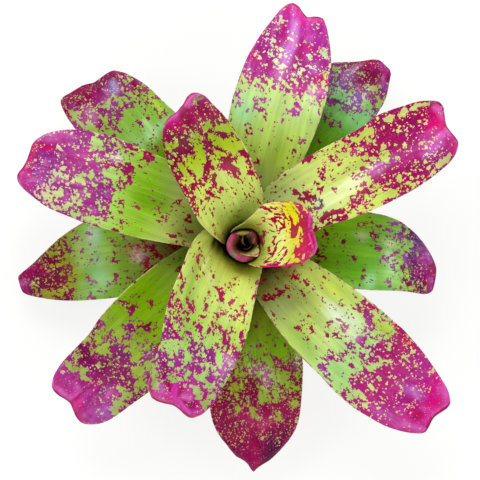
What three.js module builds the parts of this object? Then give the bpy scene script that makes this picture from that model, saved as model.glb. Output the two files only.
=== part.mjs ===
// A neoregelia, a tank bromeliad: a rosette of thirteen open strap leaves around a water-holding cup of
// young rolled leaves, all set on one short stem that is cut flat underneath. Millimetres, +Z up along the
// growth axis, origin at the centre of the cut face. Leaf 01 is the youngest open leaf and leaf 13 the
// oldest; each younger leaf lies inside and above the older ones, about 137 degrees further round.

import * as THREE from "three";

// ---- driving dimensions (mm) ----
const BLADE_THICKNESS = 1.8; // mid blade
const SHEATH_THICKNESS = 1.0; // clasping base
const MARGIN_THINNING = 0.45; // share of the thickness lost at the very margin
const BLADE_SHARE = 0.72; // share of the rows spent on the blade before the leaf end starts
const LEAF_END_START = 0.8; // where along the leaf its end starts to round off
const LEAF_COLUMNS = 11;
const LEAF_ROWS = 15;
const GROOVE_DEPTH = 1.6; // groove along the midrib
const GROOVE_WIDTH = 5.5;
const END_CURL = 3.0; // how far the last of the leaf end turns down
const MARGIN_TURN = 1.2; // how far the margins turn down
const CHANNEL_RISE = 3.0; // rise of the margins over the midrib, 30 mm out from it
const STEM_BASE_RADIUS = 31.5;
const STEM_TOP_RADIUS = 11.5;
const STEM_TOP_Z = 43.0;
const STEM_CLEARANCE = 1.6; // the leaf bases stand this far above the stepped shoulder of the stem
const STEM_SIDES = 36;
const CUP_CENTRE = [-1.5, -2.3]; // the young leaves lean this far off the axis at their rim
const INNER_THICKNESS = 0.9;

// Stations along a leaf, as shares of the way from its base to the corner of its end.
const STATIONS = [0, 0.12, 0.25, 0.38, 0.5, 0.6, 0.7, 0.78, 0.85, 0.9, 0.94, 0.97, 0.99, 1];
// Places across the leaf end, from its right corner (-1) over the notch (0) to its left corner (1).
const ACROSS = [-1, -0.85, -0.7, -0.5, -0.3, -0.15, 0, 0.15, 0.3, 0.5, 0.7, 0.85, 1];

// One row of numbers per leaf. azBase and azTip (degrees) are the directions in which the base and the tip
// point; reach is how far out the notch lies; baseR and baseZ place the base on the stem; peakR and peakZ
// are the top of the arch and tipZ the height of the notch; flare and wall shape the rise from base to
// arch; left and right are the half widths at the stations, cornerL and cornerR the distances out to the
// corners of the leaf end, and end its edge as [distance out, offset to the left].
const LEAVES = [
  { name: "leaf_01", azBase: 13, azTip: 14.4, reach: 53.7, baseR: 14.6, baseZ: 40, peakR: 46, peakZ: 152, tipZ: 147.5, flare: 3.2, wall: 5,
    cornerL: 52.5, cornerR: 51,
    left: [31.4, 25.2, 25.6, 28.4, 29.4, 27.8, 26.3, 25, 23.6, 22.3, 20.9, 19.5, 18.4, 17.8],
    right: [22.6, 23.6, 25.1, 26.3, 26.9, 27, 26.7, 26.1, 25.2, 24.4, 23.6, 22.9, 22.4, 22],
    end: [[51, -22], [53, -19.2], [54.3, -16], [54, -11.5], [53.5, -7], [53.3, -3.5], [53.7, -0.1], [55.1, 2.4], [55.9, 5.1], [55.7, 8.9], [55, 12.7], [54, 15.4], [52.5, 17.8]] },
  { name: "leaf_02", azBase: 117, azTip: 115.6, reach: 119.2, baseR: 16.1, baseZ: 36, peakR: 84, peakZ: 141, tipZ: 123, flare: 2.5, wall: 4.2,
    cornerL: 109.6, cornerR: 123.4,
    left: [19.3, 23.4, 26.2, 25.7, 25.7, 26.6, 26.6, 25.6, 24.4, 22.9, 21.2, 19.6, 18.3, 17.5],
    right: [20.1, 28.8, 33.2, 34, 33.5, 32.3, 30.7, 28.5, 25.8, 24, 22.8, 21.4, 19.7, 18.6],
    end: [[123.4, -18.6], [125.4, -16.1], [126.5, -13], [125.4, -8.9], [122.5, -5.5], [120.4, -3], [119.1, -0.1], [117.5, 2.5], [116.2, 5.3], [115.4, 9.3], [113.8, 13.1], [111.9, 15.5], [109.6, 17.5]] },
  { name: "leaf_03", azBase: 250, azTip: 246.1, reach: 142.3, baseR: 17.6, baseZ: 32.5, peakR: 92, peakZ: 133, tipZ: 107, flare: 2.4, wall: 3.6,
    cornerL: 140.5, cornerR: 144.9,
    left: [23.8, 22.7, 24.1, 26.9, 27.6, 27.5, 27.3, 27.2, 27, 25.6, 24.4, 23, 21.3, 20.3],
    right: [30.8, 51.2, 42.6, 40.7, 37.5, 34.2, 31.8, 30.8, 29.6, 27.7, 25.6, 23.2, 20.8, 19.2],
    end: [[144.9, -19.2], [146.2, -16.6], [146.2, -13.6], [145.3, -9.7], [144.1, -5.8], [143.1, -3], [142.3, -0.1], [142.2, 3.2], [142.4, 6.4], [143.4, 10.7], [143.9, 15], [142.8, 18], [140.5, 20.3]] },
  { name: "leaf_04", azBase: 29, azTip: 30.3, reach: 188.3, baseR: 19.1, baseZ: 29, peakR: 112, peakZ: 125, tipZ: 96, flare: 2.2, wall: 3.2,
    cornerL: 192.6, cornerR: 186.1,
    left: [25.8, 30.9, 34.8, 35.4, 34.7, 34.3, 35.9, 34.1, 31.4, 29.4, 26.9, 24.2, 22.2, 20.8],
    right: [25.8, 20.7, 19.3, 24, 26.8, 28.3, 29.2, 29, 28, 27, 25.5, 23.4, 21.1, 19.6],
    end: [[186.1, -19.6], [188.2, -17.3], [189.1, -14.4], [188.7, -10.3], [188.1, -6.2], [188.1, -3.1], [188.3, 0], [189.3, 3.3], [190.7, 6.4], [192.8, 10.5], [194.8, 14.6], [194.4, 17.9], [192.6, 20.8]] },
  { name: "leaf_05", azBase: 157, azTip: 161.8, reach: 192, baseR: 20.6, baseZ: 26, peakR: 114, peakZ: 116, tipZ: 84, flare: 2.1, wall: 2.9,
    cornerL: 191.8, cornerR: 180.7,
    left: [27.8, 20.9, 24.9, 28.7, 29.9, 30.8, 29.3, 27.8, 25, 21.4, 18, 15.2, 12.7, 10.6],
    right: [27.8, 31.7, 35.9, 38.1, 39.3, 40.9, 41.4, 40.7, 39.1, 36.9, 34.4, 31.9, 29.8, 28.4],
    end: [[180.7, -28.4], [183.9, -24.9], [186.2, -20.8], [187, -14.6], [187.9, -8.5], [189.6, -4.1], [192, -0], [192.9, 1.5], [193.7, 3.1], [194.2, 5.4], [193.6, 7.6], [192.8, 9.2], [191.8, 10.6]] },
  { name: "leaf_06", azBase: 309, azTip: 317.4, reach: 211.1, baseR: 22.1, baseZ: 23.5, peakR: 120, peakZ: 107, tipZ: 74, flare: 2.1, wall: 2.7,
    cornerL: 216.8, cornerR: 205.6,
    left: [29.8, 31.9, 38.9, 44.1, 46.1, 46.2, 43.9, 40.4, 35.8, 31.7, 27.9, 24.1, 20.4, 17.8],
    right: [29.8, 21.6, 24.2, 25.6, 25.4, 27, 27.6, 26.5, 25.5, 23.7, 21.7, 19.9, 18.4, 17.5],
    end: [[205.6, -17.5], [208, -15.9], [209.8, -13.6], [210.2, -9.7], [210.2, -5.8], [210.5, -2.9], [211.1, -0.1], [212.2, 2.7], [213.5, 5.3], [215.6, 8.6], [217.4, 12.1], [217.8, 15], [216.8, 17.8]] },
  { name: "leaf_07", azBase: 78, azTip: 74.6, reach: 192.9, baseR: 23.6, baseZ: 21, peakR: 114, peakZ: 98, tipZ: 68, flare: 2, wall: 2.5,
    cornerL: 195.3, cornerR: 195.5,
    left: [31.9, 32.7, 33.7, 35, 36.2, 35.6, 34.4, 31.8, 28.8, 26.3, 24.3, 22.7, 21.1, 20],
    right: [31.9, 30.9, 30, 33.4, 36, 36.5, 35, 32.5, 28.5, 24.6, 21.1, 18, 15.3, 13.7],
    end: [[195.5, -13.7], [196.7, -11.8], [196.7, -9.6], [196, -6.7], [194.8, -4], [193.6, -2.1], [193, -0.1], [194.3, 3.2], [196.1, 6.2], [198.7, 10.1], [199.7, 14.6], [197.9, 17.6], [195.3, 20]] },
  { name: "leaf_08", azBase: 222, azTip: 222.5, reach: 196.6, baseR: 25.1, baseZ: 18.5, peakR: 114, peakZ: 89, tipZ: 59, flare: 2, wall: 2.4,
    cornerL: 197.7, cornerR: 196,
    left: [33.9, 34.6, 35.6, 36.5, 37.2, 37.5, 36.2, 34.8, 33.6, 32.3, 30, 27.1, 24.6, 23],
    right: [33.9, 33, 35.5, 36.8, 35.9, 34.1, 30.4, 29.8, 29.4, 28.5, 27, 25.2, 23.3, 22],
    end: [[196, -22], [198.4, -19.4], [199.3, -16], [198.8, -11.3], [197.4, -6.9], [196.7, -3.4], [196.6, 0.1], [197.7, 3.6], [199, 7.1], [200.9, 11.8], [201.4, 16.6], [200, 20.1], [197.7, 23]] },
  { name: "leaf_09", azBase: 356, azTip: 353.1, reach: 160.3, baseR: 26.6, baseZ: 16, peakR: 102, peakZ: 76, tipZ: 50, flare: 2, wall: 2.3,
    cornerL: 141.6, cornerR: 160.7,
    left: [35.9, 35.5, 34.9, 34.4, 34.1, 34, 33.5, 32.1, 29.9, 26.9, 24.2, 21.9, 20.1, 19.1],
    right: [35.9, 34.1, 32, 30.2, 29.5, 28.9, 27.5, 26.2, 25.5, 25.4, 25.2, 24.5, 23.5, 22.3],
    end: [[160.7, -22.3], [162.2, -19.3], [162.4, -15.9], [162.2, -11.3], [161.8, -6.7], [161.5, -3.3], [160.4, -0.1], [158.1, 3.2], [155.4, 6.3], [151.6, 10], [147.7, 13.8], [144.7, 16.6], [141.6, 19.1]] },
  { name: "leaf_10", azBase: 136, azTip: 133.3, reach: 184.9, baseR: 28.1, baseZ: 13.5, peakR: 108, peakZ: 68, tipZ: 42, flare: 2, wall: 2.2,
    cornerL: 190.5, cornerR: 179.5,
    left: [37.9, 37.7, 37.5, 37.3, 37.1, 36.9, 36.6, 36.4, 35.9, 35.6, 34.6, 33.6, 32.6, 31.5],
    right: [37.9, 37.4, 36.9, 36.4, 35.7, 35, 33.9, 33.2, 31.4, 29.1, 26.9, 24.5, 22.4, 21.2],
    end: [[179.5, -21.2], [181.9, -18.8], [183.2, -15.7], [183.6, -11.2], [184, -6.7], [184.4, -3.3], [184.9, 0], [186.9, 4.5], [188.7, 9.1], [189.7, 15.6], [190.6, 22.1], [191.5, 26.9], [190.5, 31.5]] },
  { name: "leaf_11", azBase: 270, azTip: 272.2, reach: 193.3, baseR: 29.6, baseZ: 11, peakR: 108, peakZ: 60, tipZ: 33, flare: 2, wall: 2.1,
    cornerL: 172.9, cornerR: 175.1,
    left: [40, 41.5, 43, 44.8, 46.6, 45.9, 44.5, 43, 40.7, 37.7, 34.1, 30.8, 28.2, 26.7],
    right: [40, 38.5, 37, 35.4, 34, 32.8, 31.8, 30.7, 27.8, 24.2, 20.2, 17.6, 15.7, 14.6],
    end: [[175.1, -14.6], [177.9, -12.2], [180, -9.3], [183.2, -5.9], [187.3, -3.3], [190.6, -2], [193.1, 0], [189.9, 3.9], [187.1, 8.1], [183.9, 14], [179.7, 19.3], [176.3, 23], [172.9, 26.7]] },
  { name: "leaf_12", azBase: 55, azTip: 51.6, reach: 191.6, baseR: 31.1, baseZ: 8.5, peakR: 108, peakZ: 52, tipZ: 29, flare: 2, wall: 2,
    cornerL: 166.1, cornerR: 188.2,
    left: [42, 41, 39.7, 38.4, 37.5, 37, 36.9, 37.3, 36.7, 35.7, 34.7, 33, 30.8, 29.4],
    right: [42, 38.3, 33.9, 29.9, 27.5, 26.8, 25.3, 23, 21.2, 18.3, 14.7, 11.8, 9.8, 8.7],
    end: [[188.2, -8.7], [189.3, -7.8], [190.4, -6.7], [191.3, -5], [191.6, -3], [191.6, -1.5], [191.6, -0], [191, 6], [187.3, 10.7], [180.7, 15.4], [174.5, 20.7], [170.2, 25], [166.1, 29.4]] },
  { name: "leaf_13", azBase: 188, azTip: 188.6, reach: 194.8, baseR: 32.6, baseZ: 6, peakR: 108, peakZ: 45, tipZ: 24, flare: 2, wall: 2,
    cornerL: 191.2, cornerR: 166.9,
    left: [44, 40.1, 35.3, 31.5, 29.9, 29.1, 27.8, 25.9, 23.4, 21, 18.8, 17, 15.4, 14.1],
    right: [44, 43.2, 42.6, 41.9, 40.9, 39.8, 37.4, 33.9, 29.7, 26.2, 22.8, 20, 18.2, 17.2],
    end: [[166.9, -17.2], [171, -14.4], [175, -11.6], [180.6, -8.2], [186.5, -5.3], [190.9, -3], [194.7, -0], [194.7, 2.2], [194.3, 4.4], [193.9, 7.4], [193.4, 10.3], [192.5, 12.4], [191.2, 14.1]] },];

// The young leaves of the cup, outermost first. Each is a sheet wrapped round the cup's centre from azimuth
// from to azimuth to (degrees); profile lists [radius, height] from its base to the end of its rolled rim,
// stretch the x and y stretch of the rim, and fall the drop of the rim at the two margins.
const INNER = [
  { name: "inner_leaf_1", from: 118, to: 317, steps: 24, stretch: [1.0, 0.93], fall: [2.5, 2],
    profile: [[10.8, 44.5], [11.4, 70], [12.7, 94], [13.5, 107], [13.2, 113.5], [12.2, 117], [10.9, 118.3], [9.4, 117.2], [8.6, 113.5], [8.3, 109]] },
  { name: "inner_leaf_2", from: 10, to: 111, steps: 14, stretch: [1.0, 0.98], fall: [5, 1],
    profile: [[9.8, 44.5], [10.2, 70], [10.9, 94], [11.6, 108], [11.9, 115], [11.2, 119.5], [10.2, 120.6], [9.0, 120.2]] },
  { name: "inner_leaf_3", from: -39, to: 5, steps: 8, stretch: [1.0, 1.0], fall: [3, 6],
    profile: [[9.6, 44.5], [10.0, 70], [9.8, 94], [10.4, 104], [11.6, 111], [13.3, 117], [14.0, 118.6]] },
  { name: "inner_leaf_4", from: -140, to: 62, steps: 18, centre: [0.7, -0.5], stretch: [1.0, 1.0], fall: [7, 5],
    profile: [[3.5, 44.5], [3.8, 65], [4.1, 88], [4.4, 106]] },
];
// The innermost, still unrolled leaf: an upright sheet along a short curved line.
const SPEAR = { name: "inner_leaf_5", line: [[-2.5, 4.9], [-1.9, 3.2], [-1.2, 1.5], [0, -0.6], [1.2, -2.2]], bottom: 44.5, top: [112.5, 111.8, 110.5, 107, 101] };

// ---- small helpers ----
const rad = (deg) => (deg * Math.PI) / 180;
const clamp = (x, lo, hi) => Math.min(hi, Math.max(lo, x));
const smooth = (a, b, x) => {
  const t = clamp((x - a) / (b - a), 0, 1);
  return t * t * (3 - 2 * t);
};

// Monotone cubic through the points (xs, ys), read at x.
function through(xs, ys, x) {
  const n = xs.length;
  const h = [], d = [];
  for (let k = 0; k < n - 1; k++) {
    h.push(xs[k + 1] - xs[k]);
    d.push((ys[k + 1] - ys[k]) / h[k]);
  }
  const slope = (k) => {
    if (k === 0) return d[0];
    if (k === n - 1) return d[n - 2];
    if (d[k - 1] * d[k] <= 0) return 0;
    const w1 = 2 * h[k] + h[k - 1], w2 = h[k] + 2 * h[k - 1];
    return (w1 + w2) / (w1 / d[k - 1] + w2 / d[k]);
  };
  let k = 0;
  while (k < n - 2 && x >= xs[k + 1]) k++;
  const t = (x - xs[k]) / h[k], t2 = t * t, t3 = t2 * t;
  return (2 * t3 - 3 * t2 + 1) * ys[k] + (t3 - 2 * t2 + t) * h[k] * slope(k) +
    (3 * t2 - 2 * t3) * ys[k + 1] + (t3 - t2) * h[k] * slope(k + 1);
}

// ---- the shape of an open leaf ----
// Height of the leaf over the distance r from the axis: a steep wall from the base, an arch, a droop.
function height(leaf, r) {
  const x = clamp((r - leaf.baseR) / (leaf.peakR - leaf.baseR), 0, 1);
  if (x < 1)
    return leaf.baseZ + (leaf.peakZ - leaf.baseZ) * (1 - (1 - x) ** leaf.flare) ** (1 / leaf.wall);
  const d = (r - leaf.peakR) / (leaf.reach - leaf.peakR);
  return leaf.peakZ - (leaf.peakZ - leaf.tipZ) * d * d;
}

// The point of the leaf that lies s out along the midrib and b across it, to the left.
function place(leaf, s, b) {
  const base = rad(leaf.azBase), turn = rad(leaf.azTip - leaf.azBase);
  const az = base + turn * (s / leaf.reach) ** 2;
  const bend = (s * turn * 2 * s) / leaf.reach ** 2;
  let fx = Math.cos(az) - Math.sin(az) * bend, fy = Math.sin(az) + Math.cos(az) * bend;
  const l = Math.hypot(fx, fy);
  fx /= l;
  fy /= l;
  // Near the base the rows run round the axis; further out they run straight across.
  const curve = (1 - smooth(leaf.baseR + 6, 95, s)) / Math.max(s, 1);
  const across = Math.abs(curve) < 1e-9 ? b : Math.sin(curve * b) / curve;
  const back = Math.abs(curve) < 1e-9 ? 0 : (1 - Math.cos(curve * b)) / curve;
  const x = s * Math.cos(az) - fy * across - fx * back;
  const y = s * Math.sin(az) + fx * across - fy * back;
  let z = height(leaf, Math.max(Math.hypot(x, y), leaf.baseR));
  z += CHANNEL_RISE * (b / 30) ** 2 * smooth(25, 60, s) * (1 - smooth(leaf.reach * 0.55, leaf.reach * 0.9, s));
  return new THREE.Vector3(x, y, z);
}

// Shares of the distance out that give rows evenly spaced along the arched midrib.
function evenRows(leaf, shoulder) {
  const n = 600, dist = [0], share = [0];
  let last = place(leaf, leaf.baseR, 0);
  for (let k = 1; k <= n; k++) {
    const q = (k / n) ** 2, p = place(leaf, leaf.baseR + (shoulder - leaf.baseR) * q, 0);
    dist.push(dist[k - 1] + p.distanceTo(last));
    share.push(q);
    last = p;
  }
  return (t) => {
    const d = t * dist[n];
    let k = 1;
    while (k < n && dist[k] < d) k++;
    return share[k - 1] + ((share[k] - share[k - 1]) * (d - dist[k - 1])) / (dist[k] - dist[k - 1]);
  };
}

function leafGrid(leaf) {
  const shoulder = leaf.baseR + LEAF_END_START * (Math.min(leaf.cornerL, leaf.cornerR) - leaf.baseR);
  const even = evenRows(leaf, shoulder);
  const endOut = leaf.end.map((e) => e[0]), endAcross = leaf.end.map((e) => e[1]);
  const rows = [];
  for (let j = 0; j < LEAF_ROWS; j++) {
    const v = j / (LEAF_ROWS - 1), row = [];
    for (let i = 0; i < LEAF_COLUMNS; i++) {
      const u = Math.sin(((2 * i) / (LEAF_COLUMNS - 1) - 1) * 1.335) / Math.sin(1.335);
      const left = u >= 0, corner = left ? leaf.cornerL : leaf.cornerR, widths = left ? leaf.left : leaf.right;
      const tau = clamp((v - BLADE_SHARE) / (1 - BLADE_SHARE), 0, 1);
      const body = leaf.baseR + (shoulder - leaf.baseR) * even(clamp(v / BLADE_SHARE, 0, 1));
      const s = tau > 0 ? shoulder + (through(ACROSS, endOut, u) - shoulder) * tau : body;
      const margin = tau > 0 ? shoulder + (corner - shoulder) * tau : body;
      const w = through(STATIONS, widths, (margin - leaf.baseR) / (corner - leaf.baseR));
      const b = u * w * (1 - tau * tau) + ((through(ACROSS, endAcross, u) * w) / widths[widths.length - 1]) * tau * tau;
      const p = place(leaf, s, b);
      p.z -= GROOVE_DEPTH * Math.exp(-((b / GROOVE_WIDTH) ** 2)) * smooth(0.25, 0.95, v);
      p.z -= END_CURL * smooth(0.93, 1, v) ** 1.3;
      p.z -= MARGIN_TURN * smooth(0.8, 1, Math.abs(u)) * smooth(0.35, 0.8, v);
      const thick = (SHEATH_THICKNESS + (BLADE_THICKNESS - SHEATH_THICKNESS) * smooth(0.15, 0.5, v)) *
        (1 - MARGIN_THINNING * Math.abs(u) ** 6);
      row.push({ p, thick });
    }
    rows.push(row);
  }
  return rows;
}

// A closed sheet from a grid of {p, thick}: each point is moved half the thickness to both sides.
function sheet(rows, facing) {
  const nv = rows.length, nu = rows[0].length;
  const at = (j, i) => rows[clamp(j, 0, nv - 1)][clamp(i, 0, nu - 1)].p;
  const a = [], b = [];
  for (let j = 0; j < nv; j++)
    for (let i = 0; i < nu; i++) {
      const du = at(j, i + 1).clone().sub(at(j, i - 1)), dv = at(j + 1, i).clone().sub(at(j - 1, i));
      const n = dv.cross(du).normalize().multiplyScalar((facing * rows[j][i].thick) / 2);
      a.push(rows[j][i].p.clone().add(n));
      b.push(rows[j][i].p.clone().sub(n));
    }
  const position = [...a, ...b].flatMap((p) => [p.x, p.y, p.z]);
  const index = [], off = nv * nu, id = (j, i) => j * nu + i;
  const quad = (p, q, r, s) => (facing > 0 ? index.push(p, q, r, p, r, s) : index.push(p, r, q, p, s, r));
  for (let j = 0; j < nv - 1; j++)
    for (let i = 0; i < nu - 1; i++) {
      const p = id(j, i), q = id(j, i + 1), r = id(j + 1, i + 1), s = id(j + 1, i);
      quad(p, s, r, q);
      quad(off + p, off + q, off + r, off + s);
    }
  for (let j = 0; j < nv - 1; j++) {
    quad(id(j, 0), off + id(j, 0), off + id(j + 1, 0), id(j + 1, 0));
    quad(id(j, nu - 1), id(j + 1, nu - 1), off + id(j + 1, nu - 1), off + id(j, nu - 1));
  }
  for (let i = 0; i < nu - 1; i++) {
    quad(id(0, i), id(0, i + 1), off + id(0, i + 1), off + id(0, i));
    quad(id(nv - 1, i), off + id(nv - 1, i), off + id(nv - 1, i + 1), id(nv - 1, i + 1));
  }
  const g = new THREE.BufferGeometry();
  g.setAttribute("position", new THREE.Float32BufferAttribute(position, 3));
  g.setIndex(index);
  g.computeVertexNormals();
  return g;
}

// A young leaf: its profile swept round the cup's centre, which drifts off the axis towards the rim.
function innerGrid(leaf) {
  const rows = [], n = leaf.profile.length;
  for (let j = 0; j < n; j++) {
    const row = [];
    for (let i = 0; i <= leaf.steps; i++) {
      const t = i / leaf.steps, az = rad(leaf.from + (leaf.to - leaf.from) * t);
      const [r, z0] = leaf.profile[j];
      const side = Math.abs(2 * t - 1) ** 4;
      const z = z0 - side * (t < 0.5 ? leaf.fall[0] : leaf.fall[1]) * smooth(60, 112, z0);
      const drift = leaf.centre ? 1 : smooth(45, 108, z0);
      const [cx, cy] = leaf.centre ?? CUP_CENTRE;
      row.push({ p: new THREE.Vector3(cx * drift + r * leaf.stretch[0] * Math.cos(az), cy * drift + r * leaf.stretch[1] * Math.sin(az), z), thick: INNER_THICKNESS });
    }
    rows.push(row);
  }
  return rows;
}

function spearGrid(leaf) {
  const curve = new THREE.CatmullRomCurve3(leaf.line.map(([x, y]) => new THREE.Vector3(x, y, 0)));
  const rows = [];
  for (let j = 0; j <= 6; j++) {
    const row = [];
    for (let i = 0; i <= 8; i++) {
      const q = curve.getPoint(i / 8), top = through([0, 0.25, 0.5, 0.75, 1], leaf.top, i / 8);
      q.z = leaf.bottom + (top - leaf.bottom) * (j / 6);
      row.push({ p: q, thick: INNER_THICKNESS });
    }
    rows.push(row);
  }
  return rows;
}

// The stem: a short cone whose shoulder follows the leaf bases, with a flat cut face underneath.
function stemGeometry() {
  const points = [new THREE.Vector2(0, 0), new THREE.Vector2(STEM_BASE_RADIUS, 0)];
  for (const leaf of [...LEAVES].reverse())
    points.push(new THREE.Vector2(leaf.baseR - 0.4, leaf.baseZ - STEM_CLEARANCE));
  points.push(new THREE.Vector2(STEM_TOP_RADIUS, STEM_TOP_Z), new THREE.Vector2(0, STEM_TOP_Z));
  const g = new THREE.LatheGeometry(points, STEM_SIDES);
  g.rotateX(Math.PI / 2);
  return g;
}

// ---- assembly ----
const finish = (color, roughness) => new THREE.MeshStandardMaterial({ color, roughness, metalness: 0 });
const OPEN_LEAF_GREENS = ["#c4cf45", "#b4cc4a", "#b2cf58", "#a9c955", "#9dc24e", "#a6cc5c", "#a3cb57", "#8fb83f", "#6fa32f", "#8ab143", "#7fa53c", "#5f9136", "#7aa53a"];
const INNER_COLOURS = ["#b04b69", "#8a5a3a", "#b3ad4c", "#2c2c2a", "#54452a"];

const root = new THREE.Group();
const add = (name, geometry, material) => {
  const mesh = new THREE.Mesh(geometry, material);
  mesh.name = name;
  root.add(mesh);
};

add("stem", stemGeometry(), finish("#8a7a4e", 0.85));
LEAVES.forEach((leaf, k) => add(leaf.name, sheet(leafGrid(leaf), 1), finish(OPEN_LEAF_GREENS[k], 0.35)));
INNER.forEach((leaf, k) => add(leaf.name, sheet(innerGrid(leaf), 1), finish(INNER_COLOURS[k], 0.4)));
add(SPEAR.name, sheet(spearGrid(SPEAR), 1), finish(INNER_COLOURS[4], 0.4));

export default root;
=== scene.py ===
"""A neoregelia bromeliad: thirteen open leaves round a cup of young rolled leaves, on a short cut stem."""

import math

import bpy
import numpy as np
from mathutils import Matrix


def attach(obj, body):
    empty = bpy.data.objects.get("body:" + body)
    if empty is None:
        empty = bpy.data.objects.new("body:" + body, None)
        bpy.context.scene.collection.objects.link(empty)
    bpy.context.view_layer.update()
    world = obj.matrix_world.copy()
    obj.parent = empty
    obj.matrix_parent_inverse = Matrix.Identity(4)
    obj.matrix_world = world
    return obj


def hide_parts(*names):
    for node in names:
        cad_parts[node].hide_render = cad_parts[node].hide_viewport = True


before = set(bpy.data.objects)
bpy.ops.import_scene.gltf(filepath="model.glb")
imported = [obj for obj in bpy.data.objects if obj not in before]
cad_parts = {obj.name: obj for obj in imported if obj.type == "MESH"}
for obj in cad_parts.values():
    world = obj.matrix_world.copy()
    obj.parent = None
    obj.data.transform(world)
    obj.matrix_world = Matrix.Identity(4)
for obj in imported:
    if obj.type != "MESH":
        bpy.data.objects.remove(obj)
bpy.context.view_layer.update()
MM = 0.001

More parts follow.
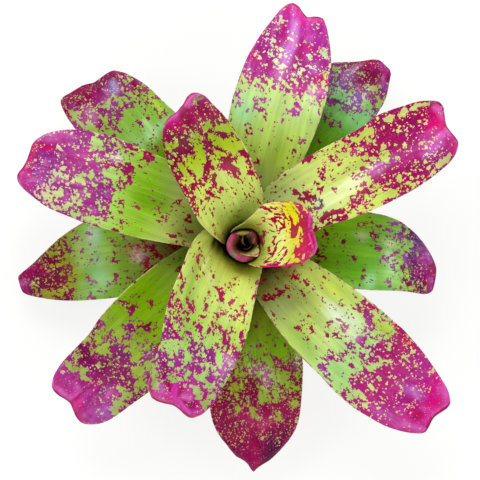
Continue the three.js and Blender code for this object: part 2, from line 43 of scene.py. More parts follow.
# ---------------------------------------------------------------- leaf shapes, as in the frame (mm)
LEAVES = [
    dict(name="leaf_01", az_base=13, az_tip=14.4, reach=53.7, base_r=14.6, base_z=40, peak_r=46, peak_z=152, tip_z=147.5, flare=3.2, wall=5,
         corner_l=52.5, corner_r=51,
         left=[31.4, 25.2, 25.6, 28.4, 29.4, 27.8, 26.3, 25, 23.6, 22.3, 20.9, 19.5, 18.4, 17.8],
         right=[22.6, 23.6, 25.1, 26.3, 26.9, 27, 26.7, 26.1, 25.2, 24.4, 23.6, 22.9, 22.4, 22],
         end=[(51, -22), (53, -19.2), (54.3, -16), (54, -11.5), (53.5, -7), (53.3, -3.5), (53.7, -0.1), (55.1, 2.4), (55.9, 5.1), (55.7, 8.9), (55, 12.7), (54, 15.4), (52.5, 17.8)]),
    dict(name="leaf_02", az_base=117, az_tip=115.6, reach=119.2, base_r=16.1, base_z=36, peak_r=84, peak_z=141, tip_z=123, flare=2.5, wall=4.2,
         corner_l=109.6, corner_r=123.4,
         left=[19.3, 23.4, 26.2, 25.7, 25.7, 26.6, 26.6, 25.6, 24.4, 22.9, 21.2, 19.6, 18.3, 17.5],
         right=[20.1, 28.8, 33.2, 34, 33.5, 32.3, 30.7, 28.5, 25.8, 24, 22.8, 21.4, 19.7, 18.6],
         end=[(123.4, -18.6), (125.4, -16.1), (126.5, -13), (125.4, -8.9), (122.5, -5.5), (120.4, -3), (119.1, -0.1), (117.5, 2.5), (116.2, 5.3), (115.4, 9.3), (113.8, 13.1), (111.9, 15.5), (109.6, 17.5)]),
    dict(name="leaf_03", az_base=250, az_tip=246.1, reach=142.3, base_r=17.6, base_z=32.5, peak_r=92, peak_z=133, tip_z=107, flare=2.4, wall=3.6,
         corner_l=140.5, corner_r=144.9,
         left=[23.8, 22.7, 24.1, 26.9, 27.6, 27.5, 27.3, 27.2, 27, 25.6, 24.4, 23, 21.3, 20.3],
         right=[30.8, 51.2, 42.6, 40.7, 37.5, 34.2, 31.8, 30.8, 29.6, 27.7, 25.6, 23.2, 20.8, 19.2],
         end=[(144.9, -19.2), (146.2, -16.6), (146.2, -13.6), (145.3, -9.7), (144.1, -5.8), (143.1, -3), (142.3, -0.1), (142.2, 3.2), (142.4, 6.4), (143.4, 10.7), (143.9, 15), (142.8, 18), (140.5, 20.3)]),
    dict(name="leaf_04", az_base=29, az_tip=30.3, reach=188.3, base_r=19.1, base_z=29, peak_r=112, peak_z=125, tip_z=96, flare=2.2, wall=3.2,
         corner_l=192.6, corner_r=186.1,
         left=[25.8, 30.9, 34.8, 35.4, 34.7, 34.3, 35.9, 34.1, 31.4, 29.4, 26.9, 24.2, 22.2, 20.8],
         right=[25.8, 20.7, 19.3, 24, 26.8, 28.3, 29.2, 29, 28, 27, 25.5, 23.4, 21.1, 19.6],
         end=[(186.1, -19.6), (188.2, -17.3), (189.1, -14.4), (188.7, -10.3), (188.1, -6.2), (188.1, -3.1), (188.3, 0), (189.3, 3.3), (190.7, 6.4), (192.8, 10.5), (194.8, 14.6), (194.4, 17.9), (192.6, 20.8)]),
    dict(name="leaf_05", az_base=157, az_tip=161.8, reach=192, base_r=20.6, base_z=26, peak_r=114, peak_z=116, tip_z=84, flare=2.1, wall=2.9,
         corner_l=191.8, corner_r=180.7,
         left=[27.8, 20.9, 24.9, 28.7, 29.9, 30.8, 29.3, 27.8, 25, 21.4, 18, 15.2, 12.7, 10.6],
         right=[27.8, 31.7, 35.9, 38.1, 39.3, 40.9, 41.4, 40.7, 39.1, 36.9, 34.4, 31.9, 29.8, 28.4],
         end=[(180.7, -28.4), (183.9, -24.9), (186.2, -20.8), (187, -14.6), (187.9, -8.5), (189.6, -4.1), (192, -0), (192.9, 1.5), (193.7, 3.1), (194.2, 5.4), (193.6, 7.6), (192.8, 9.2), (191.8, 10.6)]),
    dict(name="leaf_06", az_base=309, az_tip=317.4, reach=211.1, base_r=22.1, base_z=23.5, peak_r=120, peak_z=107, tip_z=74, flare=2.1, wall=2.7,
         corner_l=216.8, corner_r=205.6,
         left=[29.8, 31.9, 38.9, 44.1, 46.1, 46.2, 43.9, 40.4, 35.8, 31.7, 27.9, 24.1, 20.4, 17.8],
         right=[29.8, 21.6, 24.2, 25.6, 25.4, 27, 27.6, 26.5, 25.5, 23.7, 21.7, 19.9, 18.4, 17.5],
         end=[(205.6, -17.5), (208, -15.9), (209.8, -13.6), (210.2, -9.7), (210.2, -5.8), (210.5, -2.9), (211.1, -0.1), (212.2, 2.7), (213.5, 5.3), (215.6, 8.6), (217.4, 12.1), (217.8, 15), (216.8, 17.8)]),
    dict(name="leaf_07", az_base=78, az_tip=74.6, reach=192.9, base_r=23.6, base_z=21, peak_r=114, peak_z=98, tip_z=68, flare=2, wall=2.5,
         corner_l=195.3, corner_r=195.5,
         left=[31.9, 32.7, 33.7, 35, 36.2, 35.6, 34.4, 31.8, 28.8, 26.3, 24.3, 22.7, 21.1, 20],
         right=[31.9, 30.9, 30, 33.4, 36, 36.5, 35, 32.5, 28.5, 24.6, 21.1, 18, 15.3, 13.7],
         end=[(195.5, -13.7), (196.7, -11.8), (196.7, -9.6), (196, -6.7), (194.8, -4), (193.6, -2.1), (193, -0.1), (194.3, 3.2), (196.1, 6.2), (198.7, 10.1), (199.7, 14.6), (197.9, 17.6), (195.3, 20)]),
    dict(name="leaf_08", az_base=222, az_tip=222.5, reach=196.6, base_r=25.1, base_z=18.5, peak_r=114, peak_z=89, tip_z=59, flare=2, wall=2.4,
         corner_l=197.7, corner_r=196,
         left=[33.9, 34.6, 35.6, 36.5, 37.2, 37.5, 36.2, 34.8, 33.6, 32.3, 30, 27.1, 24.6, 23],
         right=[33.9, 33, 35.5, 36.8, 35.9, 34.1, 30.4, 29.8, 29.4, 28.5, 27, 25.2, 23.3, 22],
         end=[(196, -22), (198.4, -19.4), (199.3, -16), (198.8, -11.3), (197.4, -6.9), (196.7, -3.4), (196.6, 0.1), (197.7, 3.6), (199, 7.1), (200.9, 11.8), (201.4, 16.6), (200, 20.1), (197.7, 23)]),
    dict(name="leaf_09", az_base=356, az_tip=353.1, reach=160.3, base_r=26.6, base_z=16, peak_r=102, peak_z=76, tip_z=50, flare=2, wall=2.3,
         corner_l=141.6, corner_r=160.7,
         left=[35.9, 35.5, 34.9, 34.4, 34.1, 34, 33.5, 32.1, 29.9, 26.9, 24.2, 21.9, 20.1, 19.1],
         right=[35.9, 34.1, 32, 30.2, 29.5, 28.9, 27.5, 26.2, 25.5, 25.4, 25.2, 24.5, 23.5, 22.3],
         end=[(160.7, -22.3), (162.2, -19.3), (162.4, -15.9), (162.2, -11.3), (161.8, -6.7), (161.5, -3.3), (160.4, -0.1), (158.1, 3.2), (155.4, 6.3), (151.6, 10), (147.7, 13.8), (144.7, 16.6), (141.6, 19.1)]),
    dict(name="leaf_10", az_base=136, az_tip=133.3, reach=184.9, base_r=28.1, base_z=13.5, peak_r=108, peak_z=68, tip_z=42, flare=2, wall=2.2,
         corner_l=190.5, corner_r=179.5,
         left=[37.9, 37.7, 37.5, 37.3, 37.1, 36.9, 36.6, 36.4, 35.9, 35.6, 34.6, 33.6, 32.6, 31.5],
         right=[37.9, 37.4, 36.9, 36.4, 35.7, 35, 33.9, 33.2, 31.4, 29.1, 26.9, 24.5, 22.4, 21.2],
         end=[(179.5, -21.2), (181.9, -18.8), (183.2, -15.7), (183.6, -11.2), (184, -6.7), (184.4, -3.3), (184.9, 0), (186.9, 4.5), (188.7, 9.1), (189.7, 15.6), (190.6, 22.1), (191.5, 26.9), (190.5, 31.5)]),
    dict(name="leaf_11", az_base=270, az_tip=272.2, reach=193.3, base_r=29.6, base_z=11, peak_r=108, peak_z=60, tip_z=33, flare=2, wall=2.1,
         corner_l=172.9, corner_r=175.1,
         left=[40, 41.5, 43, 44.8, 46.6, 45.9, 44.5, 43, 40.7, 37.7, 34.1, 30.8, 28.2, 26.7],
         right=[40, 38.5, 37, 35.4, 34, 32.8, 31.8, 30.7, 27.8, 24.2, 20.2, 17.6, 15.7, 14.6],
         end=[(175.1, -14.6), (177.9, -12.2), (180, -9.3), (183.2, -5.9), (187.3, -3.3), (190.6, -2), (193.1, 0), (189.9, 3.9), (187.1, 8.1), (183.9, 14), (179.7, 19.3), (176.3, 23), (172.9, 26.7)]),
    dict(name="leaf_12", az_base=55, az_tip=51.6, reach=191.6, base_r=31.1, base_z=8.5, peak_r=108, peak_z=52, tip_z=29, flare=2, wall=2,
         corner_l=166.1, corner_r=188.2,
         left=[42, 41, 39.7, 38.4, 37.5, 37, 36.9, 37.3, 36.7, 35.7, 34.7, 33, 30.8, 29.4],
         right=[42, 38.3, 33.9, 29.9, 27.5, 26.8, 25.3, 23, 21.2, 18.3, 14.7, 11.8, 9.8, 8.7],
         end=[(188.2, -8.7), (189.3, -7.8), (190.4, -6.7), (191.3, -5), (191.6, -3), (191.6, -1.5), (191.6, -0), (191, 6), (187.3, 10.7), (180.7, 15.4), (174.5, 20.7), (170.2, 25), (166.1, 29.4)]),
    dict(name="leaf_13", az_base=188, az_tip=188.6, reach=194.8, base_r=32.6, base_z=6, peak_r=108, peak_z=45, tip_z=24, flare=2, wall=2,
         corner_l=191.2, corner_r=166.9,
         left=[44, 40.1, 35.3, 31.5, 29.9, 29.1, 27.8, 25.9, 23.4, 21, 18.8, 17, 15.4, 14.1],
         right=[44, 43.2, 42.6, 41.9, 40.9, 39.8, 37.4, 33.9, 29.7, 26.2, 22.8, 20, 18.2, 17.2],
         end=[(166.9, -17.2), (171, -14.4), (175, -11.6), (180.6, -8.2), (186.5, -5.3), (190.9, -3), (194.7, -0), (194.7, 2.2), (194.3, 4.4), (193.9, 7.4), (193.4, 10.3), (192.5, 12.4), (191.2, 14.1)]),]
STATIONS = [0, 0.12, 0.25, 0.38, 0.5, 0.6, 0.7, 0.78, 0.85, 0.9, 0.94, 0.97, 0.99, 1.0]
ACROSS = [-1, -0.85, -0.7, -0.5, -0.3, -0.15, 0, 0.15, 0.3, 0.5, 0.7, 0.85, 1.0]
BLADE_SHARE = 0.72
GOLD = 2.399963


def smooth(a, b, x):
    t = np.clip((np.asarray(x, float) - a) / (b - a), 0, 1)
    return t * t * (3 - 2 * t)


def through(xs, ys, x):
    """Monotone cubic through (xs, ys), read at x."""
    xs, ys, x = np.asarray(xs, float), np.asarray(ys, float), np.asarray(x, float)
    h = np.diff(xs)
    d = np.diff(ys) / h
    m = np.zeros(len(xs))
    for k in range(1, len(xs) - 1):
        if d[k - 1] * d[k] > 0:
            w1, w2 = 2 * h[k] + h[k - 1], h[k] + 2 * h[k - 1]
            m[k] = (w1 + w2) / (w1 / d[k - 1] + w2 / d[k])
    m[0], m[-1] = d[0], d[-1]
    k = np.clip(np.searchsorted(xs, x, side="right") - 1, 0, len(xs) - 2)
    t = (x - xs[k]) / h[k]
    t2, t3 = t * t, t * t * t
    return (2 * t3 - 3 * t2 + 1) * ys[k] + (t3 - 2 * t2 + t) * h[k] * m[k] + (3 * t2 - 2 * t3) * ys[k + 1] + (t3 - t2) * h[k] * m[k + 1]


def height(leaf, r):
    x = np.clip((r - leaf["base_r"]) / (leaf["peak_r"] - leaf["base_r"]), 0, 1)
    rise = leaf["base_z"] + (leaf["peak_z"] - leaf["base_z"]) * (1 - (1 - x) ** leaf["flare"]) ** (1 / leaf["wall"])
    d = np.clip((r - leaf["peak_r"]) / (leaf["reach"] - leaf["peak_r"]), 0, None)
    return np.where(r < leaf["peak_r"], rise, leaf["peak_z"] - (leaf["peak_z"] - leaf["tip_z"]) * d * d)


def place(leaf, s, b):
    """The leaf's surface s out along the midrib in plan and b across it, to the left."""
    base, turn, reach = math.radians(leaf["az_base"]), math.radians(leaf["az_tip"] - leaf["az_base"]), leaf["reach"]
    az = base + turn * (s / reach) ** 2
    bend = 2 * turn * (s / reach) ** 2
    fx, fy = np.cos(az) - np.sin(az) * bend, np.sin(az) + np.cos(az) * bend
    n = np.hypot(fx, fy)
    fx, fy = fx / n, fy / n
    curve = (1 - smooth(leaf["base_r"] + 6, 95, s)) / np.maximum(s, 1)
    flat = np.abs(curve) < 1e-9
    safe = np.where(flat, 1, curve)
    across = np.where(flat, b, np.sin(curve * b) / safe)
    back = np.where(flat, 0, (1 - np.cos(curve * b)) / safe)
    x = s * np.cos(az) - fy * across - fx * back
    y = s * np.sin(az) + fx * across - fy * back
    z = height(leaf, np.maximum(np.hypot(x, y), leaf["base_r"]))
    z = z + 3.0 * (b / 30.0) ** 2 * smooth(25, 60, s) * (1 - smooth(reach * 0.55, reach * 0.9, s))
    return x, y, z


def waves(seed, *terms):
    """A smooth bumpy field of a few slow sine waves: terms are (x, wavelength) pairs."""
    rng = np.random.default_rng(seed)
    total = 0
    for _ in range(4):
        phase = rng.uniform(0, 2 * math.pi)
        arg = phase
        for x, wavelength in terms:
            arg = arg + 2 * math.pi * x / (wavelength * rng.uniform(0.7, 1.5)) * rng.choice([-1, 1])
        total = total + np.sin(arg)
    return total / 2.0


def spread(n, near=1.335):
    """n values from -1 to 1, closer together at both ends."""
    return np.sin(np.linspace(-1, 1, n) * near) / math.sin(near)


def leaf_fields(leaf, index, columns=53, rows=176):
    """Middle surface of a leaf on a fine grid, with the coordinates that its markings use."""
    base_r = leaf["base_r"]
    shoulder = base_r + 0.8 * (min(leaf["corner_l"], leaf["corner_r"]) - base_r)
    q = np.linspace(0, 1, 2001) ** 2
    s = base_r + (shoulder - base_r) * q
    x, y, z = place(leaf, s, 0 * s)
    run = np.r_[0, np.cumsum(np.sqrt(np.diff(x) ** 2 + np.diff(y) ** 2 + np.diff(z) ** 2))]
    length = run[-1]
    end_rows = 52
    v = np.r_[np.linspace(0, BLADE_SHARE, rows - end_rows, endpoint=False), BLADE_SHARE + (1 - BLADE_SHARE) * np.linspace(0, 1, end_rows)]
    end_length = max(leaf["reach"] - shoulder, 8.0)
    closing = 1 - (1 - BLADE_SHARE) * np.array([0.55, 0.3, 0.12, 0.03]) / end_length
    v = np.r_[v[v < closing[0] - 0.002], closing, 1.0]
    inner = spread(columns - 8)
    V = np.repeat(v[:, None], columns, 1)
    tau = np.clip((V - BLADE_SHARE) / (1 - BLADE_SHARE), 0, 1)
    body = base_r + (shoulder - base_r) * np.interp(np.clip(V / BLADE_SHARE, 0, 1), run / length, q)

    def half_width(u, tau, body):
        corner = np.where(u >= 0, leaf["corner_l"], leaf["corner_r"])
        margin = np.where(tau > 0, shoulder + (corner - shoulder) * tau, body)
        share = (margin - base_r) / (corner - base_r)
        return np.where(u >= 0, through(STATIONS, leaf["left"], share), through(STATIONS, leaf["right"], share))

    gaps = np.array([0.0, 0.05, 0.2, 0.5])
    wl, wr = half_width(1.0, tau[:, :1], body[:, :1]), half_width(-1.0, tau[:, :1], body[:, :1])
    right = -1 + gaps[None] / wr
    left = 1 - gaps[None] / wl
    lo, hi = -1 + 1.0 / wr, 1 - 1.0 / wl
    mid = lo + (hi - lo) * (inner[None] + 1) / 2
    U = np.hstack([right, mid, left[:, ::-1]])
    W = half_width(U, tau, body)
    Wc = np.where(U >= 0, leaf["left"][-1], leaf["right"][-1])
    ends = np.array(leaf["end"], float)
    S = np.where(tau > 0, shoulder + (through(ACROSS, ends[:, 0], U) - shoulder) * tau, body)
    B = U * W * (1 - tau**2) + through(ACROSS, ends[:, 1], U) * W / Wc * tau**2
    x, y, z = place(leaf, S, B)
    au = np.abs(U)
    edge_mm = (1 - au) * W
    # groove over the midrib, two swollen lobes at the end, a rim that rolls down, thin turned margins
    z = z - 1.6 * np.exp(-((B / 5.5) ** 2)) * smooth(0.25, 0.95, V)
    z = z - leaf.get("notch_dip", 1.3) * np.exp(-((B / 3.6) ** 2)) * smooth(0.84, 0.99, V)
    z = z + leaf.get("lobes", 1.1) * (np.exp(-(((B - 10.5) / 6.5) ** 2)) + np.exp(-(((B + 10.5) / 6.5) ** 2))) * smooth(0.8, 0.95, V)
    z = z - 3.0 * smooth(0.93, 1, V) ** 1.3
    z = z - 1.2 * smooth(0.8, 1, au) * smooth(0.35, 0.8, V)
    # slow waves of the blade and of its margins
    z = z + 0.55 * waves(index * 7 + 1, (S, 55.0), (B, 38.0)) * smooth(0.3, 0.5, V)
    z = z + 0.55 * waves(index * 7 + 2, (S, 26.0)) * au**3 * np.sign(U) * smooth(0.4, 0.6, V) * (1 - smooth(0.9, 1.0, V))
    P = np.stack([x, y, z], -1)
    # arc length out along the leaf, for markings that keep their size on the steep wall of the cup
    step = np.sqrt(((np.diff(P[:, columns // 2], axis=0)) ** 2).sum(-1))
    arc_mid = np.r_[0, np.cumsum(step)]
    arc = np.repeat(arc_mid[:, None], columns, 1) + (S - S[:, columns // 2][:, None])
    thick = (1.0 + (1.5 - 1.0) * smooth(0.15, 0.5, V)) * (1 - 0.5 * au**6)
    half = thick / 2
    tip_mm = (1 - V) / (1 - BLADE_SHARE) * end_length
    close_u = np.sqrt(np.clip(1 - (1 - np.clip(edge_mm / half, 0, 1)) ** 2, 0, 1))
    close_v = np.sqrt(np.clip(1 - (1 - np.clip(tip_mm / half, 0, 1)) ** 2, 0, 1))
    half = half * close_u * close_v
    return dict(P=P, U=U, V=V, S=S, B=B, arc=arc, half=half, edge=edge_mm, tip=tip_mm, W=W)


def grid_normals(P):
    du, dv = np.gradient(P, axis=1), np.gradient(P, axis=0)
    n = np.cross(dv, du)
    return n / np.maximum(np.linalg.norm(n, axis=-1, keepdims=True), 1e-9)


def sheet_mesh(name, P, half, layers, closed_ends=(True, False)):
    """A closed sheet from a grid of middle points. half is half the thickness and may fall to zero at an edge.
    layers is {attribute: (kind, top values, underside values)} on the same grid."""
    nv, nu, _ = P.shape
    N = grid_normals(P)
    top, bottom = P + N * half[..., None], P - N * half[..., None]
    count = nv * nu
    sharp = half <= 1e-6
    ids_top = np.arange(count).reshape(nv, nu)
    ids_bottom = np.where(sharp, ids_top, ids_top + count)
    verts = np.vstack([top.reshape(-1, 3), bottom.reshape(-1, 3)])
    a, b, c, d = ids_top[:-1, :-1], ids_top[:-1, 1:], ids_top[1:, 1:], ids_top[1:, :-1]
    faces = [np.stack([a, d, c, b], -1).reshape(-1, 4)]
    a, b, c, d = ids_bottom[:-1, :-1], ids_bottom[:-1, 1:], ids_bottom[1:, 1:], ids_bottom[1:, :-1]
    faces.append(np.stack([a, b, c, d], -1).reshape(-1, 4))

    def strip(t, u, flip):
        q = np.stack([t[:-1], t[1:], u[1:], u[:-1]], -1)
        return q[:, ::-1] if flip else q

    faces.append(strip(ids_top[0], ids_bottom[0], False))
    faces.append(strip(ids_top[-1], ids_bottom[-1], True))
    faces.append(strip(ids_top[:, 0], ids_bottom[:, 0], True))
    faces.append(strip(ids_top[:, -1], ids_bottom[:, -1], False))
    faces = [list(dict.fromkeys(map(int, f))) for f in np.vstack(faces)]
    faces = [f for f in faces if len(f) >= 3]
    used = np.zeros(len(verts), bool)
    for f in faces:
        used[f] = True
    where = np.cumsum(used) - 1
    faces = [[int(where[i]) for i in f] for f in faces]
    mesh = bpy.data.meshes.new(name)
    mesh.from_pydata((verts[used] * MM).tolist(), [], faces)
    # the middle of the map's left half is the top, its right half the underside
    gu, gv = np.meshgrid(np.linspace(0, 1, nu), np.linspace(0, 1, nv))
    run_v = np.r_[0, np.cumsum(np.linalg.norm(np.diff(P[:, nu // 2], axis=0), axis=-1))]
    run_u = np.r_[0, np.cumsum(np.linalg.norm(np.diff(P[int(nv * 0.6)], axis=0), axis=-1))]
    gu = np.repeat((run_u / run_u[-1])[None], nv, 0)
    gv = np.repeat((run_v / run_v[-1])[:, None], nu, 1)
    uv_top = np.stack([0.012 + 0.476 * gu, 0.012 + 0.976 * gv], -1).reshape(-1, 2)
    uv_bottom = np.stack([0.988 - 0.476 * gu, 0.012 + 0.976 * gv], -1).reshape(-1, 2)
    uvs = np.vstack([uv_top, uv_bottom])[used]
    layer = mesh.uv_layers.new(name="OFBake")
    loops = np.zeros(len(mesh.loops), np.int32)
    mesh.loops.foreach_get("vertex_index", loops)
    values = uvs[loops]
    # underside faces keep the underside's half of the map even where they share the rim's vertices
    back = np.zeros(len(mesh.polygons), bool)
    base_count = (nv - 1) * (nu - 1)
    starts = np.zeros(len(mesh.polygons), np.int32)
    totals = np.zeros(len(mesh.polygons), np.int32)
    mesh.polygons.foreach_get("loop_start", starts)
    mesh.polygons.foreach_get("loop_total", totals)
    back[base_count:] = True
    which = np.repeat(back, totals)
    flip = which & (values[:, 0] < 0.5)
    values[flip, 0] = 1.0 - values[flip, 0]
    values[flip & (values[:, 1] < 0.02), 1] = 0.004
    layer.data.foreach_set("uv", values.astype(np.float32).ravel())
    for attribute, (kind, upper, lower) in layers.items():
        both = np.vstack([upper.reshape(count, -1), lower.reshape(count, -1)])[used]
        made = mesh.attributes.new(attribute, kind, "POINT")
        made.data.foreach_set("color" if kind == "FLOAT_COLOR" else "vector" if kind == "FLOAT_VECTOR" else "value", both.astype(np.float32).ravel())
    mesh.polygons.foreach_set("use_smooth", np.ones(len(mesh.polygons), bool))
    mesh.validate()
    mesh.update()
    ob = bpy.data.objects.new(name, mesh)
    bpy.context.scene.collection.objects.link(ob)
    return ob


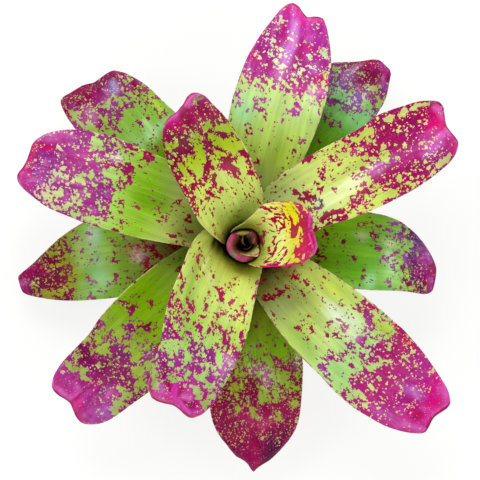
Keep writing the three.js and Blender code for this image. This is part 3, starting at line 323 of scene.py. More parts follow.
# ---------------------------------------------------------------- how each leaf is marked
# lean: rows of (s, right, middle, left): how far the leaf leans to green (-2) or to magenta (+2) there.
# m and g: single blotches (s, b, half length, half width) of magenta and of green.
# green and pink: colour stops (s, (red, green, blue)) along the leaf for its two pigments.
# the soft patches: pale or deep areas (s, b, half length, half width, strength, colour), whatever the pigment. Besides
# patches of the leaf's own colour they are painted highlights and sheen, and painted shade in gaps and at shaded bases.
# Distances are millimetres: s out along the midrib in plan, b across it, to the left.
MARKS = {
    "leaf_01": dict(
        lean=[(14, -1.6, -1.6, -1.6), (30, -1.1, -1.3, -1.1), (40, -0.9, -1.0, -0.8), (45, 0.2, 0.4, -0.2), (48, 1.2, 1.6, 1.0), (51, 2, 2, 1.8), (55, 2, 2, 2)],
        m=[(15.3, 2.6, 2.0, 4.5, 1.6)],
        g=[],
        green=[(14, (140, 146, 40)), (18, (176, 186, 76)), (23, (214, 218, 116)), (30, (234, 234, 142)), (36, (232, 226, 96)), (41, (230, 222, 40)), (48, (222, 214, 40))],
        pink=[(14, (150, 30, 60)), (28, (172, 12, 62)), (38, (184, 58, 58)), (44, (196, 52, 74)), (49, (214, 30, 96)), (53, (226, 18, 122))],
        # its first patch, dark olive near the cup, is painted shade
        patches_and_painted_light=[(17, 20, 4.5, 14, 0.85, (100, 104, 6)), (15.2, 2.6, 1.6, 4.6, 0.9, (112, 0, 40)), (46, -16, 5, 8, 0.7, (222, 34, 104)), (52.5, 4, 2.2, 7, 0.55, (244, 110, 176)), (49.2, 2, 0.9, 9, 0.7, (150, 14, 50)), (22, 2, 5, 16, 0.4, (196, 204, 104))],
    ),
    "leaf_02": dict(
        lean=[(16, -1.6, -1.7, -1.6), (36, -1.2, -1.3, -1.1), (46, -0.8, -0.7, -0.3), (58, 0.0, 0.0, 0.0), (75, -0.2, 0.0, 0.1), (88, 0.0, 0.1, 0.5), (96, 0.6, 1.1, 1.3), (105, 1.1, 1.9, 2), (115, 0.9, 2, 2), (125, 1.6, 2, 2)],
        m=[(46, -13.5, 2.2, 1.8), (48.5, 7, 2.2, 2), (66, 25.6, 8, 1.5), (88, 12, 6, 8), (63, -14, 4, 4), (59, 16, 3, 3), (66, -3, 3, 5), (78, 15, 4, 3), (84, -8, 4, 3), (85, -23, 4, 3), (66, -31, 2, 2), (94, 8, 4, 6), (96, -8, 3, 4)],
        g=[(66, 8, 4, 3), (74, 14, 2, 5), (92, 18, 2, 6), (86, 2, 5, 2.6), (66, -8, 3.4, 2.6), (87, -14, 4, 3), (103, -21, 3, 2.4), (117, -15, 4.6, 3.2), (74, -14, 4, 3), (76, -24, 5, 4), (98, -7, 2.2, 2), (88, -27, 4, 2.5), (112, 17, 1.6, 1.8), (75, 5, 3, 3), (96, -15, 3, 2), (70, 19, 3, 2)],
        green=[(16, (168, 182, 70)), (35, (196, 212, 108)), (60, (196, 212, 88)), (75, (172, 196, 36)), (95, (160, 184, 48)), (110, (170, 176, 90)), (122, (128, 144, 70))],
        pink=[(16, (150, 14, 60)), (60, (146, 14, 62)), (90, (124, 26, 66)), (100, (146, 4, 70)), (110, (180, 6, 100)), (122, (170, 40, 124))],
        patches_and_painted_light=[(112, 8, 5, 6, 0.75, (236, 70, 178)), (120, -10, 4, 6, 0.5, (220, 60, 160)), (104, 2, 6, 6, 0.5, (176, 0, 88)), (58, -12, 8, 14, 0.35, (206, 222, 150)), (94, 2, 5, 10, 0.4, (122, 30, 50))],
    ),
    "leaf_03": dict(
        lean=[(16, -1.7, -1.8, -1.6), (45, -1.2, -1.2, -1.2), (60, -0.85, -0.85, -0.85), (75, -0.55, -0.6, -0.35), (85, -0.4, -0.4, 0.2), (92, -0.1, 0.0, 0.4), (105, 0.1, 0.5, 0.6), (118, 0.4, 0.9, 0.4), (128, 0.5, 1.6, 0.9), (136, 1.2, 2, 1.7), (146, 2, 2, 2)],
        m=[(46, -3, 4, 1.4), (42.5, -6, 1.6, 4), (56.5, 13, 2.6, 2.6), (63, -11, 6, 1.5), (75, -8.5, 2, 2.4), (75, 11.5, 3.4, 1.6), (69, 4.5, 1.8, 3), (58, 2, 1.6, 2.2), (64, -23, 2.6, 3.6), (68, -31, 2.4, 2), (89, -29, 5, 7), (33, 21.5, 2, 2), (71, 23.5, 5, 1.6), (80, 20, 2.6, 3), (50, 16.5, 3, 1.4), (90, 3, 2.4, 6), (98, -3, 4, 3.4), (42, 22, 3, 1), (48, 6, 3, 1), (84, 21, 4, 4), (108, 20, 4, 6), (104, -14, 5, 2.4), (115, -21, 5, 3)],
        g=[(97, 14, 3.6, 5), (113.5, 17, 2.8, 3.2), (123, 13.5, 4, 3), (101, -8.5, 5, 3.4), (128, 21, 5, 2.2), (93, -16, 4, 3), (122, -11, 2.4, 2.8), (120, -27, 4.6, 2.4), (134, -20.5, 4, 2.4), (112, -2.6, 3, 1.8), (107, 9, 3, 3), (99, -27, 4, 3), (104, 27, 4, 1.4), (118, 23, 3, 1.6)],
        green=[(16, (166, 168, 40)), (24, (176, 186, 66)), (34, (204, 218, 106)), (50, (202, 222, 118)), (70, (180, 212, 90)), (90, (176, 214, 112)), (110, (176, 210, 120)), (130, (166, 190, 96))],
        pink=[(16, (166, 20, 70)), (50, (166, 22, 78)), (75, (160, 34, 100)), (92, (150, 50, 132)), (112, (168, 52, 140)), (124, (184, 26, 130)), (134, (206, 26, 148)), (142, (198, 14, 110))],
        # its first three patches are painted shade, near black, in the deep gap by its right shoulder
        patches_and_painted_light=[(25.5, -32, 2.6, 4, 0.97, (12, 9, 2)), (21.5, -25, 2.6, 5, 0.97, (12, 9, 2)), (18, -15, 2.2, 5, 0.95, (18, 14, 2)), (46, -22, 14, 12, 0.3, (170, 206, 70)), (96, 20, 7, 6, 0.45, (232, 160, 214)), (124, 4, 9, 6, 0.35, (232, 120, 200)), (136, -10, 6, 8, 0.6, (222, 50, 170)), (139, 8, 5, 8, 0.5, (218, 50, 170)), (121, -17, 9, 7, 0.45, (130, 30, 90)), (52, 8, 14, 9, 0.3, (222, 236, 150)), (127, 0, 9, 2, 0.6, (190, 0, 110)), (131, 12, 4, 3, 0.5, (150, 20, 90))],
    ),
    "leaf_04": dict(
        lean=[(20, -1.4, -1.5, -1.6), (44, -0.3, -0.4, -0.9), (70, -0.5, -1.4, -1.3), (85, -0.7, -1.5, -1.0), (95, -0.5, -1.2, -0.7), (105, -0.6, -0.5, -0.3), (115, 0.0, 0.5, 0.8), (125, 0.6, 1.1, 1.2), (140, 0.55, 1.3, 1.3), (155, 0.6, 1.3, 1.3), (170, 0.6, 1.3, 1.2), (180, 1.4, 2, 1.8), (195, 2, 2, 2)],
        m=[(73, -14.5, 5, 3.0, 1.6), (68, -12.6, 4, 2.2, 1.2), (78, -17.5, 4, 1.6, 1.2), (65, 5, 3.2, 1.5, 0.8), (61, 8, 1.5, 4, 0.6), (60, 9.5, 4, 1.4), (56, 16, 2, 3), (78, 33.6, 5, 1.3), (94, 25, 3, 1.8), (80, 16, 1.4, 3.4), (82, 3.5, 1.8, 2), (92, -15, 6, 2.6), (102, -3, 1.4, 3), (105, 32, 5, 2), (72, 8, 1, 6), (99, -10, 8, 1.2), (113, 22, 4, 2.4), (106, -15, 3, 3)],
        g=[(122, 28, 4.6, 3.4), (131, 28, 2.4, 4), (148, 29, 4.6, 2.8), (161, 27, 4, 3.2), (171, 26, 4, 2), (183, 23, 3.4, 1.4), (115, 13, 2.4, 2.4), (132, 12, 4, 2), (113, 4.5, 3, 2.6), (130, 4.5, 4.6, 2.6), (130, -14, 2, 2.8), (115, -22, 9, 2.2), (134, -25, 4.4, 2.8), (154, -25.5, 3, 1.8), (163, -24, 2.4, 2.8), (173, -23, 3.4, 2.8), (146, -13, 2, 2.4), (107, 10, 4, 1.4), (103, 24, 5, 3), (100, 15, 6, 3), (118, -17, 3, 2.5), (145, -22, 3, 2), (109, -4, 3, 4)],
        green=[(20, (160, 176, 80)), (45, (186, 204, 112)), (70, (206, 220, 120)), (95, (198, 216, 104)), (120, (190, 206, 90)), (140, (206, 212, 110)), (165, (216, 218, 140)), (185, (190, 206, 110))],
        pink=[(20, (150, 20, 70)), (70, (142, 14, 62)), (95, (170, 24, 96)), (112, (158, 18, 84)), (140, (158, 16, 92)), (165, (160, 22, 104)), (180, (200, 8, 106)), (190, (206, 14, 120))],
        patches_and_painted_light=[(74, -4, 18, 7, 0.6, (228, 240, 184)), (98, -1, 13, 6, 0.8, (236, 244, 196)), (118, 0, 7, 5, 0.6, (206, 140, 206)), (152, -2, 26, 6, 0.40, (206, 96, 170)), (176, 2, 8, 3, 0.55, (238, 110, 196)), (178, -4, 7, 2, 0.6, (248, 190, 232)), (170, -12, 8, 3, 0.45, (200, 110, 190)), (150, 22, 36, 6, 0.5, (140, 8, 68)), (183, 8, 6, 5, 0.8, (222, 6, 116)), (187, 17, 5, 4, 0.5, (160, 0, 70)), (184, -4, 6, 6, 0.5, (226, 70, 176)), (170, -18, 14, 7, 0.4, (160, 70, 150)), (66.0, -2.6, 3.0, 2.6, 0.9, (104, 100, 98)), (64.6, -2.2, 1.5, 1.2, 0.85, (186, 192, 160)), (67.6, -4.0, 1.3, 1.2, 0.85, (74, 78, 86)), (105, 2.0, 22, 0.9, 0.75, (240, 240, 206)), (118, 2.2, 12, 0.9, 0.6, (244, 214, 226)), (45, 16, 14, 9, 0.4, (206, 214, 160)), (112, 20, 10, 2, 0.3, (222, 120, 180))],
    ),
    "leaf_05": dict(
        lean=[(20, -1.4, -1.3, -1.3), (60, -1.5, -1.5, -1.3), (90, -1.6, -1.8, -1.5), (100, -0.8, -1.3, -1.1), (108, -0.3, -0.6, -0.6), (115, -0.1, 0.6, 0.4), (125, 0.3, 1.1, 0.6), (135, 0.6, 1.1, 0.6), (150, 0.9, 1.0, 0.6), (165, 1.1, 1.4, 0.7), (178, 1.3, 1.8, 1.3), (195, 2, 2, 2)],
        m=[(67.5, 5.5, 2.4, 2.6), (103, 6.5, 3.4, 2.4), (89, 5, 4, 1.3), (62, -11, 1.6, 3), (50.5, 0, 1.6, 4.6), (58, 17.5, 4, 1.6), (95, -34, 4, 3), (105, -21, 3.6, 3), (121, -17, 4, 3.4), (115, 8, 3, 7), (74, 3, 1, 4), (47, 9, 3, 1), (103, -11, 3, 2.4), (111, -6, 3, 2), (128, -6, 3, 5), (123, 18, 4, 3)],
        g=[(121.5, 12, 1.7, 1.7), (138, 16, 5, 2.3), (141, -3, 3.6, 3.6), (132, 8, 2.2, 2.2), (118, 14, 1.6, 1.4), (132.5, -7, 1.8, 3.6), (137, 26, 3, 2.2), (124, 27, 4, 2.8), (155, 25, 4, 2.6), (162, 17.5, 5, 3.6), (135, -31, 5, 3.6), (140, -24, 3.6, 2.6), (117, -12, 6, 3), (112, 27, 4, 3), (153, 13, 2, 3), (158, -2, 4, 2), (149, 1, 2, 4), (104, 26, 5, 4), (113, -28, 4, 3), (163, 8, 2.5, 4)],
        green=[(20, (150, 162, 66)), (45, (160, 170, 84)), (65, (158, 176, 84)), (85, (134, 178, 40)), (100, (150, 196, 62)), (115, (168, 206, 104)), (135, (186, 212, 124)), (155, (206, 216, 150)), (175, (220, 210, 170))],
        pink=[(20, (130, 24, 46)), (70, (140, 20, 60)), (105, (146, 30, 84)), (118, (152, 50, 124)), (140, (160, 60, 136)), (160, (166, 52, 132)), (178, (160, 40, 130)), (186, (196, 20, 120)), (193, (206, 40, 140))],
        patches_and_painted_light=[(84, -4, 15, 13, 0.85, (112, 164, 6)), (58, -22, 12, 7, 0.3, (198, 206, 130)), (52, 10, 12, 7, 0.5, (128, 132, 60)), (118, -26, 3.6, 3, 0.6, (222, 190, 214)), (140, -18, 12, 10, 0.35, (206, 90, 150)), (178, -2, 10, 7, 0.4, (150, 40, 130)), (186, -13, 4, 5, 0.8, (210, 0, 100)), (177, 9, 12, 4, 0.5, (166, 96, 178)), (165, -33, 18, 4, 0.6, (214, 110, 180)), (190, -6, 5, 9, 0.7, (196, 0, 100)), (190, 6, 4, 6, 0.5, (220, 50, 160)), (120, 8, 6, 8, 0.3, (120, 50, 110)), (163, 0, 6, 6, 0.3, (150, 190, 190))],
    ),
    "leaf_06": dict(
        lean=[(22, -0.8, -0.8, -0.8), (50, -0.8, -0.8, -1.2), (70, -1.5, -1.5, -1.5), (100, -1.3, -1.3, -1.0), (112, -0.9, -1.0, -0.4), (125, -1.0, -0.8, -0.2), (135, -0.4, -0.1, 0.2), (142, 0.4, 0.8, 0.8), (155, 0.8, 1.2, 1.1), (170, 1.3, 1.2, 1.0), (185, 1.6, 1.5, 1.1), (200, 2, 2, 2)],
        m=[(117.5, -6, 2.6, 3.6), (112, -14, 1.8, 4), (117, -20.5, 6, 1.8), (103.5, 6, 1.6, 3), (117, 9, 3, 2), (79, -12, 1.8, 2), (113, 34, 5, 2.6), (122, 16, 3, 3), (103, 17.5, 3, 1), (143, -9, 5, 8), (93, 11, 1.6, 1.6), (88, 27.5, 2.4, 1), (47, -14, 4, 3), (50, -5, 1.6, 6), (49, 14, 3, 2), (107, 38, 4, 3), (120, 30, 3, 3), (136, 22, 5, 5), (100, -5, 1.4, 1.6), (88, -5, 3, 1)],
        g=[(133, -7, 3, 3.2), (126, -14.5, 9, 4.6), (148, -17, 5, 2.8), (152, 19, 4, 2.4), (142, 8, 4, 2.6), (153, 4, 2, 1.6), (150, 36, 2.6, 2.8), (187, 32, 3, 2), (146, 13, 2, 3), (160, 33, 2, 4), (130, 37, 4, 4), (127, 4, 4, 4), (158, -20, 3, 2)],
        green=[(22, (104, 96, 34)), (42, (132, 126, 62)), (58, (176, 192, 104)), (80, (192, 214, 104)), (100, (196, 220, 130)), (120, (178, 220, 134)), (140, (178, 214, 126)), (160, (216, 212, 140)), (185, (226, 190, 150))],
        pink=[(22, (110, 20, 30)), (55, (138, 16, 54)), (90, (150, 26, 76)), (115, (160, 52, 132)), (140, (166, 40, 116)), (160, (184, 44, 120)), (180, (176, 48, 136)), (198, (204, 20, 126)), (210, (214, 50, 150))],
        # its first two patches are painted shade, dark brown, at its base under the leaves above
        patches_and_painted_light=[(31, -3, 8, 12, 0.97, (16, 10, 3)), (40, 5, 4, 5, 0.8, (60, 40, 10)), (92, 18, 10, 7, 0.95, (232, 244, 214)), (84, 20, 16, 3, 0.5, (236, 244, 220)), (106, 24, 9, 5, 0.85, (228, 242, 212)), (112, 16, 7, 4, 0.6, (236, 214, 224)), (80, 32, 22, 7, 0.45, (186, 212, 60)), (128, 36, 14, 6, 0.5, (176, 196, 20)), (146, 26, 8, 8, 0.5, (176, 10, 80)), (150, 42, 16, 3, 0.6, (176, 10, 84)), (205, 15, 5, 5, 0.5, (214, 10, 110)), (197, -4, 6, 5, 0.6, (176, 6, 84)), (175, -18, 16, 5, 0.5, (206, 110, 186)), (205, 24, 6, 4, 0.5, (216, 100, 190)), (196, -13, 8, 4, 0.5, (222, 90, 176)), (180, 10, 8, 3, 0.5, (176, 130, 210)), (60, -12, 8, 10, 0.3, (186, 200, 150)), (205, 4, 4, 3, 0.5, (232, 40, 160))],
    ),
    "leaf_07": dict(
        lean=[(22, -1.4, -1.4, -1.3), (60, -1.6, -1.7, -1.6), (100, -1.5, -1.7, -1.2), (115, -1.3, -1.6, -0.9), (122, -0.8, -1.1, -0.1), (130, 0.3, 0.3, 0.6), (138, 0.4, 0.8, 1.0), (150, 0.8, 1.1, 1.2), (165, 1.0, 1.3, 1.3), (178, 1.5, 1.7, 1.4), (195, 2, 2, 2)],
        m=[(113, -16, 3.8, 3.4), (104, 8, 3, 1.4), (107, 12, 1.8, 3), (111, 17, 3, 1.3), (114.5, 13, 1, 3), (131, -7, 4, 2.4), (133, -13, 5, 3), (90, 18, 3, 2.2), (66.5, 4, 2.2, 2), (64, -16, 3, 1.4), (145, -28, 4, 4.6), (109, 30, 3, 1.6), (116, 33, 4, 1.4), (84, 17, 2, 1.4), (90, -26, 3, 1.6), (54, 0, 2, 1.6)],
        g=[(130, 11, 3.4, 1.8), (147, 11.5, 4, 2.2), (145, 5.5, 2.2, 1.8), (162, 20, 2.8, 2.4), (149, -29.5, 3, 2.2), (165, -24, 2.8, 2.8), (160, -13, 1.8, 2.8), (182, 19.5, 3.6, 1.4), (110, 12, 2.2, 2.6), (137, 19, 3, 1.6), (126, -20, 6, 3), (145, -10, 2, 2), (170, -20, 2.5, 2), (157, 12, 1.6, 1.6), (150, -6, 3, 1.6)],
        green=[(22, (140, 150, 70)), (50, (164, 178, 96)), (75, (166, 194, 74)), (95, (178, 208, 104)), (115, (190, 220, 132)), (130, (196, 220, 130)), (150, (220, 226, 184)), (175, (216, 222, 172))],
        pink=[(22, (130, 14, 50)), (80, (146, 20, 74)), (108, (166, 60, 150)), (130, (180, 50, 136)), (150, (164, 46, 130)), (170, (176, 50, 146)), (186, (196, 60, 170)), (192, (224, 40, 150))],
        patches_and_painted_light=[(102, 25, 10, 7, 0.8, (168, 232, 172)), (112, 20, 12, 12, 0.3, (190, 232, 160)), (80, -12, 14, 6, 0.35, (150, 180, 30)), (152, 5, 18, 4.6, 0.75, (222, 170, 232)), (166, 6, 16, 3.6, 0.6, (216, 130, 214)), (130, -24, 7, 4, 0.6, (240, 214, 232)), (143, -26, 5, 5, 0.6, (204, 10, 90)), (150, -29.5, 3, 2, 0.6, (200, 196, 30)), (190, 4, 5, 6, 0.7, (236, 60, 170)), (150, -20, 5, 4, 0.5, (180, 110, 200)), (165, -3, 14, 2.6, 0.4, (176, 10, 110)), (175, 15, 10, 3, 0.4, (176, 20, 120)), (100, -26, 22, 5, 0.35, (204, 236, 130)), (60, 0, 12, 20, 0.3, (150, 156, 84))],
    ),
    "leaf_08": dict(
        lean=[(24, -1.4, -1.4, -1.3), (80, -1.5, -1.5, -1.3), (100, -1.1, -0.9, -1.1), (112, -1.3, -0.7, -0.9), (125, -1.0, -0.4, -0.4), (133, -0.7, 0.5, 0.0), (142, -0.3, 1.1, 0.6), (150, 0.3, 1.4, 0.8), (160, 0.85, 1.6, 0.95), (172, 0.8, 1.7, 1.0), (180, 1.5, 2, 1.4), (200, 2, 2, 2)],
        m=[(105, -27, 3.4, 6), (103, -2, 5, 1.8), (114, -11, 5, 2.2), (124, -7, 3, 1.4), (133, -29.5, 5, 2.6), (155, -23.5, 6, 4), (160, -13, 8, 5), (113, 16, 5, 3.4), (125, 15, 5, 2.6), (150, 16, 4, 5), (103, -20, 4, 1.4), (89, -15, 1, 3), (138, 5, 6, 6), (58, -21.5, 4, 1), (130, -20, 3, 1)],
        g=[(144, -14.5, 5, 4), (172, -18, 2.6, 3.5), (166, -12, 2.5, 3), (162, -25, 4.4, 2.8), (155, 26, 3.6, 4), (165, 27, 4, 3.6), (172, 30, 3, 4), (145, -3, 2.4, 2), (136, 20, 5, 3), (129, 10, 5, 3), (141, 27, 4, 3), (154, 20, 3, 2.5), (163, 4, 1.6, 1.8), (157, 7, 1.2, 1.4), (171, -8, 3, 4)],
        green=[(24, (110, 130, 40)), (60, (146, 166, 64)), (85, (126, 168, 20)), (110, (130, 170, 26)), (125, (156, 184, 60)), (140, (166, 192, 70)), (160, (176, 196, 96)), (180, (190, 196, 120))],
        pink=[(24, (120, 10, 40)), (100, (130, 16, 50)), (118, (150, 50, 120)), (135, (150, 50, 110)), (155, (150, 36, 104)), (170, (168, 48, 130)), (184, (190, 60, 150)), (194, (206, 40, 130))],
        patches_and_painted_light=[(75, -4, 18, 16, 0.5, (112, 158, 0)), (90, -28, 34, 9, 0.5, (112, 158, 0)), (120, 18, 12, 6, 0.35, (196, 214, 130)), (164, 18, 9, 7, 0.5, (214, 120, 190)), (184, 26, 12, 6, 0.5, (176, 90, 180)), (158, -20, 9, 6, 0.6, (120, 20, 50)), (190, 2, 5, 5, 0.7, (214, 6, 120)), (188, -12, 7, 6, 0.6, (216, 90, 190)), (152, -2, 8, 8, 0.4, (130, 20, 80)), (195, 12, 3, 8, 0.5, (190, 20, 110)), (128, -22, 10, 6, 0.3, (150, 186, 50))],
    ),
    "leaf_09": dict(
        lean=[(26, -1.4, -1.4, -1.4), (60, -1.2, -1.3, -1.3), (100, -1.5, -1.4, -1.2), (118, -1.3, -1.1, -0.8), (128, -0.5, -0.3, -0.5), (134, 0.3, 0.8, 0.8), (140, 0.6, 1.5, 1.6), (152, 1.5, 1.5, 1.7), (160, 2, 2, 2)],
        m=[(103.5, 15, 3, 2.2), (102, 19, 1.6, 2), (108, 5, 1.8, 2), (114, -3, 2.6, 3.4), (119.5, -20, 1.8, 1.8), (125, 17, 3.6, 2.6), (118, 27.5, 4, 1.2), (106, 23.6, 5, 0.7), (116, 21.6, 4, 0.7), (125, 20, 5, 0.8), (132, -8, 1.8, 4), (136, -17, 4, 1.8), (92, -5, 1.4, 1.8), (64, -6, 3.6, 1.6), (60, -2, 2, 3), (91, 23, 1.6, 1.4), (125, -5, 3, 1), (80, 8.5, 2, 0.8), (98, -20, 2, 1), (66, 12.5, 1.6, 1.8)],
        g=[(140, -21, 5, 1.6), (133, -12, 3, 3), (131, 10, 3, 3)],
        green=[(26, (70, 92, 10)), (60, (112, 146, 22)), (80, (106, 158, 24)), (105, (106, 172, 50)), (125, (136, 186, 84)), (140, (150, 186, 70)), (155, (190, 170, 90))],
        pink=[(26, (90, 10, 20)), (100, (122, 30, 62)), (118, (140, 70, 130)), (134, (100, 34, 86)), (144, (128, 26, 104)), (153, (140, 8, 92)), (161, (156, 10, 104))],
        patches_and_painted_light=[(105, -21, 5, 7, 0.7, (166, 222, 170)), (122, -15, 8, 8, 0.55, (166, 220, 140)), (94, 14, 5, 4, 0.5, (186, 186, 140)), (117, 11, 6, 3, 0.4, (176, 160, 150)), (96, 26, 20, 6, 0.5, (112, 146, 0)), (140, 14, 7, 9, 0.8, (84, 58, 118)), (148, 4, 4, 4, 0.5, (176, 70, 160)), (156, -2, 4, 12, 0.6, (166, 0, 96)), (148, 9, 5, 3, 0.5, (176, 110, 186)), (157, -13, 4, 4, 0.5, (190, 80, 160)), (150, -20, 8, 4, 0.5, (120, 30, 90)), (85, -12, 18, 10, 0.35, (84, 160, 24))],
    ),
    "leaf_10": dict(
        lean=[(27, -1.4, -1.4, -1.4), (100, -1.4, -1.5, -1.4), (130, -1.3, -1.5, -1.0), (140, -1.3, -1.3, -0.8), (147, -0.6, 0.0, 0.1), (155, 0.1, 0.4, 0.5), (165, 0.8, 0.9, 0.9), (178, 1.4, 1.5, 1.1), (190, 2, 2, 2)],
        m=[(130, -7.5, 3.2, 1.8), (107, -4, 5, 1.6), (160, -24, 5, 3.6), (149, 17, 4, 5), (149, -4, 2.6, 6), (124, -24.5, 2.4, 1.2), (124, -29, 1.6, 1.4), (145, -11, 2, 2), (150, -28, 4, 2), (138, 16, 2, 1), (134, -31.5, 2, 1)],
        g=[(155, 25.5, 4.4, 3.6), (154, -15, 5, 4), (152, 12, 2, 2), (171, 30, 5, 3), (161, 4, 2, 4), (145, 22, 4, 3), (160, -6, 3, 2), (168, 12, 2, 2.5)],
        green=[(27, (70, 90, 10)), (100, (112, 150, 20)), (118, (134, 186, 70)), (132, (132, 184, 60)), (145, (142, 184, 70)), (160, (160, 184, 80)), (180, (170, 180, 90))],
        pink=[(27, (110, 10, 40)), (108, (120, 14, 44)), (130, (136, 40, 90)), (150, (140, 40, 92)), (165, (156, 50, 124)), (180, (150, 14, 84)), (190, (160, 20, 100))],
        patches_and_painted_light=[(118, -14, 4, 14, 0.6, (176, 222, 170)), (120, 4, 10, 5, 0.5, (160, 212, 120)), (115, 8, 8, 3, 0.5, (150, 200, 170)), (168, -11, 5, 4, 0.9, (180, 184, 220)), (160, 0, 8, 5, 0.35, (186, 130, 180)), (166, 24, 9, 8, 0.4, (196, 110, 160)), (184, 18, 6, 10, 0.5, (156, 10, 76)), (130, -26, 10, 6, 0.35, (150, 196, 30)), (183, -10, 6, 8, 0.4, (130, 20, 90)), (148, -30, 12, 4, 0.3, (180, 200, 40))],
    ),
    "leaf_11": dict(
        lean=[(29, -1.4, -1.4, -1.4), (80, -1.3, -1.4, -1.4), (90, -0.5, -0.5, -0.9), (98, 0.2, 0.0, -0.1), (110, 0.3, 0.3, 0.1), (125, 0.4, 0.4, 0.3), (140, 0.9, 0.9, 0.8), (150, 1.1, 1.2, 1.1), (160, 1.4, 1.6, 1.5), (175, 2, 2, 2)],
        m=[(104, 37, 3.6, 4), (78, 19, 1.4, 1.2), (118, 4, 4, 4), (96, 24, 1.4, 1.4), (122, -17, 4, 3), (135, 25, 3, 3), (152, -22, 5, 4), (148, 38, 5, 3)],
        g=[(143, 4, 3, 2.6), (107, -5, 3.4, 3), (128, 12, 4, 3), (118, -10, 4, 3), (147, 25, 3, 3), (134, 38, 4, 4), (137, -9, 3, 2.5), (113, 30, 5, 5)],
        green=[(29, (70, 80, 10)), (60, (110, 122, 20)), (85, (120, 164, 16)), (105, (138, 170, 50)), (125, (142, 164, 56)), (145, (150, 156, 62)), (165, (190, 150, 100))],
        pink=[(29, (90, 10, 20)), (85, (130, 50, 80)), (105, (140, 40, 80)), (120, (120, 20, 54)), (140, (138, 18, 72)), (158, (138, 6, 72)), (175, (140, 0, 80)), (190, (180, 4, 106))],
        patches_and_painted_light=[(112, 17, 9, 5, 0.4, (196, 160, 180)), (104, 8, 5, 5, 0.35, (196, 150, 170)), (100, 42, 5, 3, 0.6, (214, 230, 200)), (120, 26, 10, 4, 0.3, (186, 200, 130)), (176, 17, 16, 6, 0.85, (70, 28, 62)), (160, 24, 14, 5, 0.35, (110, 10, 60)), (150, 8, 10, 8, 0.35, (180, 50, 110)), (186, 4, 6, 4, 0.7, (190, 0, 100)), (176, -4, 14, 8, 0.4, (146, 0, 84)), (160, -22, 12, 4, 0.5, (150, 30, 80)), (60, 8, 16, 14, 0.35, (96, 96, 20))],
    ),
    "leaf_12": dict(
        lean=[(31, -1.5, -1.5, -1.5), (115, -1.4, -1.3, -1.2), (130, -1.4, -1.4, -1.1), (138, -0.8, -0.6, -0.2), (148, 0.1, 0.6, 0.5), (160, 0.6, 1.0, 0.8), (172, 1.1, 1.4, 1.2), (185, 2, 2, 2)],
        m=[(123, 8, 1.6, 2), (126, -4, 2.4, 1.8), (104, 0, 1.2, 1.4), (122, 0, 3, 1), (135, -11, 1.6, 3), (142, -3, 4, 3), (136, 13, 3, 3)],
        g=[(145, 10, 4, 5), (148, -13, 7, 2.6), (155, -11, 4, 2.6), (163, -18, 5, 1.8), (170, -8, 3, 2), (160, 27, 4, 3), (142, -20, 6, 3)],
        green=[(31, (50, 80, 0)), (105, (84, 132, 0)), (120, (86, 146, 40)), (132, (112, 176, 92)), (145, (124, 190, 120)), (158, (136, 180, 90)), (175, (160, 170, 90))],
        pink=[(31, (90, 10, 30)), (115, (116, 30, 60)), (135, (112, 50, 100)), (150, (116, 70, 128)), (160, (132, 60, 116)), (175, (130, 26, 76)), (190, (160, 26, 110))],
        patches_and_painted_light=[(140, 0, 8, 16, 0.25, (124, 192, 110)), (158, 14, 9, 5, 0.6, (148, 120, 170)), (150, -4, 6, 5, 0.5, (130, 110, 180)), (166, -4, 6, 6, 0.3, (176, 120, 150)), (180, 12, 8, 6, 0.5, (150, 20, 80)), (176, -6, 8, 6, 0.4, (120, 24, 60)), (188, 0, 4, 6, 0.5, (176, 50, 140)), (176, -13, 6, 4, 0.5, (130, 60, 150))],
    ),
    "leaf_13": dict(
        lean=[(33, -0.7, -0.7, -0.9), (70, -0.5, -0.4, -0.6), (85, -0.5, -0.2, -0.5), (95, -0.8, -0.6, -1.0), (105, -1.3, -1.3, -1.3), (138, -1.1, -1.1, -1.1), (148, -0.5, -0.4, -0.6), (154, 0.2, 0.6, 0.0), (160, 0.5, 1.3, 0.4), (170, 0.6, 2, 0.8), (182, 1.6, 2, 1.8), (195, 2, 2, 2)],
        m=[(133, 26.5, 3.4, 1.6), (129, 15, 3, 1), (134, 11, 1.4, 3), (126.5, -25, 1.8, 2.2), (111, 14, 1, 4), (118, 18, 2, 1), (153, 23, 5, 1.6), (135, -13, 1.6, 1.6), (88, -9, 2, 1.6), (73, 0, 3, 2), (78, -7, 3, 3), (84, 4, 3, 4), (80, 9, 3, 1.4), (110, -1, 3, 1), (125, -1, 1, 1), (139, -25, 3, 1.4), (150, 18, 3, 2)],
        g=[(172, 18, 5, 3.6), (180, 12, 3, 3), (163, -14, 3, 4), (168, 24, 4, 2), (158, 17, 2.6, 2.6), (157, -4, 4, 1.2), (156, 2, 2, 2)],
        green=[(33, (56, 46, 4)), (62, (96, 84, 30)), (78, (132, 130, 70)), (95, (130, 158, 60)), (110, (118, 166, 40)), (130, (128, 178, 60)), (145, (146, 170, 40)), (155, (160, 172, 40)), (175, (160, 160, 50))],
        pink=[(33, (80, 0, 10)), (75, (124, 10, 36)), (92, (150, 40, 70)), (108, (140, 40, 90)), (130, (150, 70, 130)), (150, (140, 30, 70)), (165, (126, 0, 62)), (180, (140, 0, 84)), (194, (160, 4, 104))],
        patches_and_painted_light=[(90, -2, 5, 5, 0.75, (222, 200, 200)), (97, -6, 7, 4, 0.7, (176, 70, 96)), (123, 3, 7, 16, 0.5, (176, 222, 176)), (124, -24, 6, 8, 0.65, (190, 216, 206)), (122, 14, 9, 6, 0.5, (176, 226, 170)), (140, 24, 8, 4, 0.5, (166, 214, 140)), (138, -4, 9, 8, 0.3, (120, 176, 40)), (188, 6, 6, 4, 0.4, (190, 90, 150)), (186, -3, 7, 6, 0.7, (166, 0, 108)), (178, 16, 10, 5, 0.3, (150, 30, 90)), (150, -4, 5, 10, 0.4, (160, 150, 20)), (176, -4, 12, 5, 0.5, (166, 0, 84))],
    ),
}
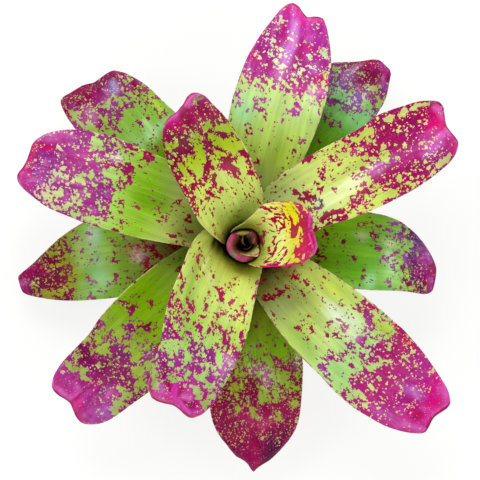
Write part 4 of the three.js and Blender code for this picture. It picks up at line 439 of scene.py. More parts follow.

# strokes laid on the leaves. lean: (s, b, s, b, half width, lean there). tone: (s, b, s, b, half width, strength,
# colour): the leaf's own colour, and also painted highlights, sheen and painted shade.
STROKES = {
    "leaf_01": dict(
        lean=[(30.6, 27.7, 31.6, 23.7, 1.03, 2.3), (31.6, 23.7, 31.7, 20.4, 0.59, 2.3), (27.7, 21.2, 28.7, 20.3, 0.59, 2.3), (25.3, 18, 23.8, 15, 0.81, 2.3), (23.8, 15, 24, 13.7, 0.59, 2.3), (24.3, 13.8, 25.9, 8.6, 0.37, 2.3), (25.3, 9.4, 25.9, 8.6, 0.59, 2.3), (26.5, 15.8, 26.9, 14.3, 0.37, 2.3), (32.5, 16.8, 37.4, 15.2, 1.32, 2.3), (28.9, 13.7, 28.8, 10.3, 1.62, 3.2), (31.1, 14.4, 34, 13.1, 1.32, 2.3), (31.6, 11.3, 32.4, 6.1, 1.03, 2.3), (37.9, 16, 33.2, 5, 0.96, 2.3), (28.5, 8.2, 28, 3.3, 1.03, 2.3), (28.5, 4.7, 33.2, 5, 1.18, 2.3), (40.8, 21.2, 40.6, 16.9, 0.88, 2.3), (40.4, 17.9, 40.1, 9.8, 1.03, 2.3), (39.9, 14.3, 39.8, 7.4, 0.88, 2.3), (36.8, 12.7, 38, 8.7, 0.59, 2.3), (45.4, 21.1, 45.4, 18.3, 0.44, 2.3), (24.3, 5.2, 26.2, 2.9, 0.59, 2.3), (27.6, 4.3, 27.6, 1.8, 0.59, 2.3), (23.4, 7.4, 23.7, 6.4, 0.37, 2.3), (19.5, 7.7, 19.5, 4.4, 0.66, 2.3), (18, 4.2, 17.7, -1.5, 0.88, 2.3), (18, -1.6, 16.8, -4.6, 0.44, 2.3), (16.4, 1.3, 16.4, -2.9, 0.37, 2.3), (20.7, 7.2, 21.4, 5.2, 0.33, 2.3), (25.5, -0, 23.3, -3.2, 0.59, 2.3), (23.3, -3.2, 24.1, -6, 0.59, 2.3), (27.9, -4.3, 25.6, -5.2, 0.44, 2.3), (25.6, -5.2, 24.8, -8.7, 0.44, 2.3), (24.8, -8.7, 24.5, -11.7, 0.81, 2.3), (24.4, -10.9, 22.7, -13.3, 0.59, 2.3), (20.8, -6.4, 21.2, -9.4, 0.81, 2.3), (21.2, -11.4, 23, -11.9, 0.37, 2.3), (24.5, -13.3, 21.9, -18.9, 0.66, 2.3), (22.7, -16.6, 21, -18.5, 0.96, 2.3), (21.7, -19.8, 23.8, -19.8, 0.59, 2.3), (26.7, -14.4, 29.3, -11.4, 0.37, 2.3), (29.3, -11.4, 33.5, -10.3, 0.66, 2.3), (30, -20.4, 31.7, -15.9, 0.59, 2.3), (31.7, -15.9, 32.3, -12.9, 0.52, 2.3), (33, -17.4, 34.8, -16.4, 0.44, 2.3), (34.6, -21.8, 36.2, -20.6, 0.59, 2.3), (33.6, -25.4, 34.9, -23.1, 0.52, 2.3), (37.2, -25.3, 38.9, -21.7, 0.59, 2.3), (26.9, -21.2, 30.2, -23, 0.37, 2.3), (23.8, -22.4, 29.4, -23.9, 0.81, 2.3), (34, 24.4, 33.9, 23.2, 0.44, 2.3), (34.8, 22.6, 35, 20.8, 0.44, 2.3), (41.4, 25.6, 42.5, 23.9, 0.52, 2.3), (38.6, 18.6, 39, 20.5, 0.37, 2.3), (30.7, -5.5, 32.3, -4.8, 0.52, 2.3), (33.8, -5.2, 36.4, -3.5, 0.44, 2.3), (30.5, -7.8, 29.9, -10, 0.37, 2.3), (48.9, 18.4, 50.7, 12.5, 2.21, 3.2), (48.6, 13.2, 48.4, 4.8, 2.36, 3.2), (47.9, 20.1, 50.8, 17.7, 1.18, 2.3), (48, 4.9, 45.1, -16.4, 1.91, 3.2), (45.6, 8.1, 44.7, 3.4, 1.77, 3.2), (41.5, 3.5, 38, -3.5, 2.36, 3.2), (38.9, 5.1, 36.8, -1.6, 1.18, 2.3), (44.1, -1.2, 43.2, -5, 0.66, 2.3), (40.9, -13.6, 41.2, -19.9, 1.91, 3.2), (38.3, -12.2, 39, -17.8, 1.32, 2.3), (44.1, -14.5, 44.4, -25.5, 2.65, 3.2), (37, -7.9, 37.2, -10.3, 0.59, 2.3), (39, -12.4, 40.4, -21.3, 1.69, 3.2), (42, -7.7, 42.6, -14.1, 1.47, 3.2), (35.6, -20.8, 37.1, -18.8, 0.52, 2.3), (33, -22.7, 32.4, -26, 0.44, 2.3), (36.6, -14, 35.5, -16.9, 0.44, 2.3), (42.1, -21.7, 42.8, -26.2, 1.47, 3.2), (43.5, 20.9, 42.9, 14.2, 2, -3.4), (43.4, 15.9, 43.5, 8.8, 2, -3.4), (42.8, 9, 41.2, 4.9, 0.72, -3), (46.5, 22.4, 47.6, 12.6, 0.6, -3), (40.1, 20, 39.2, 13.7, 1.12, -3), (41.7, 23.3, 43.3, 19.1, 0.88, -3), (38.4, 14.2, 38.7, 10.3, 0.48, -3), (36.4, 10.1, 35, 5.4, 1.04, -3), (37.6, 8, 36.5, 4.1, 0.96, -3), (34.9, 2.9, 33.1, -4.6, 1.6, -3.4), (31.3, -8, 38.2, -7.2, 1.52, -3), (39.9, -5.6, 42.2, -2.3, 0.64, -3), (42.2, -2.3, 44, 2.4, 0.48, -3), (44.2, 0.3, 44.5, -4.5, 0.44, -3), (43.1, -8.1, 43.1, -9.6, 0.64, -3), (40.1, -7.2, 40.5, -12, 0.96, -3), (33.5, -10.1, 36.1, -12.4, 1.6, -3.4), (35.9, -13.8, 33.7, -18, 1.36, -3), (37.3, -18.1, 37.5, -23.7, 0.88, -3), (34.2, -20.1, 31.3, -24.5, 1.04, -3), (39.6, -22.2, 41.4, -23.9, 1.2, -3), (44.5, -19.7, 44, -22.3, 0.72, -3), (52.8, 16.7, 52.1, 13.8, 0.6, -3), (53, 13.1, 52.9, 11, 0.48, -3), (44.4, 8.5, 44.3, 6, 0.4, -3), (48.6, 10.2, 48.2, 8.6, 0.4, -3), (31.6, 12.8, 32.6, 11.1, 0.4, -3), (32.3, 10.8, 33.1, 8.7, 0.4, -3), (34.9, 14.7, 35.8, 13, 0.36, -3), (29.3, 9.9, 28.8, 5.5, 0.52, -3), (30.2, 7.9, 31.4, 6.4, 0.36, -3), (23.4, -16.1, 22.4, -18.2, 0.36, -3), (36.8, 6.9, 36.8, 6.5, 0.56, 3), (35.2, -0.4, 35.1, -0.7, 0.56, 3), (33.3, 2, 33.3, 1.7, 0.4, 3), (32.2, -2.3, 32.2, -2.8, 0.4, 3)],
        tone=[(53, 10.1, 48, -3.2, 1.6, 0.95, (198, 0, 90)), (53.5, 8.2, 50.1, -0.6, 0.72, 0.9, (250, 96, 190)), (54.9, 6.2, 51.9, -1.1, 1.36, 0.8, (206, 0, 120)), (55.9, 5.1, 53.7, 0, 0.64, 0.7, (130, 0, 80)), (54.9, 10.4, 55.2, 6.9, 0.8, 0.6, (236, 150, 190)), (49.2, -3.1, 53.1, -4.7, 0.88, 0.6, (236, 130, 200)), (49.9, -5.3, 50.5, -17.2, 2.4, 0.95, (194, 0, 98)), (49.1, -5.1, 50.2, -16.4, 0.64, 0.85, (248, 96, 186)), (52.9, -8.6, 53.5, -15.9, 1.04, 0.8, (232, 60, 170)), (53.2, -16.6, 50, -21, 0.96, 0.7, (206, 130, 200)), (46.4, -9, 47.2, -17, 1.92, 0.7, (214, 10, 96)), (45.8, -19.7, 50, -20.2, 2.4, 0.7, (216, 70, 130)), (44.2, -23.9, 41.6, -26.3, 1.6, 0.5, (222, 70, 130)), (50.1, 16.2, 46.5, -1.1, 3.2, 0.6, (172, 50, 70)), (40.8, 3.7, 38, -3.5, 3.2, 0.8, (166, 56, 52)), (45.4, -2.4, 44.5, -12.4, 1.92, 0.8, (182, 50, 60)), (48, 11.7, 46.2, 0.6, 2.08, 0.7, (174, 52, 64)), (41.6, -15.4, 44.6, -21.7, 2.08, 0.6, (192, 50, 80)), (30.7, 14.9, 32.8, 6, 4.8, 0.9, (154, 0, 44)), (32.8, 25.4, 31.8, 21, 3.2, 0.7, (150, 0, 50)), (24.9, -2.5, 23.3, -14.4, 4, 0.7, (150, 0, 44)), (30.1, -12.4, 30.1, -18.8, 3.2, 0.5, (150, 10, 44)), (41.3, 19.5, 39.8, 7.4, 2.4, 0.6, (176, 30, 40)), (19.5, 7.7, 17.3, -3.9, 1.6, 0.7, (120, 10, 40)), (19.1, -16, 23.8, -19.8, 2, 0.5, (120, 10, 50)), (23.8, -22.4, 29.4, -23.9, 1.28, 0.7, (176, 0, 96)), (44.3, 21.1, 43.2, 8, 3.2, 0.9, (226, 224, 6)), (36.6, 9.2, 33.2, -3.8, 2.4, 0.7, (226, 214, 60)), (31.3, -8, 39.7, -7.1, 2.4, 0.6, (222, 222, 60)), (35.8, -12.3, 35.4, -20, 2.8, 0.6, (220, 218, 64)), (44.4, 2.7, 40.1, -11.9, 1.12, 0.6, (236, 206, 90)), (52.9, 15.3, 52.9, 11.8, 1.2, 0.7, (244, 226, 130)), (44.5, -20.1, 44, -21.5, 1.2, 0.7, (246, 206, 140)), (27, 2.1, 29, -13.6, 4, 0.5, (228, 238, 132)), (21.4, -0.6, 29, 10.7, 3.2, 0.3, (206, 216, 110)), (19.2, 15.7, 27.1, 22.4, 3.2, 0.4, (186, 190, 66)), (40.4, 25, 33.6, 24.7, 2.4, 0.4, (230, 236, 140))],
    ),
    "leaf_02": dict(
        lean=[(91.9, 14.3, 95.4, 3, 2.56, 1.15), (82, 14.3, 85.9, 1.3, 1.92, 1.15), (85.8, 19.4, 88.2, 17.4, 1.44, 1.15), (101.3, -19.3, 93.4, -27.8, 2.08, 1.15), (91.7, -12.5, 81.2, -24.8, 1.36, 1.15), (81.2, -8.9, 69.6, -2.3, 1.2, 1.15), (65.4, -0.2, 59.1, 6.7, 2.4, 1.15), (65.1, -14.6, 58.1, -18.3, 2.4, 1.15), (63.9, -9.3, 54.1, -16.4, 1.28, 1.15), (51.3, 5.6, 47, 6.6, 1.36, 1.15), (46.1, -12.5, 44.3, -14.6, 1.28, 1.15), (68.5, -28.1, 64.9, -33.3, 1.12, 1.15), (73.3, 24.9, 57.9, 24.8, 1.2, 1.15), (52.6, 19.8, 42.7, 26.2, 1.04, 1.15), (47.1, 16.3, 43.3, 17.4, 0.96, 1.15), (52.1, -25.8, 51.4, -28.9, 0.96, 1.15), (49.4, -32.3, 48.2, -31.8, 0.88, 1.15), (105.2, 3.1, 108.5, -12.9, 3.2, 1.15), (103.5, 14.9, 103.8, 7.9, 2.08, 1.15), (71, 14.5, 65, 12.3, 1.12, 1.15), (77.6, -11.2, 71.2, -18.3, 1.2, 1.15), (90.5, 20.6, 82.4, 21, 2.56, 1.15), (94.7, 9.2, 97.1, -2.9, 3.04, 1.15), (115.6, -15.8, 102.6, -19.8, 2.72, 1.15), (107.3, -3.8, 98, -8.4, 2.72, 1.15), (77.8, 21.6, 69.3, 20.7, 1.44, 1.15), (106.5, -25.7, 98.2, -27.3, 1.28, 1.15), (97, 20.7, 95.1, 21.2, 0.96, -0.9), (89.7, 20.3, 92.1, 14.9, 1.28, -0.9), (80.8, -0.6, 72.7, 0.6, 2.3, -0.9), (91, -19.6, 86.7, -23.7, 1.6, -0.9), (80.7, -17.7, 71.5, -30.1, 2.69, -0.9), (96.3, -10.9, 94.9, -11.4, 1.66, -0.9), (85.9, 1.3, 80, 1.4, 1.28, -0.9), (68.6, -6.7, 65.3, -6.2, 1.92, -0.9), (65, 8.7, 63.8, 8.5, 1.34, -0.9), (59, 8, 58.1, 8.2, 0.9, -0.9), (58, 12.4, 56.9, 12.7, 1.09, -0.9), (60.9, 2, 59.8, 2.2, 0.77, -0.9), (62.3, -25.5, 56, -27.2, 2.3, -0.9), (52.5, -6, 36.7, -16.3, 5.12, -0.9), (77.8, 18.1, 71.2, 18, 1.66, -0.9), (77.1, 9.7, 70.6, 10.3, 1.54, -0.9), (95, -3.7, 91.4, -3.8, 1.41, -0.9), (87, -28.4, 77.9, -30, 2.05, -0.9)],
        tone=[(94.2, 13.8, 82.1, 2.2, 6.4, 0.5, (112, 10, 50)), (65.4, 3.2, 55.8, 1, 3.2, 0.4, (150, 0, 60)), (61.7, -10.4, 53.8, -16.5, 1.92, 0.7, (190, 0, 100)), (120.2, -4.6, 123.3, -11.8, 2.4, 0.8, (236, 56, 150)), (117.1, -6.5, 118.3, -11.7, 2.08, 0.65, (216, 112, 182)), (124.2, -12.1, 123, -16.8, 1.6, 0.6, (222, 90, 170)), (118.7, -0.1, 114.1, 6.4, 1.76, 0.97, (255, 56, 196)), (114.1, 5.5, 112.9, 12.8, 1.84, 0.8, (230, 94, 192)), (113.2, 14, 109.1, 17.3, 1.44, 0.5, (216, 70, 150)), (113.3, -2.8, 104.7, 5.9, 3.68, 0.7, (160, 0, 64)), (111.3, -10.7, 104.4, -2.6, 4, 0.5, (140, 0, 56)), (117.6, -13.2, 107.2, -15.8, 3.2, 0.5, (120, 14, 56)), (108.7, 11, 101, 5.7, 2.4, 0.6, (194, 0, 96)), (101.4, 14.1, 90.9, 6.7, 3.2, 0.5, (110, 10, 40)), (119, -1.5, 115.3, 5.9, 0.64, 0.6, (170, 10, 110)), (114.3, 8.9, 111.8, 15.6, 0.64, 0.7, (170, 20, 120)), (126, -10.2, 120.3, -2.9, 0.64, 0.6, (200, 20, 130))],
    ),
    "leaf_03": dict(
        lean=[(66.3, -32.8, 69.2, -29.4, 2, 1.15), (60.7, -27.5, 65.7, -22.2, 1.2, 1.15), (59.1, -23.1, 62.3, -20.2, 0.64, 1.15), (67.6, -39.8, 72.5, -38, 0.88, 1.15), (80.7, -35.7, 87.3, -31.9, 1.76, 1.15), (84.3, -32.7, 87.4, -24.4, 2.56, 1.15), (79, -28.3, 83.5, -23.6, 1.12, 1.15), (91.4, -33, 93.1, -25.3, 1.44, 1.15), (88.2, -22.4, 90.2, -19.2, 1.28, 1.15), (43.1, -10.9, 40.7, -4.6, 0.96, 1.15), (41.9, -5.4, 48.7, -1.9, 1.68, 1.15), (38.2, -3.9, 36.3, 1.4, 0.64, 1.15), (31.3, 0, 28, 4.1, 0.64, 1.15), (53, -15.9, 57.8, -11.2, 0.64, 1.15), (58, -11.5, 66, -10.9, 0.96, 1.15), (66.2, -11.4, 65.7, -9.5, 1.6, 1.15), (48.1, -14.2, 52.1, -9.6, 0.72, 1.15), (48.7, 5.8, 43, 9.3, 0.88, 1.15), (48.2, 5.6, 48.6, 6.9, 1.2, 1.15), (57.6, 10.2, 53.5, 12.6, 1.36, 1.15), (57.8, 15.5, 50.1, 15.9, 0.88, 1.15), (56.9, 19.6, 52.5, 19.7, 0.48, 1.15), (41.3, 22.2, 45.3, 22, 0.88, 1.15), (75.4, -11.2, 73.2, -8.3, 1.36, 1.15), (67.1, -2, 75.4, 2.5, 0.8, 1.15), (66.9, 2.6, 70.6, 5.9, 1.04, 1.15), (72.1, 8.3, 75.9, 13.3, 1.68, 1.15), (57.9, -2.8, 56.1, 4.9, 0.48, 1.15), (54.5, 0.1, 58.6, 2.6, 0.48, 1.15), (58.6, -1.6, 63.3, -0.9, 0.56, 1.15), (67.4, 22.3, 73.7, 24, 1.6, 1.15), (75.8, 22.4, 81.1, 20.7, 1.12, 1.15), (82.9, 18.2, 82.5, 21.3, 1.36, 1.15), (82.8, -14.4, 90.5, -8.4, 1.44, 1.15), (82.7, -17.9, 82.2, -13, 0.88, 1.15), (86.5, -7.3, 94.2, -5, 0.8, 1.15), (87.6, -2, 94.1, 6.2, 2.24, 1.15), (94.1, 4.4, 94.9, 11.8, 2.24, 1.15), (97, 14.5, 99.8, 21.2, 2.4, 1.15), (96.3, -5.8, 103.9, 0.5, 1.84, 1.15), (88.6, 7.1, 92.3, 10, 0.96, 1.15), (99.3, -15.7, 110.2, -11.8, 1.44, 1.15), (108.5, -26.2, 118.4, -16.3, 2.88, 1.15), (117.4, -24.8, 125.1, -19.2, 1.6, 1.15), (105.8, -31.6, 111, -27.2, 0.96, 1.15), (115.3, -14.2, 112.2, -5.1, 1.6, 1.15), (39.1, -36.5, 39, -32.9, 0.96, 1.15), (34.9, -30.8, 35.5, -26.3, 0.64, 1.15), (40.6, -29.2, 40.1, -23.1, 0.48, 1.15), (51.2, -42.3, 53, -39.2, 0.72, 1.15), (45.1, -28.6, 47.9, -24.2, 0.48, 1.15), (57.5, -34.7, 59.4, -33.1, 0.64, 1.15), (33.2, -13.9, 31.1, -11.9, 0.4, 1.15), (44.1, -34.9, 45, -32.5, 0.4, 1.15), (95.3, -13.1, 104.5, -8, 1.73, -1), (96.9, -23.7, 100.7, -18.5, 1.38, -1), (96.8, -28.9, 102.1, -24.8, 1.04, -1), (112.1, 6.3, 110.2, 11.5, 1.44, -1), (112.4, 15.3, 112.8, 17.8, 1.56, -1), (119.3, 7.4, 122.6, 11.5, 1.84, -1), (87.3, 9.9, 91.2, 16.1, 1.5, -1), (93.7, 14.3, 95.2, 17.7, 1.15, -1), (99, 6.8, 101.8, 9.9, 1.09, -1), (104, 22.1, 104.2, 22.8, 1.15, -1), (107.5, 25.1, 108, 25.9, 1.04, -1), (120.2, 20.4, 119.4, 24.4, 1.27, -1), (127.4, 17.8, 127.9, 20.3, 1.09, -1), (131.8, 18.5, 130.1, 22.4, 0.86, -1), (128.2, -25.6, 134, -20.2, 1.84, -1), (121.8, -28.5, 123.4, -24.6, 1.27, -1), (122.5, -13.3, 122.3, -8, 1.04, -1), (94.1, -2.8, 95.5, -0.4, 0.81, -1), (64.3, 4.9, 64.7, 18.4, 2.88, -1), (72.6, -6.9, 85.7, 2.3, 1.96, -1), (74, 5.7, 79.9, 7.7, 0.92, -1), (72.3, -24.4, 78.5, -16.3, 2.3, -1)],
        tone=[(87.6, 18.7, 89.9, 26.6, 2.88, 0.55, (236, 180, 226)), (110.1, -25.5, 122.2, -16.2, 4, 0.5, (122, 16, 74)), (90.2, 1.8, 95.2, 9.3, 3.2, 0.45, (126, 40, 110)), (99.1, 15.6, 107.5, 25.1, 3.2, 0.45, (150, 70, 160)), (84, -32, 88.2, -22.4, 3.2, 0.5, (166, 0, 88)), (79.6, -36.9, 86.2, -33.1, 1.44, 0.6, (150, 60, 140)), (60.7, -13.8, 66.9, -9.3, 2.4, 0.6, (166, 0, 64)), (65.8, -33.1, 69.8, -29.1, 2.4, 0.5, (150, 0, 60)), (82.7, 18.9, 76.3, 25.2, 2.08, 0.6, (190, 10, 60)), (57.5, 10.5, 50.1, 15.6, 2.4, 0.5, (186, 0, 70)), (32.2, 21.7, 38.5, 20.7, 1.28, 0.5, (230, 130, 150)), (34.5, 6.5, 65.3, 21.9, 5.6, 0.35, (216, 234, 96)), (67.6, -21.3, 87.6, -17.4, 5.6, 0.5, (124, 178, 40)), (39.5, -33.7, 60.9, -26.5, 4.4, 0.5, (122, 170, 34)), (35.4, -28, 41.5, -13.6, 2.72, 0.4, (220, 236, 166)), (72, -5.4, 84.9, 0.2, 3.2, 0.35, (186, 222, 126)), (126.1, -12.8, 131.4, -8.7, 1.36, 0.9, (160, 0, 76)), (131.3, -17.9, 135.7, -13.7, 2.88, 0.65, (188, 140, 198)), (139.3, -17.4, 140.5, -13, 2.24, 0.5, (224, 110, 190)), (124.5, -6.9, 135.6, -2, 1.84, 0.85, (222, 62, 184)), (135.2, -1.3, 140.5, 3.5, 1.76, 0.8, (216, 70, 190)), (121.8, -2.1, 128.9, -1, 1.44, 0.9, (186, 0, 90)), (129.3, -1.7, 132.8, -0.7, 1.04, 0.6, (190, 10, 110)), (130.2, 3.4, 129.2, 8.3, 2.24, 0.5, (232, 160, 220)), (134.6, 5.8, 134.1, 12.9, 2.64, 0.8, (146, 12, 88)), (135, 2.3, 139.3, 14.1, 1.12, 0.65, (234, 112, 202)), (137.8, 13.2, 135.2, 20.9, 1.44, 0.5, (216, 80, 180)), (139.3, -8.1, 138.4, 0.4, 1.84, 0.7, (210, 20, 140)), (143.2, -13.5, 140.1, -5.9, 1.76, 0.5, (228, 40, 150)), (146.2, -16.5, 142.5, -1, 0.8, 0.85, (156, 0, 88)), (142.3, 0.8, 141.3, 13.4, 0.88, 0.85, (186, 0, 110)), (113.2, -0.2, 122.1, -2.7, 2.08, 0.4, (206, 40, 150))],
    ),
    "leaf_04": dict(
        lean=[(133.2, 35.3, 149.6, 34.7, 2.56, 1.25), (134.3, 32.2, 149.5, 19.7, 2.88, 1.25), (160.5, 32.9, 172.4, 29.4, 1.76, 1.25), (143, 17, 143.1, 3.2, 2.72, 1.25), (74.3, 35.3, 79.8, 35.4, 1.28, 1.25), (92.1, 25.4, 94.7, 22.1, 1.36, 1.25), (104.8, 25.3, 111.2, 25.2, 1.6, 1.25), (90.8, -10.2, 90.2, -19, 1.92, 1.25), (109.4, 6.3, 114.7, -0.4, 1.92, 1.25), (66, -13.8, 79, -20.5, 2.72, 1.25), (113.1, -3.1, 118.8, -12, 2.4, 1.25), (138.2, -10.6, 152.8, -11.9, 3.2, 1.25), (84.5, 13.5, 85.6, 9.2, 0.96, 1.25), (76.6, 18.2, 79.7, 14.5, 0.72, 1.25), (79.7, 23.7, 86.4, 16.9, 0.64, 1.25), (121.2, -26.3, 110.3, -26.2, 1.76, 1.25), (112.9, -15.8, 126.6, -20.3, 2.08, 1.25), (127.7, -24.7, 144.3, -25.3, 1.92, 1.25), (141.7, -20.1, 153.3, -23.3, 2.24, 1.25), (69.7, -13.3, 77.6, -21.5, 1.92, 1.25), (147.1, 29.5, 148.8, 27.6, 2.07, -1.25), (158.7, 26.7, 160.2, 25.2, 1.58, -1.25), (176, 25.7, 179.3, 24.4, 1.82, -1.25), (127, 29.8, 127.4, 27.3, 2.31, -1.25), (124.5, 24, 125.5, 21.6, 1.82, -1.25), (132.4, 12.7, 133.2, 11.3, 1.82, -1.25), (126.8, 6.7, 127.7, 5, 2.07, -1.25), (128.5, 1, 129.5, -0.5, 1.52, -1.25), (114.1, 13.4, 114.9, 11.9, 1.58, -1.25), (114.2, 21.5, 115.1, 20.1, 1.28, -1.25), (129.9, -14.9, 130, -16.3, 1.58, -1.25), (134.1, -22.6, 136.8, -25.1, 1.03, -1.25), (156.7, -25, 157.4, -26.2, 1.46, -1.25), (165.5, -23.8, 172, -22.8, 1.7, -1.25), (120.3, -21.6, 122, -23.4, 1.4, -1.25), (153.7, 10.8, 154.3, 9.6, 1.03, -1.25), (154.2, 6, 154.8, 4.7, 1.16, -1.25), (159.4, -0.4, 160.6, -1.5, 1.28, -1.25), (173.4, 13.1, 174.3, 11.5, 0.85, -1.25), (160.7, 15.5, 161.6, 13.7, 1.09, -1.25), (114, 30, 116, 27, 1.82, -1.25), (104.1, 32, 107.1, 27.6, 1.58, -1.25), (56.5, 10.8, 58, 6.1, 0.8, 2.4), (60.1, 12.4, 61.6, 7.7, 0.88, 2.4), (60.8, 6.3, 61.8, 2, 0.88, 2.4), (63.5, 7.9, 66.1, 3.2, 1.2, 3), (57.9, -0.3, 58.8, -3.6, 0.8, 2.4), (62, -2.7, 67.1, -4.7, 1.04, 3), (65.4, 3.6, 69.1, 0.5, 1.2, 3.2), (65.6, 0, 65.4, -2.3, 1.04, -3.2), (56.4, 15.9, 57.8, 12.9, 0.8, 2.2), (61.8, 2, 63.1, -0.6, 0.72, 2.2), (69.4, 0.4, 67.4, -3.9, 1.04, 3)],
        tone=[(137.7, 35.8, 147.6, 22.7, 5.6, 0.5, (142, 0, 66)), (120.4, -0.1, 137, -0.6, 3.2, 0.5, (176, 96, 170)), (65.4, 3.6, 68.7, 0.7, 1.2, 0.95, (70, 66, 92)), (68.7, -0.2, 67.2, -3.8, 1.12, 0.95, (66, 64, 90)), (65.6, 0.1, 65.3, -2.4, 1.52, 0.95, (214, 222, 178)), (60.9, -2.1, 65.5, -4.3, 0.96, 0.9, (100, 80, 106)), (66.4, 1.2, 66.4, 0.6, 0.72, 0.8, (240, 240, 240)), (164.6, 30, 194.2, 18.6, 2.56, 0.7, (132, 0, 58)), (161.3, 22.3, 180.4, 17.1, 3.2, 0.5, (146, 0, 66)), (187.6, 16.8, 188.3, 8.8, 2.88, 0.75, (236, 110, 192)), (193.3, 14.6, 189.8, 6.1, 1.6, 0.7, (238, 60, 170)), (176, 8.1, 185.4, 2.9, 4.16, 0.85, (222, 0, 120)), (189.4, 6.3, 186.6, -7.4, 1.84, 0.7, (230, 40, 160)), (183.3, -5.6, 161.8, -4.1, 2.56, 0.65, (234, 110, 196)), (174.9, -8.3, 157.3, -10.9, 2.88, 0.7, (206, 112, 206)), (163.4, 4.3, 177.9, 1.5, 2.08, 0.45, (216, 60, 150)), (187.5, -13.6, 175.8, -16.3, 3.36, 0.55, (190, 50, 140)), (173.7, -13.2, 162.1, -15.6, 2.4, 0.4, (180, 40, 120)), (188.9, 2.2, 187.9, -10, 0.72, 0.6, (180, 60, 180)), (188.9, -11.6, 187.4, -18.3, 0.88, 0.6, (190, 96, 200)), (192.5, 20.9, 194.4, 13, 0.88, 0.8, (150, 0, 80))],
    ),
    "leaf_05": dict(
        lean=[(128.1, -37.8, 123.4, -32.6, 1.2, 1.15), (123.2, -37.6, 116.7, -37.2, 0.72, 1.15), (117.4, -39.4, 105.5, -36.8, 0.96, 1.15), (105.5, -36.8, 97.9, -37.9, 0.8, 1.15), (96.5, -38.4, 90.9, -35.6, 1.04, 1.15), (96.5, -33.4, 92.7, -31.5, 0.72, 1.15), (105.6, -26.9, 100.3, -30.4, 0.72, 1.15), (104.2, -27.4, 102.2, -26.4, 1.2, 1.15), (108.1, -24.4, 102.3, -21.4, 1.44, 1.15), (111.1, -18.4, 104.8, -18.9, 1.28, 1.15), (106.7, -14.9, 101.8, -14.9, 1.12, 1.15), (110.7, -11.9, 105.7, -6.8, 1.44, 1.15), (124.6, -25.6, 117.9, -19.5, 1.6, 1.15), (126.2, -20.2, 115.5, -16.9, 2.08, 1.15), (130, -22.3, 123.7, -22.6, 1.44, 1.15), (106.7, 5.2, 101.2, 6.7, 0.96, 1.15), (118.3, 0.6, 113.3, 5.7, 1.76, 1.15), (116.4, 11.7, 112.3, 13.7, 0.96, 1.15), (94.4, 4.3, 88.2, 5.4, 0.64, 1.15), (78.3, 2.6, 75.3, -2.8, 0.56, 1.15), (69.5, 3.5, 65.5, 5.3, 1.12, 1.15), (65.9, -6.6, 61.6, -11.9, 0.96, 1.15), (55.5, -3.9, 47.5, 1.5, 1.2, 1.15), (59.3, 17.9, 55, 16.2, 1.04, 1.15), (50.1, 17.5, 43.9, 18.3, 0.72, 1.15), (54.2, 12.6, 52, 15, 0.56, 1.15), (89.3, 18.5, 85.6, 17.2, 0.56, 1.15), (83.4, 16.4, 82.4, 16.8, 0.48, 1.15), (97.8, 20.7, 92.7, 20.6, 0.56, 1.15), (89.4, -5.1, 88.2, -6.4, 0.64, 1.15), (85.5, -5.7, 82.8, -7.6, 0.48, 1.15), (85.9, -20.8, 84.2, -18.1, 0.4, 1.15), (81.3, 1.2, 79.9, 4.9, 0.4, 1.15), (83.9, -28.3, 82, -27.4, 0.4, 1.15), (100.5, 18.2, 96.2, 25.2, 0.56, 1.15), (149, -0.7, 140.2, 11.9, 2.24, 1.15), (137.4, -13.6, 122.9, -14.5, 2.24, 1.15), (131.3, 12.8, 116.6, 5.9, 2.56, 1.15), (163.7, 9.2, 156.7, 2.7, 2.4, 1.15), (186.8, -16.8, 175.2, -18.3, 3.6, 2.2), (186.1, 4.8, 176.2, 8.3, 2.8, 2.2), (170.5, -27.4, 149.2, -33.6, 2.08, 2.2), (161.2, -16, 141.3, -15.8, 2.72, 2.2), (186.3, -3.5, 170.3, 3.9, 4.4, 2.2), (179.8, -15.9, 162.4, -14.1, 4.4, 2.2), (180.3, -25.9, 159.8, -30.4, 3.6, 2.2), (157.7, -21.8, 136.5, -22.1, 2.4, 2.2), (186.7, 9.9, 177.3, 11.7, 2.4, 2.2), (141.1, -2.7, 138.4, -1.8, 1.9, -1), (133.4, -8.1, 131.4, -7, 1.15, -1), (129.7, -0.9, 126.9, -0.1, 1.15, -1), (134.5, 5.4, 131.2, 7.8, 1.09, -1), (168.4, 15.8, 161.3, 18.6, 1.73, -1), (175.5, 16.3, 173.1, 19.2, 0.98, -1), (152.7, 10.9, 151.2, 13, 1.15, -1), (143.2, 13.5, 133.5, 16.8, 1.38, -1), (121.5, 11.6, 120.5, 12.1, 0.98, -1), (152.9, 23.3, 149.8, 25, 1.27, -1), (157.8, 25.2, 154.9, 26.2, 0.81, -1), (140.1, 24.3, 138.9, 25.6, 1.27, -1), (134.7, 24.5, 131.2, 24.4, 1.09, -1), (128, 26, 125.4, 26, 1.15, -1), (121.2, 28.1, 117.2, 26.9, 1.27, -1), (119, 16.7, 117.2, 16.9, 0.86, -1), (127.6, 19.2, 123.9, 19.8, 0.75, -1), (124.4, -14.1, 117, -11.4, 1.38, -1), (117.2, -14.7, 107.2, 8.7, 1.9, -1), (104.7, 1.2, 103.3, -4.4, 2.42, -1), (108.7, 14.2, 102, 18.7, 2.19, -1), (111.7, 25.2, 101.3, 25.2, 1.61, -1), (138.6, -35.6, 129.5, -31.6, 1.84, -1), (142.7, -27, 138.8, -24.8, 1.15, -1), (132.7, -23.2, 131.4, -18.6, 1.04, -1), (127.2, -34.7, 125.3, -33.7, 0.86, -1), (119.8, -37, 116, -34.9, 1.38, -1), (114.7, -30.4, 104.2, -27.4, 2.65, -1), (163.5, -4, 159.5, -1.6, 0.98, -1), (165.3, 2.9, 161.2, 5.4, 0.81, -1), (153.8, 0.4, 149.8, 2.8, 0.92, -1), (98.4, -24.4, 85.6, -10.7, 4.03, -1)],
